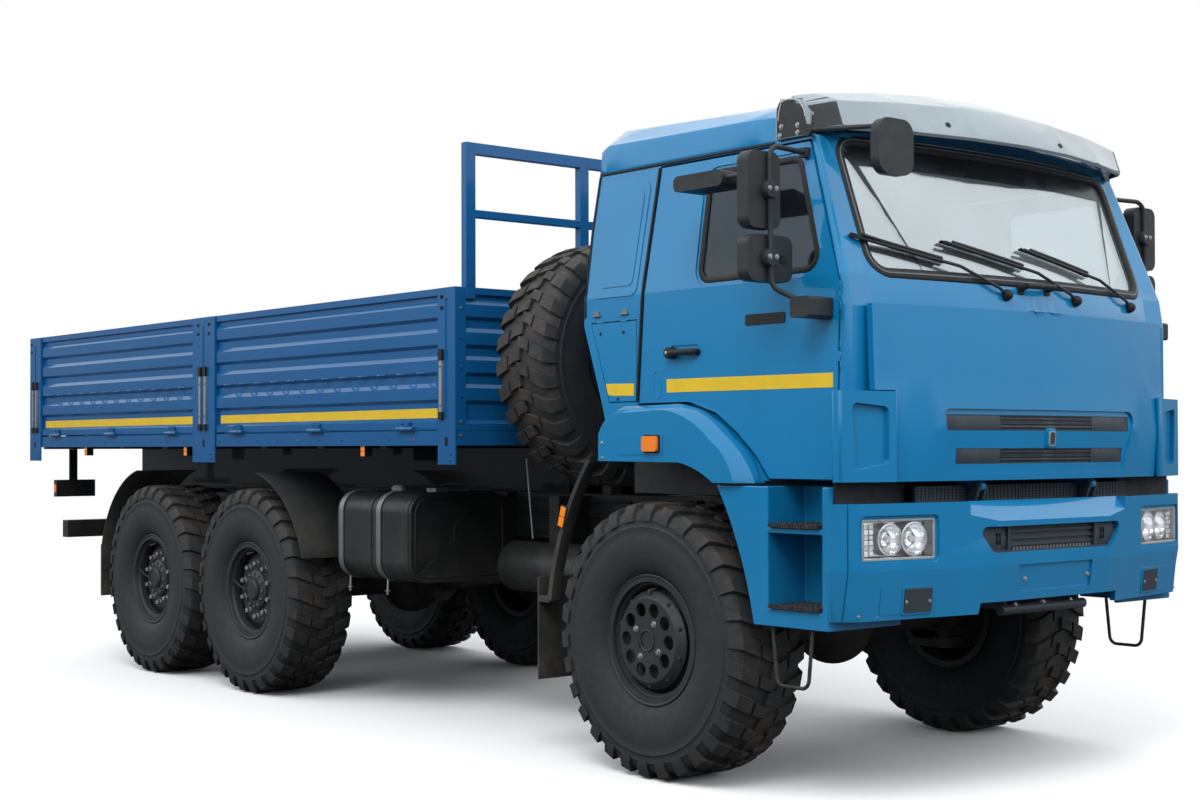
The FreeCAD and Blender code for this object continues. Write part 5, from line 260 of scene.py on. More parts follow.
def lens(name, colour, glow=0.0):
    """A moulded lamp lens with fine flutes."""
    shader = Shader(name)
    wave = shader.add("ShaderNodeTexWave", wave_type="BANDS", bands_direction="Y")
    wave.inputs["Scale"].default_value = 60.0
    shader.link(shader.coords(), wave.inputs["Vector"])
    shader.feed(shader.blend(wave.outputs["Fac"], scaled(colour, 0.75), colour), "Base Color")
    shader.set(Roughness=0.12, Coat_Weight=0.8, Emission_Strength=glow, Emission_Color=(*colour, 1.0))
    shader.bump(wave.outputs["Fac"], 0.3, 0.001)
    return shader.material


def pane(name, tint, share, rough=0.04):
    """Window glass: clear, with a share of it giving back the pale sky."""
    shader = Shader(name)
    shader.set(Base_Color=(*tint, 1.0), Roughness=rough, Metallic=0.9, Specular_IOR_Level=0.5)
    haze = shader.ramp(shader.noise(1.6, 4.0), [(0.35, share * 0.85), (0.7, share)])
    shader.feed(shader.ramp(shader.noise(5.0, 6.0), [(0.4, rough), (0.8, rough * 2.5)]), "Roughness")
    shader.bump(shader.noise(3.0, 2.0), 0.02, 0.001)
    clear = shader.add("ShaderNodeBsdfTransparent")
    clear.inputs["Color"].default_value = (0.90, 0.94, 0.95, 1.0)
    shader.surface(shader.one_of(haze, clear.outputs[0], shader.bsdf.outputs[0]))
    return shader.material


def tread_steel(name):
    """Dark step metal with a worn, pimpled top."""
    shader = Shader(name)
    worn = shader.ramp(shader.noise(25.0, 8.0, 0.75), [(0.45, 0.0), (0.75, 0.6)])
    shader.feed(shader.blend(worn, (0.018, 0.019, 0.020), (0.10, 0.095, 0.085)), "Base Color")
    shader.feed(shader.ramp(shader.noise(40.0), [(0.3, 0.4), (0.8, 0.75)]), "Roughness")
    cells = shader.add("ShaderNodeTexVoronoi")
    cells.inputs["Scale"].default_value = 90.0
    shader.link(shader.coords(), cells.inputs["Vector"])
    shader.bump(cells.outputs["Distance"], 0.6, 0.002)
    return shader.material


# Paint colours; the bed's floor is dark chassis paint below its edge
CAB_BLUE = (0.003, 0.172, 0.385)
BED_BLUE = (0.004, 0.085, 0.245)
CHASSIS_BLACK = (0.008, 0.009, 0.011)
BED_EDGE_Z = 1.497
MATERIALS = {
    "cab_blue": paint("cab_blue_paint", CAB_BLUE),
    "bed_blue": paint("bed_blue_paint", BED_BLUE, 0.36, 0.7, 0.2),
    "bed_under": paint("bed_floor_paint", BED_BLUE, 0.36, 0.7, 0.2, (BED_EDGE_Z, CHASSIS_BLACK)),
    "visor": paint("visor_grey", (0.245, 0.295, 0.33), 0.25, 0.8, 0.0),
    "smoke": paint("visor_smoke", (0.012, 0.014, 0.020), 0.12, 1.0, 0.0),
    "tint": pane("tint_band", (0.04, 0.05, 0.06), 0.88, 0.2),
    "black": plain("black_steel", (0.007, 0.009, 0.011), 0.42),
    "rim": plain("rim_black", (0.014, 0.019, 0.023), 0.42, dust=0.2),
    "cast": plain("cast_metal", (0.018, 0.019, 0.020), 0.65, grain=300.0, grain_depth=0.001, dust=0.5),
    "plastic": plain("grained_plastic", (0.020, 0.024, 0.028), 0.5, dust=0.05),
    "guard": plain("mudguard_plastic", (0.018, 0.020, 0.022), 0.6, dust=0.6),
    "grille": plain("grille_grey", (0.030, 0.040, 0.052), 0.5, dust=0.0),
    "zinc": plain("zinc_steel", (0.62, 0.64, 0.66), 0.35, metallic=0.9, dust=0.0),
    "steel": plain("dull_steel", (0.30, 0.31, 0.32), 0.45, metallic=0.8, dust=0.3),
    "rubber": plain("seal_rubber", (0.010, 0.011, 0.012), 0.55, dust=0.0),
    # Grey of the windscreen rubber's filler strip; its light grey is a painted highlight along the rubber's
    # crest
    "grey": plain("seal_filler_painted_highlight", (0.10, 0.12, 0.14), 0.5, dust=0.0),
    # Near-black plates and discs put where slots and holes are: painted shade for their dark insides
    "hole_shade": plain("painted_hole_shade", (0.004, 0.004, 0.005), 0.9, dust=0.0),
    "yellow": plain("reflective_yellow", (0.74, 0.49, 0.010), 0.35, grain=1500.0, dust=0.1, coat=0.4),
    "cloth": plain("seat_cloth", (0.045, 0.047, 0.052), 0.9, grain=1200.0, grain_depth=0.0015, dust=0.0),
    "trim": plain("cab_trim", (0.055, 0.06, 0.065), 0.8, grain=500.0, dust=0.0),
    "chrome": plain("lamp_chrome", (0.86, 0.88, 0.90), 0.12, 1.0, grain=1400.0, grain_depth=0.0001, dust=0.0),
    "bezel": plain("lamp_bezel", (0.55, 0.57, 0.58), 0.3, metallic=0.6, dust=0.0),
    "mirror": plain("mirror_silver", (0.85, 0.88, 0.90), 0.05, metallic=1.0, grain_depth=0.00002, dust=0.0),
    "step": tread_steel("step_tread_steel"),
    "tyre": tyre_rubber("tyre_rubber"),
    "glass": pane("windshield_glass", (0.76, 0.82, 0.86), 0.58),
    "side_glass": pane("side_window_glass", (0.11, 0.13, 0.15), 0.45),
    "lamp_glass": clear_glass("lamp_glass", (0.97, 0.98, 1.0)),
    # The amber lens glows faintly; where it is put on the reflectors, which are no lamps, this glow is
    # painted light
    "amber": lens("amber_lens", (0.85, 0.22, 0.012), 0.15),
    "red": lens("red_lens", (0.55, 0.012, 0.01)),
    "clear": lens("clear_lens", (0.60, 0.62, 0.64)),
}


# Mesh helpers

class Builder:
    """Gathers plain shapes into one mesh, each with its material."""

    def __init__(self):
        self.verts = []
        self.faces = []
        self.kinds = []
        self.materials = []

    def add(self, verts, faces, material):
        if material not in self.materials:
            self.materials.append(material)
        start = len(self.verts)
        self.verts.extend(verts)
        for face in faces:
            self.faces.append([start + i for i in face])
            self.kinds.append(self.materials.index(material))

    def box(self, low, high, material, turn=None):
        corners = [Vector((x, y, z)) for x in (low.x, high.x) for y in (low.y, high.y)
                   for z in (low.z, high.z)]
        if turn is not None:
            middle = (low + high) / 2
            corners = [middle + turn @ (c - middle) for c in corners]
        faces = [(0, 1, 3, 2), (4, 6, 7, 5), (0, 4, 5, 1), (2, 3, 7, 6), (0, 2, 6, 4), (1, 5, 7, 3)]
        self.add(corners, faces, material)

    def rings(self, rings, material, closed=False, caps=True):
        """Skins a row of rings of points."""
        count = len(rings[0])
        faces = []
        for j in range(len(rings) if closed else len(rings) - 1):
            k = (j + 1) % len(rings)
            for i in range(count):
                n = (i + 1) % count
                faces.append((j * count + i, j * count + n, k * count + n, k * count + i))
        if caps and not closed:
            faces.append(tuple(reversed(range(count))))
            faces.append(tuple((len(rings) - 1) * count + i for i in range(count)))
        self.add([p for ring in rings for p in ring], faces, material)

    def tube(self, points, radius, material, sides=12):
        """A round bar through the points."""
        points = [Vector(p) for p in points]
        rings = []
        side = None
        for point, along in zip(points, directions(points)):
            side = across_of(along, side)
            rings.append(circle(point, side, along.cross(side), radius, sides))
        self.rings(rings, material)

    def rod(self, start, end, radius, material, sides=20):
        self.tube([start, end], radius, material, sides)

    def revolve(self, profile, centre, axis, material, segments=48, closed=False):
        """Turns a profile of (radius, along axis) points about an axis through the centre."""
        axis = Vector(axis).normalized()
        side = across_of(axis)
        other = axis.cross(side)
        rings = [circle(centre + axis * a, side, other, max(r, 1e-5), segments) for r, a in profile]
        self.rings(rings, material, closed, caps=not closed)

    def prism(self, outline, along, material):
        """Extrudes a loop of points by a vector."""
        points = [Vector(p) for p in outline]
        self.rings([points, [p + Vector(along) for p in points]], material)

    def mesh(self, name):
        made = bpy.data.meshes.new(name)
        made.from_pydata([tuple(v) for v in self.verts], [], self.faces)
        for polygon, kind in zip(made.polygons, self.kinds):
            polygon.material_index = kind
        tidy = bmesh.new()
        tidy.from_mesh(made)
        bmesh.ops.recalc_face_normals(tidy, faces=tidy.faces)
        tidy.to_mesh(made)
        tidy.free()
        for material in self.materials:
            made.materials.append(MATERIALS[material])
        return made

    def done(self, name, body, slot, bevel=0.0, smooth_angle=35.0, segments=2):
        return link_piece(name, self.mesh(name), body, bevel, smooth_angle, segments)


def directions(points, closed=False):
    """The unit direction of a path at each of its points."""
    last = len(points) - 1
    out = []
    for i in range(len(points)):
        if closed:
            out.append((points[(i + 1) % len(points)] - points[i - 1]).normalized())
        else:
            out.append((points[min(i + 1, last)] - points[max(i - 1, 0)]).normalized())
    return out


def across_of(along, guide=None):
    """A unit direction at right angles to another, as near to the guide as it can be."""
    if guide is None:
        guide = UP if abs(along.z) < 0.9 else FORWARD
    return (guide - along * guide.dot(along)).normalized()


def turns(count, shift=0.0):
    """Angles evenly round a circle."""
    return [2 * math.pi * (i + shift) / count for i in range(count)]


def circle(centre, side, other, radius, count):
    """Points round a circle that lies in two unit directions."""
    return [centre + (side * math.cos(angle) + other * math.sin(angle)) * radius for angle in turns(count)]


def link_piece(name, mesh, body, bevel=0.0, smooth_angle=35.0, segments=2, matrix=None):
    """Links a mesh as a piece that rides on a body."""
    mesh.shade_smooth()
    mesh.set_sharp_from_angle(angle=math.radians(smooth_angle))
    piece = bpy.data.objects.new(name, mesh)
    bpy.context.scene.collection.objects.link(piece)
    if matrix is not None:
        piece.matrix_world = matrix
    if bevel:
        soften(piece, bevel, segments)
    bpy.context.view_layer.update()
    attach(piece, body)
    return piece


def weld(piece):
    """Joins the vertices that lie on each other."""
    piece.modifiers.new("weld", "WELD").merge_threshold = 0.0001


def soften(piece, width, segments=2):
    """Rounds a piece's sharp edges slightly."""
    edge = piece.modifiers.new("soft_edges", "BEVEL")
    edge.width = width
    edge.segments = segments
    edge.limit_method = "ANGLE"
    edge.angle_limit = math.radians(32)
    edge.harden_normals = True
    edge.use_clamp_overlap = True


def smooth_bow(piece):
    """Shades a bowed panel smoothly between its sharp edges."""
    piece.modifiers.new("sharp_edges", "EDGE_SPLIT").split_angle = math.radians(24)
    even = piece.modifiers.new("even_normals", "WEIGHTED_NORMAL")
    even.mode = "FACE_AREA"
    even.weight = 70


def smooth_path(points, steps=8):
    """More points along a smooth curve through the given ones."""
    points = [Vector(p) for p in points]
    last = len(points) - 1
    out = []
    for i in range(last):
        p0, p1, p2, p3 = (points[max(0, min(last, i + k))] for k in (-1, 0, 1, 2))
        for j in range(steps):
            t = j / steps
            out.append(0.5 * ((2 * p1) + (p2 - p0) * t + (2 * p0 - 5 * p1 + 4 * p2 - p3) * t * t
                              + (3 * p1 - p0 - 3 * p2 + p3) * t ** 3))
    out.append(points[-1])
    return out


# Tyres

# Half of the carcass section as (radius, half width) points, from the bead out and over the tread
HALF_CARCASS = [
    (0.262, 0.150), (0.292, 0.160), (0.300, 0.166), (0.306, 0.175), (0.330, 0.192), (0.372, 0.2045),
    (0.420, 0.2105), (0.470, 0.2095), (0.500, 0.2050), (0.506, 0.2075), (0.511, 0.2075), (0.515, 0.2035),
    (0.535, 0.2000), (0.541, 0.2020), (0.546, 0.2015), (0.550, 0.1975), (0.572, 0.1900), (0.588, 0.1780),
    (TREAD_BASE, 0.1550), (0.603, 0.0900), (0.604, 0.0)]

# Rows of (half width, low radius, top radius, angle offset) across a tread block, and the blocks' lengths
SHOULDER_LUG = [(0.088, 0.590, TREAD_TOP, -2.6), (0.150, 0.585, TREAD_TOP, -0.4), (0.186, 0.560, 0.613, 1.0),
                (0.2085, 0.536, 0.566, 1.6)]
MIDDLE_LUG = [(-0.012, 0.590, TREAD_TOP, -6.0), (0.040, 0.590, TREAD_TOP, -5.0),
              (0.074, 0.590, TREAD_TOP, -3.4)]
LUGS = ((SHOULDER_LUG, 6.6), (MIDDLE_LUG, 5.2))


def add_lug(build, rows, side, angle, length):
    """One slanted tread block on a side of the tyre; the angle and the length are in degrees round it."""
    low, top = [], []
    for across, base, crown, lead in rows:
        for end in (-0.5, 0.5):
            turn = math.radians(angle + lead + end * length)
            low.append(Vector((base * math.sin(turn), across * side, base * math.cos(turn))))
            top.append(Vector((crown * math.sin(turn), across * side, crown * math.cos(turn))))
    shift = len(low)
    faces = []
    for a in range(0, shift - 2, 2):
        faces.append((shift + a, shift + a + 1, shift + a + 3, shift + a + 2))
        faces.append((a, a + 2, shift + a + 2, shift + a))
        faces.append((a + 1, shift + a + 1, shift + a + 3, a + 3))
    faces.append((0, shift, shift + 1, 1))
    faces.append((shift - 2, shift - 1, 2 * shift - 1, 2 * shift - 2))
    build.add(low + top, faces, "tyre")


def tyre_mesh():
    """One cross-country tyre about the Y axis, with two rows of slanted blocks on each side of the middle."""
    build = Builder()
    section = HALF_CARCASS + [(r, -w) for r, w in reversed(HALF_CARCASS[:-1])]
    build.revolve(section, ORIGIN, LEFT, "tyre", TYRE_SEGMENTS, closed=True)
    pitch = 360.0 / LUGS_PER_SIDE
    for side, shift in ((-1, 0.25), (1, 0.75)):
        for index in range(LUGS_PER_SIDE):
            for rows, length in LUGS:
                add_lug(build, rows, side, pitch * (index + shift), length)
    return build.mesh("cross_country_tyre")


def make_tyres():
    """The same tyre on every wheel and on the spare carrier, each rolled to another angle."""
    mesh = tyre_mesh()
    wheels = ["%s_%s" % (row, side) for row in WHEEL_ROWS for side, _ in SIDES]
    places = [("tyre_" + wheel, "wheel_" + wheel) for wheel in wheels]
    places.append(("spare_tyre", "chassis"))
    for index, (node, body) in enumerate(places):
        low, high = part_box(node)
        facing = -90 if node == "spare_tyre" else 180 if node.endswith("right") else 0
        matrix = Matrix.Translation((low + high) / 2) @ Matrix.Rotation(math.radians(facing), 4, "Z")
        rolled = mesh.copy()
        rolled.transform(Matrix.Rotation(ROLL_BETWEEN_TYRES * index, 4, "Y"))
        piece = link_piece("dressed_" + node, rolled, body, 0.0025, segments=1, matrix=matrix)
        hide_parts(node)


# Materials on the carried-over solids

# For each look, how the names of its nodes begin; the longest beginning that fits a node decides
NODE_LOOKS = {
    "rim": "rim spare_rim",
    "cast": "knuckle front_suspension rear_suspension engine_block drive_shafts",
    "black": "frame_rails fuel_tank side_boxes spare_carrier lamps",
    "guard": "rear_mudguards front_mudguards",
    "bed_blue": "bed dropside tailgate headboard",
    "bed_under": "bed_floor",
    "cab_blue": "cab_shell door locker_flap cab_roof fenders front_panel bumper cab_steps corner_deflectors",
    "glass": "windshield",
    "side_glass": "door_glass",
    "plastic": "mirrors front_mirror wipers dashboard",
    "visor": "sun_visor",
    "amber": "roof_lamps",
    "grille": "grille bumper_beam",
    "cloth": "seats",
    "step": "step_treads",
    "tyre": "spare_tyre tyre",
}
EDGE_WIDTHS = {"cab_blue": 0.006, "bed_blue": 0.003, "bed_under": 0.003, "black": 0.004, "plastic": 0.004,
               "visor": 0.003, "guard": 0.002, "rim": 0.002, "cast": 0.006, "grille": 0.001}


def dress_nodes():
    """Gives every node its material and soft edges."""
    looks = {start: look for look, starts in NODE_LOOKS.items() for start in starts.split()}
    for name, piece in NODES.items():
        look = looks[max((start for start in looks if name.startswith(start)), key=len)]
        piece.data.materials.clear()
        piece.data.materials.append(MATERIALS[look])
        if look in EDGE_WIDTHS:
            weld(piece)
            if name == "front_panel":
                smooth_bow(piece)
            else:
                soften(piece, EDGE_WIDTHS[look])


# Finding places on the carried-over solids

TREES = {}


def tree_of(names):
    """A search tree over the faces of the named nodes."""
    if names not in TREES:
        verts, faces = [], []
        for name in names:
            mesh = NODES[name].data
            start = len(verts)
            verts.extend(vertex.co.copy() for vertex in mesh.vertices)
            faces.extend([start + i for i in polygon.vertices] for polygon in mesh.polygons)
        TREES[names] = BVHTree.FromPolygons(verts, faces)
    return TREES[names]


def struck(names, start, direction):
    """Where a ray first meets the named nodes, with the surface's normal towards the ray's start."""
    tree = tree_of(names)
    place, normal, _, _ = tree.ray_cast(start, direction)
    if place is None:
        place, normal, _, _ = tree.find_nearest(start)
    return place, (-normal if normal.dot(direction) > 0 else normal)


def front(y, z, *names):
    """The spot that is met from ahead."""
    return struck(names, at(3.0, y, z), -FORWARD)


def flank(x, z, side, *names):
    """The spot that is met from the side."""
    return struck(names, at(x, 3.0 * side, z), -side * LEFT)


def side_spot(x, y, z, side):
    """A spot on an upright face that looks out to a side, at a distance y from the middle."""
    return at(x, side * y, z), side * LEFT


def lifted(spot, height):
    """The spot moved along its normal."""
    return spot[0] + spot[1] * height, spot[1]


def dense(points, step, closed=False):
    """The points with more between them, no further apart than the step."""
    points = [Vector(p) for p in points]
    if closed:
        points.append(points[0])
    out = []
    for a, b in zip(points, points[1:]):
        count = max(1, math.ceil((b - a).length / step))
        out.extend(a + (b - a) * (i / count) for i in range(count))
    return out if closed else out + [points[-1]]


def rounded(width, height, radius, steps=5):
    """A rectangle's outline about the origin with round corners."""
    out = []
    for turn, (u, v) in enumerate(((1, 1), (-1, 1), (-1, -1), (1, -1))):
        for i in range(steps + 1):
            angle = math.pi / 2 * (turn + i / steps)
            out.append((u * (width / 2 - radius) + radius * math.cos(angle),
                        v * (height / 2 - radius) + radius * math.sin(angle)))
    return out


def rim_of(name, direction):
    """The outer edge of a pane's face that looks along the direction, as points in order."""
    mesh = NODES[name].data
    edges = {}
    for polygon in mesh.polygons:
        if polygon.normal.dot(direction) < 0.6:
            continue
        keys = [tuple(round(c, 4) for c in mesh.vertices[i].co) for i in polygon.vertices]
        for a, b in zip(keys, keys[1:] + keys[:1]):
            if (b, a) in edges:
                del edges[(b, a)]
            else:
                edges[(a, b)] = True
    after = dict(edges.keys())
    loops = []
    while after:
        start, here = after.popitem()
        loop = [start]
        while here != start and here in after:
            loop.append(here)
            here = after.pop(here)
        loops.append([Vector(p) for p in loop])
    return max(loops, key=lambda loop: sum((a - b).length for a, b in zip(loop, loop[1:])))


# More mesh helpers

# Section of a ribbon as (share of the width, share of the height); a share of None is the sunk foot
RIBBON_SECTION = ((-0.5, None), (-0.5, 0.55), (-0.32, 1.0), (0.32, 1.0), (0.5, 0.55), (0.5, None))


def ribbon(build, path, normals, width, height, material, closed=False, sunk=0.002):
    """A low band with rounded shoulders that lies along points on a surface."""
    section = [(a * width, -sunk if b is None else height * b) for a, b in RIBBON_SECTION]
    rings = []
    for point, normal, along in zip(path, normals, directions(path, closed)):
        across = along.cross(normal).normalized()
        rings.append([point + across * a + normal * b for a, b in section])
    build.rings(rings, material, closed)


def strip(build, spots, width, height, material, closed=False):
    """A ribbon along (place, normal) pairs."""
    ribbon(build, [s[0] for s in spots], [s[1] for s in spots], width, height, material, closed)


def flank_strip(build, points, step, side, node, width, height, material, closed=False):
    """A ribbon on the side of a node, along (x, z) points."""
    spots = [flank(p.x, p.y, side, node) for p in dense(points, step, closed)]
    strip(build, spots, width, height, material, closed)


def stud(build, spot, wide, narrow, heights, material, sides):
    """A round or many-sided head, with the heights of its foot, its shoulder and its narrower top."""
    foot, shoulder, top = heights
    build.revolve([(wide, foot), (wide, shoulder), (narrow, top), (0, top)], *spot, material, sides)


def bolt(build, spot, radius, material="zinc", sides=6):
    """A bolt head on its washer."""
    stud(build, spot, radius * 1.5, radius * 1.4, (-0.002, radius * 0.2, radius * 0.3), material, 14)
    stud(build, spot, radius, radius * 0.8, (0.0, radius * 0.85, radius * 1.1), material, sides)


def plate(build, spot, size, height, material, up=UP, sunk=0.002, push=(0.0, 0.0)):
    """A thin plate on a surface; its size is width, height and corner radius, across and up."""
    place, normal = spot
    across = up.cross(normal).normalized()
    rise = normal.cross(across)
    outline = [place + across * (u + push[0]) + rise * (v + push[1]) - normal * sunk
               for u, v in rounded(*size)]
    build.prism(outline, normal * (height + sunk), material)


def patch(build, spot, columns, rows, height, material, sunk=0.001):
    """A thin sheet that follows a surface: spot(u, v) gives a place and normal for shares u and v."""
    grid = [spot(i / columns, j / rows) for j in range(rows + 1) for i in range(columns + 1)]
    verts = [p + n * height for p, n in grid] + [p - n * sunk for p, n in grid]
    wide = columns + 1
    low = len(grid)
    faces = []
    for j in range(rows):
        for i in range(columns):
            a = j * wide + i
            faces.append((a, a + 1, a + wide + 1, a + wide))
            faces.append((low + a, low + a + wide, low + a + wide + 1, low + a + 1))
    rim = list(range(wide)) + [j * wide + columns for j in range(1, rows + 1)]
    rim += [rows * wide + i for i in range(columns - 1, -1, -1)] + [j * wide for j in range(rows - 1, 0, -1)]
    for a, b in zip(rim, rim[1:] + rim[:1]):
        faces.append((a, low + a, low + b, b))
    build.add(verts, faces, material)


def flank_band(build, start, end, height, columns, side, node):
    """A yellow band on the side of a node, over a lower edge between two (x, z) points."""
    start, end = Vector(start), Vector(end)

    def spot(u, v):
        here = start + (end - start) * u
        return flank(here.x, here.y + height * v, side, node)
    patch(build, spot, columns, 1, 0.0012, "yellow")


def pillow(build, centre, half, turn, power=0.32, columns=40, rows=24):
    """A stuffed block with rounded edges and a slight crown."""
    def eased(value):
        return math.copysign(abs(value) ** power, value)
    rings = []
    for j in range(rows + 1):
        lift = math.pi * (j / rows - 0.5)
        flat = max(eased(math.cos(lift)), 0.002)
        ring = []
        for angle in turns(columns):
            local = Vector((eased(math.cos(angle)) * flat * half[0], eased(math.sin(angle)) * flat * half[1],
                            eased(math.sin(lift)) * half[2]))
            ring.append(centre + turn @ local)
        rings.append(ring)
    build.rings(rings, "cloth")


# Cab

CAB_SKIN = ("cab_shell", "windshield")
# The pressed panel behind the door: the corners of its two steps as (x, z), and how far each stands out
PRESSED_PANEL = ((((-0.446, 2.722), (-0.118, 2.715), (-0.155, 2.186), (-0.458, 2.186)), 0.004),
                 (((-0.407, 2.682), (-0.152, 2.676), (-0.184, 2.232), (-0.415, 2.232)), 0.0075))
# Lines of rubber on each side of the cab: (x, z) points, greatest step, width and height
CAB_SIDE_SEALS = ((((-0.066, 2.765), (-0.147, 1.70)), 0.08, 0.013, 0.009),
                  (((-0.492, 2.775), (-0.518, 2.45), (-0.520, 2.10)), 0.08, 0.012, 0.006),
                  (((-0.49, 2.783), (0.66, 2.783)), 0.1, 0.012, 0.008))
HANDLE_SURROUND = ((-0.036, 1.722), (-0.040, 1.79), (-0.032, 1.826), (-0.012, 1.838), (0.006, 1.826),
                   (0.012, 1.79), (0.010, 1.722), (-0.010, 1.708))
VISOR_EDGE = ((0.694, 2.815), (0.700, 2.90), (0.716, 2.948), (0.76, 2.958), (0.82, 2.94), (0.850, 2.895),
              (0.862, 2.815))
VISOR_BOLTS = ((0.716, 2.843), (0.810, 2.838), (0.810, 2.806), (0.707, 2.806))
WIPER_PIVOTS = (-0.218, 0.290, 0.798)
WIPER_PIVOT_Z = 2.140
# The wipers' arms as (share of the reach across, share of the rise)
WIPER_ARM = ((0.40, 0.575), (0.55, 0.682), (0.72, 0.803), (0.90, 0.930), (1.0, 1.0))
WIPER_REACH = 0.83
WIPER_RISE = 0.215
# The mirrors' glasses as (distance from the middle, height, half width, half height)
MIRROR_GLASSES = ((1.360, 2.5325, 0.080, 0.146), (1.325, 2.255, 0.115, 0.084))
# Turned profiles as (radius, distance out) points
WIPER_BOSS = ((0.026, -0.004), (0.026, 0.010), (0.020, 0.026), (0.012, 0.034), (0, 0.036))
HANDLE_BOSS = ((0.026, -0.012), (0.026, 0.030), (0.020, 0.038), (0, 0.039))
MIRROR_CLAMP = ((0.040, -0.006), (0.040, 0.016), (0.034, 0.026), (0, 0.028))


def cab_seals():
    """Rubber round the windscreen and side windows, along the doors' rear edges and under the roof cap."""
    build = Builder()
    path = dense(rim_of("windshield", FORWARD), 0.06, True)
    normals = [front(max(-0.9, min(0.9, p.y)), max(2.25, min(2.74, p.z)), "windshield")[1] for p in path]
    ribbon(build, path, normals, 0.050, 0.017, "rubber", True)
    # A grey filler strip on the rubber's crest, its light grey a painted highlight
    ribbon(build, path, normals, 0.010, 0.0195, "grey", True)
    for _, side in SIDES:
        for points, step, width, height in CAB_SIDE_SEALS:
            flank_strip(build, points, step, side, "cab_shell", width, height, "rubber")
    build.done("cab_seals", "cab", "black_plastic", smooth_angle=50)
    for name, side in SIDES:
        build = Builder()
        path = dense(rim_of("door_glass_" + name, side * LEFT), 0.05, True)
        normal = Vector((0, side, 0.1)).normalized()
        ribbon(build, path, [normal] * len(path), 0.030, 0.009, "rubber", True)
        build.done("window_seal_" + name, "door_" + name, "black_plastic", smooth_angle=50)


def tint_band():
    """The dark band across the top of the windscreen, with rounded lower corners."""
    build = Builder()

    def spot(u, v):
        ends = min(1.0, min(u, 1 - u) / 0.035)
        low = 2.672 + 0.05 * (1 - math.sqrt(1 - (1 - ends) ** 2))
        return front(-0.925 + 1.85 * u, low + (2.765 - low) * v, "windshield")
    patch(build, spot, 60, 4, 0.0015, "tint")
    build.done("tint_band", "cab", "window_glass")


def cab_side_details():
    """The pressed panel behind the door, the locker's hinges and the fender's lamp."""
    build = Builder()
    for _, side in SIDES:
        for corners, lift in PRESSED_PANEL:
            a, b, c, d = (Vector(p) for p in corners)

            def spot(u, v):
                pinch = 0.10 * (1 - math.sqrt(1 - max(0.0, 1 - min(v, 1 - v) / 0.08) ** 2))
                u = pinch + (1 - 2 * pinch) * u
                flat = (d + (c - d) * u) * (1 - v) + (a + (b - a) * u) * v
                return flank(flat.x, flat.y, side, "cab_shell")
            patch(build, spot, 8, 28, lift, "cab_blue")
        for x in (-0.433, -0.234):
            foot = flank(x, 2.112, side, "cab_shell")[0]
            plate(build, (foot, side * LEFT), (0.034, 0.030, 0.004), 0.005, "steel")
            knuckle = foot + Vector((0, side * 0.006, -0.008))
            build.rod(knuckle - 0.024 * FORWARD, knuckle + 0.024 * FORWARD, 0.0055, "steel", 10)
    build.done("cab_side_panels", "cab", "cab_paint", bevel=0.0015)
    build = Builder()
    for _, side in SIDES:
        lamp = flank(0.074, 1.503, side, "fenders")
        plate(build, flank(-0.006, 1.502, side, "fenders"), (0.300, 0.096, 0.012), 0.0025, "cab_blue")
        plate(build, lamp, (0.108, 0.080, 0.010), 0.008, "rubber")
        plate(build, lamp, (0.096, 0.068, 0.012), 0.022, "amber")
        bolt(build, flank(-0.271, 1.508, side, "fenders"), 0.006)
        bolt(build, flank(-0.268, 1.44, side, "fenders"), 0.005)
    build.done("fender_lamps", "cab", "lamp_amber", bevel=0.0025)


def locker_details():
    """Stripe and rubber buttons of both locker flaps."""
    for name, side in SIDES:
        node = "locker_flap_" + name
        build = Builder()
        flank_band(build, (-0.372, 1.729), (-0.172, 1.725), 0.056, 4, side, node)
        for x, z in ((-0.286, 1.712), (-0.245, 2.02), (-0.41, 2.02)):
            stud(build, flank(x, z, side, node), 0.008, 0.006, (-0.001, 0.002, 0.003), "rubber", 14)
        build.done("locker_marks_" + name, node, "cab_paint")


def door_details():
    """Stripe, bare plate, handle and the pressed surround beside it on both doors."""
    for name, side in SIDES:
        node = "door_" + name
        outward = side * LEFT
        build = Builder()
        flank_band(build, (0.052, 1.733), (1.057, 1.729), 0.060, 16, side, node)
        bare = flank(0.672, 2.030, side, node)
        plate(build, bare, (0.235, 0.046, 0.008), 0.004, "rubber")
        ends = [flank(x, 1.909, side, node)[0] for x in (0.092, 0.252)]
        for end in ends:
            end.y = bare[0].y + side * 0.001
        bar = [ends[0] + (ends[1] - ends[0]) * share + outward * reach
               for share, reach in ((0.0, 0.024), (0.3, 0.02688), (0.7, 0.0252), (1.0, 0.0168))]
        build.tube(smooth_path(bar, 5), 0.0145, "rubber", 14)
        build.revolve(HANDLE_BOSS, ends[0], outward, "rubber", 24)
        stud(build, (ends[0], outward), 0.009, 0.006, (0.036, 0.042, 0.044), "zinc", 16)
        stud(build, (ends[1], outward), 0.014, 0.010, (-0.012, 0.022, 0.026), "rubber", 18)
        flank_strip(build, HANDLE_SURROUND, 0.02, side, node, 0.008, 0.002, "cab_blue", True)
        build.done("door_fittings_" + name, node, "black_plastic", bevel=0.0012, segments=1)


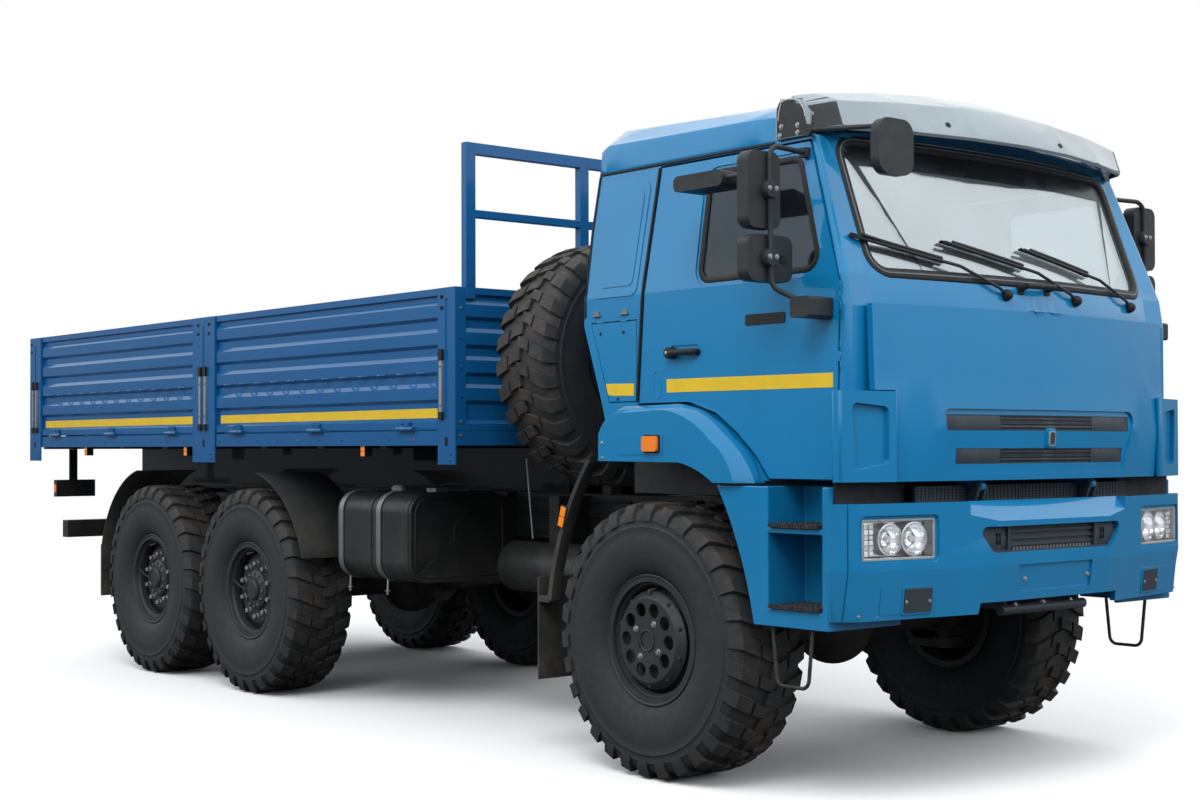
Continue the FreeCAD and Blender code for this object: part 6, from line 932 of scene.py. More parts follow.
def wiper_details():
    """Blades and pivots of the wipers, and the grab handle on the cowl."""
    build = Builder()
    for middle in WIPER_PIVOTS:
        arm = [front(middle - WIPER_REACH * share, WIPER_PIVOT_Z + WIPER_RISE * rise, *CAB_SKIN)
               for share, rise in WIPER_ARM]
        arm = [lifted(spot, 0.014) for spot in arm]
        path = dense([a[0] for a in arm], 0.03)
        normals = [arm[int(i * len(arm) / len(path))][1] for i in range(len(path))]
        ribbon(build, path, normals, 0.007, 0.010, "rubber", sunk=0.010)
        top = [p + n * 0.012 + 0.004 * UP for p, n in zip(path, normals)]
        ribbon(build, top[1:-2], normals[1:-2], 0.014, 0.008, "rubber", sunk=0.004)
        build.revolve(WIPER_BOSS, *front(middle, WIPER_PIVOT_Z, *CAB_SKIN), "rubber", 22)
    feet = [front(y, z, *CAB_SKIN) for y, z in ((-0.115, 2.172), (0.075, 2.176))]
    ends = [lifted(foot, 0.045)[0] + 0.006 * UP for foot in feet]
    grip = dense([feet[0][0], ends[0]], 0.02)[:-1] + smooth_path(ends, 6)[:-1]
    build.tube(grip + dense([ends[1], feet[1][0]], 0.02), 0.013, "rubber", 12)
    for foot in feet:
        plate(build, foot, (0.040, 0.046, 0.008), 0.008, "rubber")
    build.done("wiper_blades", "cab", "black_plastic", bevel=0.001, segments=1)


def visor_details():
    """Bolts, end plates, smoked corners and edge trim of the sun visor, and the seats of the roof lamps."""
    build = Builder()
    for y, z in ((-0.451, 2.870), (0.314, 2.859)):
        stud(build, front(y, z, "sun_visor"), 0.013, 0.009, (-0.002, 0.004, 0.006), "rubber", 18)
    for _, side in SIDES:
        for x, z in VISOR_BOLTS:
            bolt(build, flank(x, z, side, "sun_visor"), 0.008)

        def end_plate(u, v):
            return flank(0.690 + (0.185 - 0.05 * v) * u, 2.794 + 0.155 * v, side, "sun_visor")
        patch(build, end_plate, 8, 6, 0.002, "plastic")

        def smoked(u, v):
            return front(side * (1.070 - 0.075 * u), 2.798 + (0.135 + 0.02 * u) * v, "sun_visor")
        patch(build, smoked, 8, 6, 0.0015, "smoke")
        spots = [flank(p.x, p.y, side, "sun_visor") for p in dense(VISOR_EDGE, 0.03)]
        strip(build, spots[2:-2], 0.006, 0.003, "bezel")
    build.done("visor_bolts", "cab", "visor_plastic")
    build = Builder()
    for y in (-0.150, 0.0, 0.150):
        top = struck(("cab_roof",), at(0.72, y, 4.0), -UP)
        plate(build, top, (0.082, 0.066, 0.020), 0.008, "rubber", up=FORWARD)
    build.done("roof_lamp_seats", "cab", "black_plastic", bevel=0.001)


def mirror_details():
    """Clamps with their two bolts, and the silvered faces of the mirrors."""
    for name, side in SIDES:
        build = Builder()
        for y, z, half_y, half_z in MIRROR_GLASSES:
            centre = at(0.892, side * 1.340, z)
            build.revolve(MIRROR_CLAMP, centre, FORWARD, "plastic", 26)
            for across in (-0.019, 0.019):
                bolt(build, (centre + Vector((0.026, across, 0.004)), FORWARD), 0.0075)
            face = (half_y * 2, half_z * 2, 0.034)
            plate(build, (at(0.823, side * y, z), -FORWARD), face, 0.003, "mirror")
            if half_y > half_z:
                plate(build, (at(0.888, side * y, z), FORWARD), (0.030, 0.034, 0.005), 0.004, "rubber",
                      push=(-0.072 * side, 0.0))
        build.done("mirror_faces_" + name, "door_" + name, "black_plastic", bevel=0.0015, segments=1)
    build = Builder()
    spot = at(1.262, -1.066, 2.772)
    build.rod(spot + Vector((0, 0, -0.03)), spot + Vector((0.02, 0, 0.03)), 0.013, "plastic", 14)
    build.rod(spot + Vector((-0.02, -0.018, 0.016)), spot + Vector((-0.02, 0.018, 0.016)), 0.006, "zinc", 10)
    build.done("front_mirror_clamp", "cab", "black_plastic")


# Front

# Headlamp opening, as distances from the middle and heights, and the two bowls as (share across, radius)
LAMP_INNER = 0.7423
LAMP_OUTER = 1.1247
LAMP_LOW = 1.0283
LAMP_HIGH = 1.1947
BOWLS = ((0.26, 0.064), (0.60, 0.060))
# A bowl's section as (share of its radius, distance out), and its bulb's as (radius, distance out)
BOWL = ((1.0, 0.0), (0.96, -0.010), (0.78, -0.030), (0.46, -0.044), (0, -0.048), (0, -0.052), (0.5, -0.050),
        (0.84, -0.036), (1.03, -0.012), (1.03, 0.0))
BULB = ((0.014, -0.030), (0.016, -0.020), (0.012, -0.010), (0, -0.008))
# Tail lamps: the box's inner and outer edge, and the lenses as (start, width) shares of the box
TAIL_INNER = 0.8503
TAIL_OUTER = 1.1497
TAIL_FACE_X = -6.731
TAIL_LENSES = ((0.10, 0.28, "red"), (0.40, 0.22, "clear"), (0.64, 0.26, "amber"))
SIDE_MARKERS_X = (-5.928, -4.407, -2.304)
GRILLE_INSERTS = ((1.559, 1.618), (1.419, 1.476))
MESH_X = 1.165
MESH_BAR_HEIGHTS = (1.272, 1.284, 1.296, 1.308)
MESH_BARS = ((-0.755, -0.43), (-0.37, 0.37), (0.43, 0.755))
# Step treads: the height of each, its teeth's face and the rows of raised rings
TREADS_Z = (0.8283, 1.1633)
TREAD_FACE_Y = 1.2335
TREAD_ROWS_Y = (1.055, 1.121, 1.187)
TREAD_RING = ((0.007, -0.002), (0.006, 0.004), (0.004, 0.004), (0.003, 0.0))


def front_panel_details():
    """Fine ribs of the grille inserts and the bare badge frame."""
    build = Builder()
    for low, high in GRILLE_INSERTS:
        for i in range(8):
            z = low + (high - low) * (i + 0.5) / 8
            for start, end in ((-0.325, -0.045), (0.045, 0.325)):
                spots = [front(y, z, "grille", "front_panel") for y in (start, (start + end) / 2, end)]
                strip(build, spots, 0.0032, 0.003, "grille")
    build.done("grille_ribs", "front_panel", "grille_grey", smooth_angle=50)
    build = Builder()
    spot = front(0.0, 1.522, "front_panel")
    plate(build, spot, (0.060, 0.080, 0.016), 0.006, "cab_blue")
    plate(build, spot, (0.046, 0.066, 0.013), 0.009, "bezel")
    plate(build, spot, (0.036, 0.056, 0.010), 0.0095, "grille")
    build.done("badge_frame", "front_panel", "cab_paint", bevel=0.0015)


def sleeve(build, spot, outer, inner, low, high, step=0.0):
    """A plain ring about a spot's normal, its inner edge a step higher."""
    profile = [(outer, low), (outer, high), (inner, high + step), (inner, low)]
    build.revolve(profile, *spot, "bezel", 40, closed=True)


def headlamp(side):
    """A clear lamp with two bowls, a column of small reflectors and a moulded bezel."""
    build = Builder()

    def face(u, v, depth=0.0):
        y = side * (LAMP_INNER + 0.004 + (LAMP_OUTER - LAMP_INNER - 0.008) * u)
        return lifted(front(y, LAMP_LOW + 0.004 + (LAMP_HIGH - LAMP_LOW - 0.008) * v, "lamps"), -depth)
    patch(build, lambda u, v: face(0.03 + 0.94 * u, 0.05 + 0.90 * v, 0.060), 24, 6, 0.002, "chrome",
          sunk=0.006)
    corners = [face(u, v, 0.003) for u, v in ((0.0, 0.0), (1.0, 0.0), (1.0, 1.0), (0.0, 1.0))]
    loop = dense([p[0] for p in corners], 0.03, True)
    ribbon(build, loop, [corners[0][1]] * len(loop), 0.012, 0.006, "bezel", True, sunk=0.055)
    for share, radius in BOWLS:
        spot = face(share, 0.50, 0.008)
        build.revolve([(radius * part, out) for part, out in BOWL], *spot, "chrome", 40, closed=True)
        sleeve(build, spot, radius * 0.50, radius * 0.46, -0.043, -0.030)
        sleeve(build, spot, radius * 1.10, radius * 1.0, -0.052, -0.001, 0.002)
        build.revolve(BULB, *spot, "clear", 20)
    for row in range(6):
        for column in range(2):
            spot = face(0.85 + 0.07 * column, 0.16 + 0.135 * row, 0.030)
            plate(build, spot, (0.021, 0.018, 0.003), 0.016, "clear" if row % 2 else "chrome")
    for row in range(9):
        spots = [face(u, 0.07 + 0.86 * row / 8, 0.054) for u in (0.05, 0.5, 0.95)]
        strip(build, spots, 0.004, 0.004, "chrome")
    return build


def slab(build, ends, side, near, far, low, high, material):
    """A block between two distances from the middle on one side."""
    y0, y1 = sorted((side * near, side * far))
    build.box(at(ends[0], y0, low), at(ends[1], y1, high), material)


def tail_lamp(build, side):
    """A tail lamp on its stay, with three lenses behind and a marker on its side."""
    slab(build, (TAIL_FACE_X, -6.677), side, TAIL_INNER, TAIL_OUTER, 1.133, 1.2575, "rubber")
    slab(build, (-6.737, -6.722), side, 0.970, 1.030, 1.25, 1.4857, "black")
    wide = TAIL_OUTER - TAIL_INNER
    for start, width, look in TAIL_LENSES:
        middle = at(TAIL_FACE_X, side * (TAIL_INNER + wide * (start + width / 2)), 1.1945)
        plate(build, (middle, -FORWARD), (wide * width, 0.098, 0.014), 0.006, look)
    plate(build, side_spot(-6.704, TAIL_OUTER, 1.195, side), (0.034, 0.06, 0.006), 0.004, "amber")
    for x in (-6.72, -6.69):
        bolt(build, side_spot(x, TAIL_OUTER, 1.148, side), 0.004)


def lamp_details():
    """Headlamps, tail lamps and amber markers in place of the plain lamp solids."""
    for name, side in SIDES:
        piece = headlamp(side).done("headlamp_" + name, "chassis", "lamp_clear", bevel=0.0008, segments=1)
        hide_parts("lamps")
        build = Builder()

        def face(u, v):
            return front(side * (LAMP_INNER + 0.0003 + 0.3818 * u), LAMP_LOW + 0.0003 + 0.1658 * v, "lamps")
        patch(build, face, 24, 4, 0.0, "lamp_glass", sunk=0.003)
        cover = build.done("headlamp_cover_" + name, "chassis", "lamp_clear")
        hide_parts("lamps")
    build = Builder()
    for _, side in SIDES:
        tail_lamp(build, side)
        for x in SIDE_MARKERS_X:
            slab(build, (x - 0.021, x + 0.021), side, 1.206, 1.2545, 1.4405, 1.4995, "black")
            for z in (1.456, 1.484):
                plate(build, side_spot(x, 1.250, z, side), (0.040, 0.025, 0.004), 0.0048, "amber")
    piece = build.done("tail_lamps_and_markers", "chassis", "lamp_amber", bevel=0.002)
    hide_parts("lamps")


def bumper_details():
    """Fog lamp blanks, plate screws and the bumper's bolts."""
    build = Builder()
    for _, side in SIDES:
        def over(u, v):
            place, normal = front(side * (0.895 + 0.136 * u), 0.806 + 0.117 * v, "bumper")
            flat = front(side * (0.890 + 0.146 * round(u)), 0.806 + 0.117 * v, "bumper")[0]
            lift = (flat - place).dot(normal)
            return place + normal * max(0.0, min(0.0107, lift + 0.0012)), normal
        patch(build, over, 10, 6, 0.0012, "cab_blue")
        spot = front(side * 0.836, 0.862, "bumper")
        plate(build, spot, (0.168, 0.118, 0.010), 0.005, "cab_blue")
        plate(build, spot, (0.148, 0.098, 0.006), 0.008, "grille")
        for across in (-0.062, 0.062):
            bolt(build, lifted(front(side * 0.836 + across, 0.856, "bumper"), 0.007), 0.0055)
        bolt(build, front(side * 1.130, 0.806, "bumper"), 0.005)
    for y in (-0.205, 0.248):
        bolt(build, front(y, 0.919, "bumper"), 0.008)
    build.done("bumper_fittings", "chassis", "cab_paint", bevel=0.0015)


def intake_details():
    """End plates, slots and teeth of the bumper's intake, the mesh over it and three bolts below it; the
    slots are dark plates of painted shade.
    """
    build = Builder()
    for side in (-1, 1):
        def end_plate(u, v):
            return front(side * (0.325 + (0.150 + 0.045 * v) * u), 1.050 + 0.092 * v, "bumper_beam")
        patch(build, end_plate, 6, 2, 0.006, "grille")
        # The slots are dark plates of painted shade
        for y in (0.365, 0.385):
            slot = lifted(front(side * y, 1.098, "bumper_beam"), 0.006)
            plate(build, slot, (0.006, 0.050, 0.0028), 0.002, "hole_shade")
        plate(build, front(side * 0.312, 1.098, "bumper_beam"), (0.014, 0.096, 0.004), 0.013, "grille")
    for i in range(24):
        spot = front(-0.264 + 0.548 * i / 23, 1.052, "bumper_beam")
        plate(build, spot, (0.013, 0.013, 0.003), 0.010, "steel")
    for z in MESH_BAR_HEIGHTS:
        for start, end in MESH_BARS:
            strip(build, [(at(MESH_X, y, z), FORWARD) for y in (start, end)], 0.003, 0.003, "grille")
    for i in range(60):
        y = -0.75 + 1.5 * i / 59
        if abs(abs(y) - 0.4) >= 0.035:
            strip(build, [(at(MESH_X, y, z), FORWARD) for z in (1.262, 1.318)], 0.003, 0.004, "grille")
    for y in (-0.20, 0.0, 0.20):
        bolt(build, (at(1.243, y, 0.806), Vector((0.2, 0, 1)).normalized()), 0.009)
    build.done("intake_fittings", "chassis", "black_plastic", smooth_angle=45)


def step_details():
    """Teeth along the step treads' edges and rows of raised rings on their tops."""
    build = Builder()
    for _, side in SIDES:
        for z in TREADS_Z:
            for i in range(19):
                x = 0.785 + 0.262 * i / 18
                tooth = ((x - 0.005, z - 0.006), (x + 0.005, z - 0.006), (x, z + 0.008))
                build.prism([at(u, side * TREAD_FACE_Y, v) for u, v in tooth], side * 0.007 * LEFT, "step")
            for y in TREAD_ROWS_Y:
                for i in range(9):
                    place = at(0.800 + 0.232 * i / 8, side * y, z + 0.008)
                    build.revolve(TREAD_RING, place, UP, "step", 10)
    build.done("tread_teeth", "chassis", "black_plastic", smooth_angle=30)


# Wheels

# Turned profiles as (radius, distance out) points
LOCK_RING = ((0.276, 0.158), (0.284, 0.1695), (0.291, 0.1715), (0.296, 0.1690), (0.294, 0.160))
INNER_RING = ((0.244, 0.136), (0.250, 0.146), (0.257, 0.147), (0.262, 0.141), (0.262, 0.132))
HUB_RING = ((0.050, -0.001), (0.050, 0.004), (0.046, 0.006), (0.042, 0.004), (0.042, -0.001))
HUB_HOLE = ((0.017, -0.001), (0.017, 0.0012), (0, 0.0012))
HUB_CAP = ((0.062, 0.120), (0.062, 0.142), (0.052, 0.150), (0, 0.152))
AIR_HOSE = ((0.060, 0.148, 0.0), (0.13, 0.158, 0.02), (0.20, 0.150, 0.045), (0.245, 0.142, 0.060))
VALVE = ((0, 0.130, 0.232), (0, 0.160, 0.226), (0, 0.178, 0.222))
FRONT_HUB_FACE = 0.186


def ring_spot(radius, out, angle):
    """A spot on a wheel's face, at a radius and an angle about the Y axis."""
    return Vector((radius * math.cos(angle), out, radius * math.sin(angle))), LEFT


def front_hub(build):
    """Bolts and ring of a steered wheel's hub, a dark disc of painted shade for its hole, and its rim's nuts.
    """
    for angle in turns(4, 0.35):
        bolt(build, ring_spot(0.088, FRONT_HUB_FACE, angle), 0.010)
    # The hub's hole is a dark disc of painted shade
    build.revolve(HUB_HOLE, Vector((0.045, FRONT_HUB_FACE, -0.02)), LEFT, "hole_shade", 20)
    build.revolve(HUB_RING, Vector((0, FRONT_HUB_FACE, 0)), LEFT, "rim", 48, closed=True)
    for angle in turns(10, 0.5):
        stud(build, ring_spot(0.204, 0.166, angle), 0.010, 0.008, (-0.004, 0.008, 0.010), "rim", 6)


def rear_hub(build):
    """Wheel nuts, hub bolts and cap of a rear wheel, with its air hose."""
    for angle in turns(10, 0.5):
        spot = ring_spot(0.162, 0.104, angle)
        stud(build, spot, 0.021, 0.017, (-0.004, 0.006, 0.010), "steel", 18)
        stud(build, spot, 0.0165, 0.013, (0.004, 0.026, 0.031), "zinc", 6)
    for angle in turns(12):
        stud(build, ring_spot(0.100, 0.131, angle), 0.008, 0.006, (-0.004, 0.006, 0.008), "steel", 6)
    build.revolve(HUB_CAP, ORIGIN, LEFT, "rim", 40)
    build.tube(smooth_path(AIR_HOSE, 5), 0.007, "rubber", 8)


def wheel_trim(row):
    """Nuts, lock ring and hub details of one wheel, with its outer side along Y."""
    build = Builder()
    for profile in (LOCK_RING, INNER_RING):
        build.revolve(profile, ORIGIN, LEFT, "rim", 72, closed=True)
    if row == "front":
        front_hub(build)
    else:
        rear_hub(build)
    build.tube(VALVE, 0.005, "steel", 8)
    return build


def wheel_details():
    """The trims of the six wheels and of the spare wheel."""
    places = [(row, row + "_" + name, 180 if side < 0 else 0) for row in WHEEL_ROWS for name, side in SIDES]
    for row, wheel, facing in places:
        piece = wheel_trim(row).done("wheel_trim_" + wheel, "wheel_" + wheel, "rim_paint")
        aim(piece, "tyre_" + wheel, facing)
    aim(wheel_trim("spare").done("wheel_trim_spare", "chassis", "rim_paint"), "spare_tyre", -90)


def aim(piece, node, facing):
    """Moves a mesh drawn about the origin onto a node's middle, turned by an angle in degrees."""
    low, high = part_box(node)
    turn = Matrix.Rotation(math.radians(facing), 4, "Z")
    piece.data.transform(Matrix.Translation((low + high) / 2) @ turn)


# Bed

POST_Y = 1.275
DROPSIDES = (("front", -3.967, -1.562), ("rear", -6.670, -4.274))
# Latch bars on the posts as (x, lower end, upper end)
LATCH_BARS = ((-1.516, 1.666, 1.943), (-4.086, 1.634, 1.947), (-4.153, 1.634, 1.947), (-6.800, 1.640, 1.930),
              (-6.742, 1.640, 1.930))
# Slots and bolts on the posts, as distances along the bed; the slots are dark plates of painted shade
UPPER_SLOTS_X = (-4.190, -4.047, -1.516, -6.842)
LOWER_SLOTS_X = (-1.478, -4.118, -6.775)
FOOT_BOLTS_X = (-1.440, -4.02, -6.70)
# Bolts up the front posts as (height, material)
POST_BOLTS = ((1.55, "steel"), (1.62, "steel"), (1.75, "bed_blue"), (1.90, "bed_blue"), (2.05, "bed_blue"),
              (2.20, "steel"))


def ribbed_wall_details(node, side, x0, x1):
    """Yellow stripe, rope loops and small fittings on one dropside."""
    build = Builder()
    long = x1 - x0
    flank_band(build, (x0 + 0.03, 1.642), (x1 - 0.03, 1.642), 0.050, 6, side, node)
    count = int((long - 0.3) / 0.185)
    for i in range(count + 1):
        place, normal = flank(x0 + 0.15 + (long - 0.3) * i / count, 1.886, side, node)
        half = [place + Vector((0.030 * math.cos(angle), normal.y * 0.020 * math.sin(angle), -0.010))
                for angle in turns(16)[:9]]
        build.tube(half, 0.0055, "bed_blue", 8)
    for x in (x0 + 0.02, x1 - 0.02):
        for z in (1.70, 2.25):
            bolt(build, flank(x, z, side, node), 0.006, "bed_blue")
    for share in (0.12, 0.5, 0.88):
        spot = flank(x0 + long * share, 1.617, side, node)
        plate(build, spot, (0.080, 0.030, 0.006), 0.010, "bed_blue")
        place, normal = lifted(spot, 0.010)
        for shift in (0.026, -0.026):
            bolt(build, (place + shift * FORWARD, normal), 0.006, "bed_blue")
    build.done("fittings_" + node, node, "bed_paint", smooth_angle=40)


def post_details():
    """Latch bars, slots and bolts on the bed's posts, and the bolts along the bed's edge; the slots are dark
    plates of painted shade.
    """
    build = Builder()
    for _, side in SIDES:
        for x, low, high in LATCH_BARS:
            middle, half = (low + high) / 2, (high - low) / 2
            spot = side_spot(x, POST_Y, middle, side)
            plate(build, spot, (0.024, high - low, 0.008), 0.012, "zinc")
            plate(build, spot, (0.032, 0.060, 0.006), 0.016, "rubber", push=(0.0, half + 0.022))
            plate(build, spot, (0.032, 0.040, 0.006), 0.016, "rubber", push=(0.0, -half - 0.014))
            for z in (middle - 0.10, middle + 0.10):
                bolt(build, side_spot(x, POST_Y + 0.012, z, side), 0.005, "steel")
        # The slots are dark plates of painted shade
        for x in UPPER_SLOTS_X:
            for z in (2.205, 2.262):
                plate(build, side_spot(x, POST_Y, z, side), (0.030, 0.018, 0.004), 0.0012, "hole_shade")
        for x in LOWER_SLOTS_X:
            plate(build, side_spot(x, POST_Y, 1.520, side), (0.024, 0.048, 0.011), 0.0012, "hole_shade")
        for x in FOOT_BOLTS_X:
            for z in (1.425, 1.455):
                bolt(build, side_spot(x, POST_Y, z, side), 0.006, "bed_blue")
        for z, look in POST_BOLTS:
            bolt(build, (at(-1.400, side * 1.238, z), FORWARD), 0.006, look)
        for i in range(22):
            x = -6.55 + 5.0 * i / 21
            if not -4.30 < x < -3.95:
                bolt(build, flank(x, 1.532, side, "bed_floor"), 0.0045, "bed_blue" if i % 5 else "steel")
    build.done("latch_bars", "chassis", "bed_paint", bevel=0.0015, segments=1)


def bed_details():
    """Fittings of the four dropsides and of the posts."""
    for name, side in SIDES:
        for part, x0, x1 in DROPSIDES:
            ribbed_wall_details("dropside_%s_%s" % (part, name), side, x0, x1)
    post_details()


# Chassis equipment

# Fuel tank's section and the pressed lines on its end as (y, z) points
TANK_TOP = 1.2425
TANK_BOTTOM = 0.7555
TANK_OUTER = 1.1505
TANK_CORNER = 0.11
TANK_STRAPS_X = (-2.688, -2.302)
TANK_END_LINES = (((-1.085, 0.80), (-1.00, 0.875), (-0.90, 0.875), (-0.80, 0.80)),
                  ((-0.75, 1.14), (-0.86, 1.06), (-0.86, 0.97)))
TANK_CAP = ((0.046, -0.012), (0.046, 0.006), (0.040, 0.010), (0.040, 0.016), (0.030, 0.019), (0, 0.019))
SENDER_LEAD = ((-2.11, -0.89, 1.262), (-2.09, -0.86, 1.285), (-1.98, -0.78, 1.285), (-1.9, -0.60, 1.25))
# Pipes along the frame as (height, radius)
PIPES = ((1.03, 0.008), (1.13, 0.011), (1.21, 0.008))
GUARD_RIBS = ((-0.422, 1.412), (-0.438, 1.388), (-0.455, 1.364))
RAIL_Y = 0.435
PIPE_Y = 0.4385
REFLECTOR_TILT = Matrix.Rotation(math.radians(16), 3, "Y")


def tank_strap(build, x):
    """One bright strap over, round and under the tank, with its tension rod."""
    spots = [(at(x, -y, TANK_TOP + 0.004), UP) for y in (0.56, 0.80, 1.0)]
    for z, start in ((TANK_TOP - TANK_CORNER, 90), (TANK_BOTTOM + TANK_CORNER, 0)):
        for i in range(9):
            angle = math.radians(start - 90 * i / 8)
            out = Vector((0, -math.cos(angle), math.sin(angle)))
            spots.append((at(x, TANK_CORNER - TANK_OUTER, z) + out * (TANK_CORNER + 0.004), out))
    spots += [(at(x, -y, TANK_BOTTOM - 0.004), -UP) for y in (0.98, 0.80, 0.60)]
    strip(build, spots, 0.044, 0.003, "steel")
    foot = at(x, -1.090, 0.752)
    build.rod(foot + 0.03 * UP, foot + Vector((0, -0.004, -0.075)), 0.006, "zinc", 10)
    bolt(build, (foot + Vector((0, -0.003, -0.052)), -UP), 0.010)


def tank_details():
    """Straps, the filler cap, the sender with its lead and the pressed end."""
    build = Builder()
    for x in TANK_STRAPS_X:
        tank_strap(build, x)
    build.revolve(TANK_CAP, at(-2.36, -0.974, 1.262), UP, "steel", 36)
    build.box(at(-2.16, -0.93, 1.240), at(-2.07, -0.85, 1.266), "steel")
    build.tube(smooth_path([at(*point) for point in SENDER_LEAD], 5), 0.006, "rubber", 8)
    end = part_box("fuel_tank")[1].x
    for outline in TANK_END_LINES:
        path = dense([(end, y, z) for y, z in outline], 0.03)
        ribbon(build, path, [FORWARD] * len(path), 0.022, 0.004, "black")
    path = [Vector((end, -0.826 + u, 0.999 + v)) for u, v in rounded(0.585, 0.425, 0.085, 6)]
    ribbon(build, path, [FORWARD] * len(path), 0.014, 0.006, "black", True)
    build.done("tank_straps", "chassis", "black_paint", smooth_angle=40)


def chassis_details():
    """Reflectors, the thin stay rod, guard ribs, and the pipes and bolts seen beside the frame."""
    build = Builder()
    build.rod(at(-1.425, -0.80, 1.43), at(-1.37, -0.80, 1.01), 0.005, "steel", 10)
    for side in (-1, 1):
        lip = at(-0.584, side * 1.2305, 1.160)
        half = Vector((0.022, 0.004, 0.055))
        build.box(lip - half, lip + half, "rubber", REFLECTOR_TILT)
        # The reflectors take the amber lens, whose faint glow is painted glow on them, as reflectors are no
        # lamps
        for rise in (-0.025, 0.025):
            middle = lip + REFLECTOR_TILT @ (rise * UP)
            build.box(middle + Vector((-0.018, min(0, side * 0.009), -0.023)),
                      middle + Vector((0.018, max(0, side * 0.009), 0.023)), "amber", REFLECTOR_TILT)
        for x, z in GUARD_RIBS:
            build.rod(at(x, side * 1.172, z), at(x, side * 1.229, z), 0.006, "guard", 10)
    build.done("chassis_marks", "chassis", "lamp_amber", bevel=0.0015, segments=1)
    build = Builder()
    for side in (-1, 1):
        for z, radius in PIPES:
            line = ((-6.45, z), (-2.8, z), (-1.0, z - 0.01))
            build.tube(dense([at(x, side * PIPE_Y, level) for x, level in line], 0.4), radius, "rubber", 8)
        for i in range(26):
            for z in (1.02, 1.20):
                bolt(build, side_spot(-6.4 + 0.28 * i, RAIL_Y, z, side), 0.008, "black")
    build.done("frame_lines", "chassis", "black_paint", smooth_angle=50)


# Inside the cab

SEATS = (("right", -0.520), ("left", 0.480))
BACK_RAKE = Matrix.Rotation(math.radians(-10.5), 3, "Y")
# Side outline of the wheel arch's inner wall as (x, z) points
ARCH_WALL = ((-0.42, 1.27), (1.07, 1.27), (1.07, 1.342), (1.138, 1.342), (1.138, 1.40), (0.64, 1.40),
             (0.60, 1.595), (-0.42, 1.595))


def padded_part(name, middle, turn, core, crown, bolster):
    """A seat's pad: a core, a crown and two side bolsters, each as (x, y, z) and half sizes."""
    build = Builder()
    for (x, y, z), half, power in (core + (0.34,), crown + (0.5,)):
        pillow(build, at(x, middle + y, z), half, turn, power)
    (x, y, z), half = bolster
    for side in (-1, 1):
        pillow(build, at(x, middle + side * y, z), half, turn, 0.55)
    piece = build.done(name, "cab", "seat_cloth", smooth_angle=80)
    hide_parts("seats")


def seat_pieces():
    """Padded seats on their boxes in place of the plain ones."""
    for name, middle in SEATS:
        build = Builder()
        build.box(at(0.012, middle - 0.21, 1.6045), at(0.428, middle + 0.21, 1.822), "plastic")
        for z in (1.68, 1.74):
            build.box(at(0.005, middle - 0.212, z), at(0.434, middle + 0.212, z + 0.01), "rubber")
        base = build.done("seat_base_" + name, "cab", "seat_cloth", bevel=0.008)
        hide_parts("seats")
        padded_part("seat_cushion_" + name, middle, Matrix.Identity(3),
                    ((0.220, 0.0, 1.876), (0.258, 0.248, 0.068)),
                    ((0.235, 0.0, 1.905), (0.200, 0.150, 0.050)),
                    ((0.225, 0.200, 1.895), (0.240, 0.050, 0.056)))
        padded_part("seat_back_" + name, middle, BACK_RAKE,
                    ((-0.030, 0.0, 2.195), (0.062, 0.238, 0.292)),
                    ((0.006, 0.0, 2.170), (0.048, 0.150, 0.220)),
                    ((-0.004, 0.192, 2.170), (0.058, 0.048, 0.240)))


def cab_lining():
    """Dark lining on the cab's rear wall, and the mat, as seen through the glass."""
    build = Builder()
    build.box(at(-0.466, -1.02, 1.66), at(-0.458, 1.02, 2.72), "trim")
    build.box(at(0.0, -1.05, 1.606), at(0.55, 1.05, 1.612), "rubber")
    build.done("cab_lining", "cab", "seat_cloth", bevel=0.003)


def arch_pieces():
    """Inner walls of the front wheel arches, and the seals that close the slot over the bumper."""
    build = Builder()
    for side in (-1, 1):
        build.prism([at(x, side * 0.915, z) for x, z in ARCH_WALL], side * 0.008 * LEFT, "guard")
    build.box(at(1.128, -1.19, 1.3425), at(1.138, 1.19, 1.40), "guard")
    build.box(at(-0.42, -0.915, 1.305), at(-0.41, 0.915, 1.50), "guard")
    build.done("arch_liners", "cab", "black_plastic", bevel=0.002)
    build = Builder()
    for side in (-1, 1):
        slab(build, (1.103, 1.110), side, 0.765, 1.19, 1.25, 1.3415, "rubber")
    build.done("bumper_seals", "chassis", "black_plastic", bevel=0.001)


def make_details():
    for make in (cab_seals, tint_band, cab_side_details, locker_details, door_details, wiper_details,
                 visor_details, mirror_details, front_panel_details, lamp_details, bumper_details,
                 intake_details, step_details, wheel_details, bed_details, tank_details, chassis_details,
                 seat_pieces, cab_lining, arch_pieces):
        make()


# Stage

FLOOR_HALF = 60.0
FLOOR_FADE_START = 3.2
FLOOR_FADE_END = 7.0
FLOOR_GLOSS_GREY = 0.10
TRUCK_HALF_LENGTH = 3.0
SKY_STOPS = [(0.49, (0.10, 0.12, 0.14)), (0.53, (0.26, 0.30, 0.34)), (0.60, (0.95, 1.0, 1.0)),
             (1.0, (1.0, 1.0, 1.0))]
SKY_STRENGTH = 1.15
LIGHTS = (("key", (7.0, -7.0, 9.0), 5.0, 700.0), ("side", (-4.0, -10.0, 7.0), 8.0, 520.0),
          ("front", (10.0, 2.0, 5.0), 6.0, 260.0), ("back", (-9.0, 7.0, 8.0), 8.0, 250.0))
LIGHTS_AIM = Vector((0, 0, 1.2))


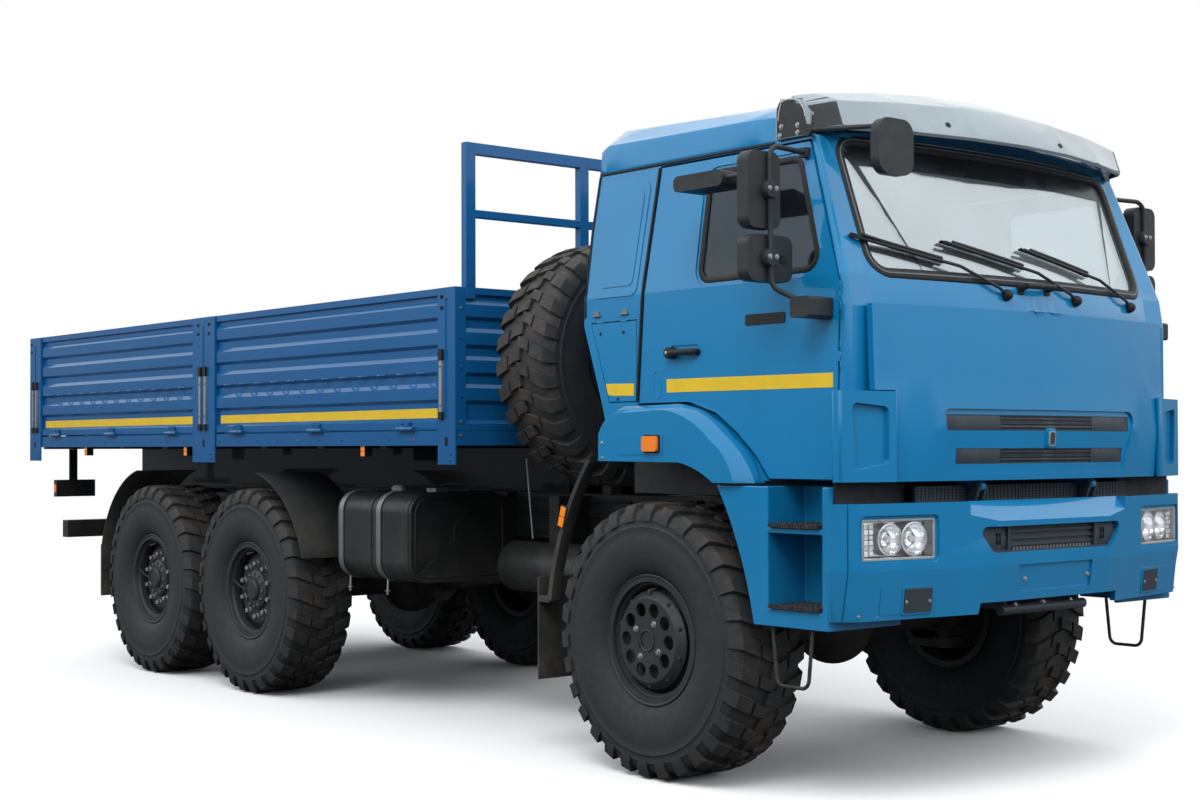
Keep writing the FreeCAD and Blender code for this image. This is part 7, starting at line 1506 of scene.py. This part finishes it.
def make_floor():
    """A floor that takes shadows near the truck, fades to white round it and is dull grey in reflections."""
    mesh = bpy.data.meshes.new("floor")
    corners = [(x * FLOOR_HALF, y * FLOOR_HALF, 0) for x, y in ((-1, -1), (1, -1), (1, 1), (-1, 1))]
    mesh.from_pydata(corners, [], [(0, 1, 2, 3)])
    floor = bpy.data.objects.new("floor", mesh)
    bpy.context.scene.collection.objects.link(floor)
    shader = Shader("floor_white")
    place = shader.split()
    past_truck = shader.math("SUBTRACT", shader.math("ABSOLUTE", place["X"]), TRUCK_HALF_LENGTH)
    distance = shader.reach(shader.math("MAXIMUM", past_truck, 0.0), place["Y"])
    fade = shader.fade(distance, FLOOR_FADE_START, FLOOR_FADE_END, interpolation_type="SMOOTHSTEP")
    shader.set(Base_Color=(0.84, 0.85, 0.86, 1.0), Roughness=0.95, Specular_IOR_Level=0.0)
    white = shader.add("ShaderNodeEmission")
    white.inputs["Color"].default_value = (1.0, 1.0, 1.0, 1.0)
    bare = shader.one_of(fade, shader.bsdf.outputs[0], white.outputs[0])
    road = shader.add("ShaderNodeBsdfDiffuse")
    road.inputs["Color"].default_value = (FLOOR_GLOSS_GREY, FLOOR_GLOSS_GREY, FLOOR_GLOSS_GREY * 1.05, 1.0)
    shader.surface(shader.one_of(shader.seen_directly(), road.outputs[0], bare))
    mesh.materials.append(shader.material)


def make_sky():
    """White behind the truck, and for reflections an open sky over a darker horizon."""
    world = bpy.data.worlds.new("studio")
    bpy.context.scene.world = world
    world.use_nodes = True
    nodes = Nodes(world.node_tree)
    background = nodes.tree.nodes["Background"]
    background.inputs["Color"].default_value = (1.0, 1.0, 1.0, 1.0)
    height = nodes.math("MULTIPLY_ADD", nodes.split("Generated")["Z"], 0.5, 0.5)
    sky = nodes.add("ShaderNodeBackground")
    nodes.link(nodes.ramp(height, SKY_STOPS), sky.inputs["Color"])
    sky.inputs["Strength"].default_value = SKY_STRENGTH
    seen = nodes.one_of(nodes.seen_directly(), sky.outputs[0], background.outputs[0])
    nodes.link(seen, nodes.tree.nodes["World Output"].inputs["Surface"])


def make_lights():
    for name, spot, size, power in LIGHTS:
        light = bpy.data.lights.new(name, "AREA")
        light.size = size
        light.energy = power
        lamp = bpy.data.objects.new(name, light)
        bpy.context.scene.collection.objects.link(lamp)
        lamp.location = spot
        lamp.visible_glossy = False
        lamp.rotation_euler = (LIGHTS_AIM - Vector(spot)).to_track_quat("-Z", "Y").to_euler()


def make_stage():
    make_floor()
    make_sky()
    make_lights()


def make_camera():
    data = bpy.data.cameras.new("camera")
    camera = bpy.data.objects.new("camera", data)
    bpy.context.scene.collection.objects.link(camera)
    level = math.cos(CAMERA_PITCH)
    ahead = Vector((math.cos(CAMERA_YAW) * level, math.sin(CAMERA_YAW) * level, math.sin(CAMERA_PITCH)))
    right = Vector((math.sin(CAMERA_YAW), -math.cos(CAMERA_YAW), 0.0))
    up = right.cross(ahead)
    turned_right = right * math.cos(CAMERA_ROLL) + up * math.sin(CAMERA_ROLL)
    turned_up = up * math.cos(CAMERA_ROLL) - right * math.sin(CAMERA_ROLL)
    basis = Matrix((turned_right, turned_up, -ahead)).transposed()
    camera.matrix_world = Matrix.Translation(at(*CAMERA_FROM_AXLE)) @ basis.to_4x4()
    data.lens = CAMERA_LENS
    data.sensor_width = CAMERA_SENSOR
    data.shift_y = CAMERA_SHIFT_Y
    data.clip_end = 500.0
    bpy.context.scene.camera = camera


make_camera()
make_stage()
dress_nodes()
make_tyres()
make_details()

bpy.context.scene.view_settings.view_transform = "Standard"
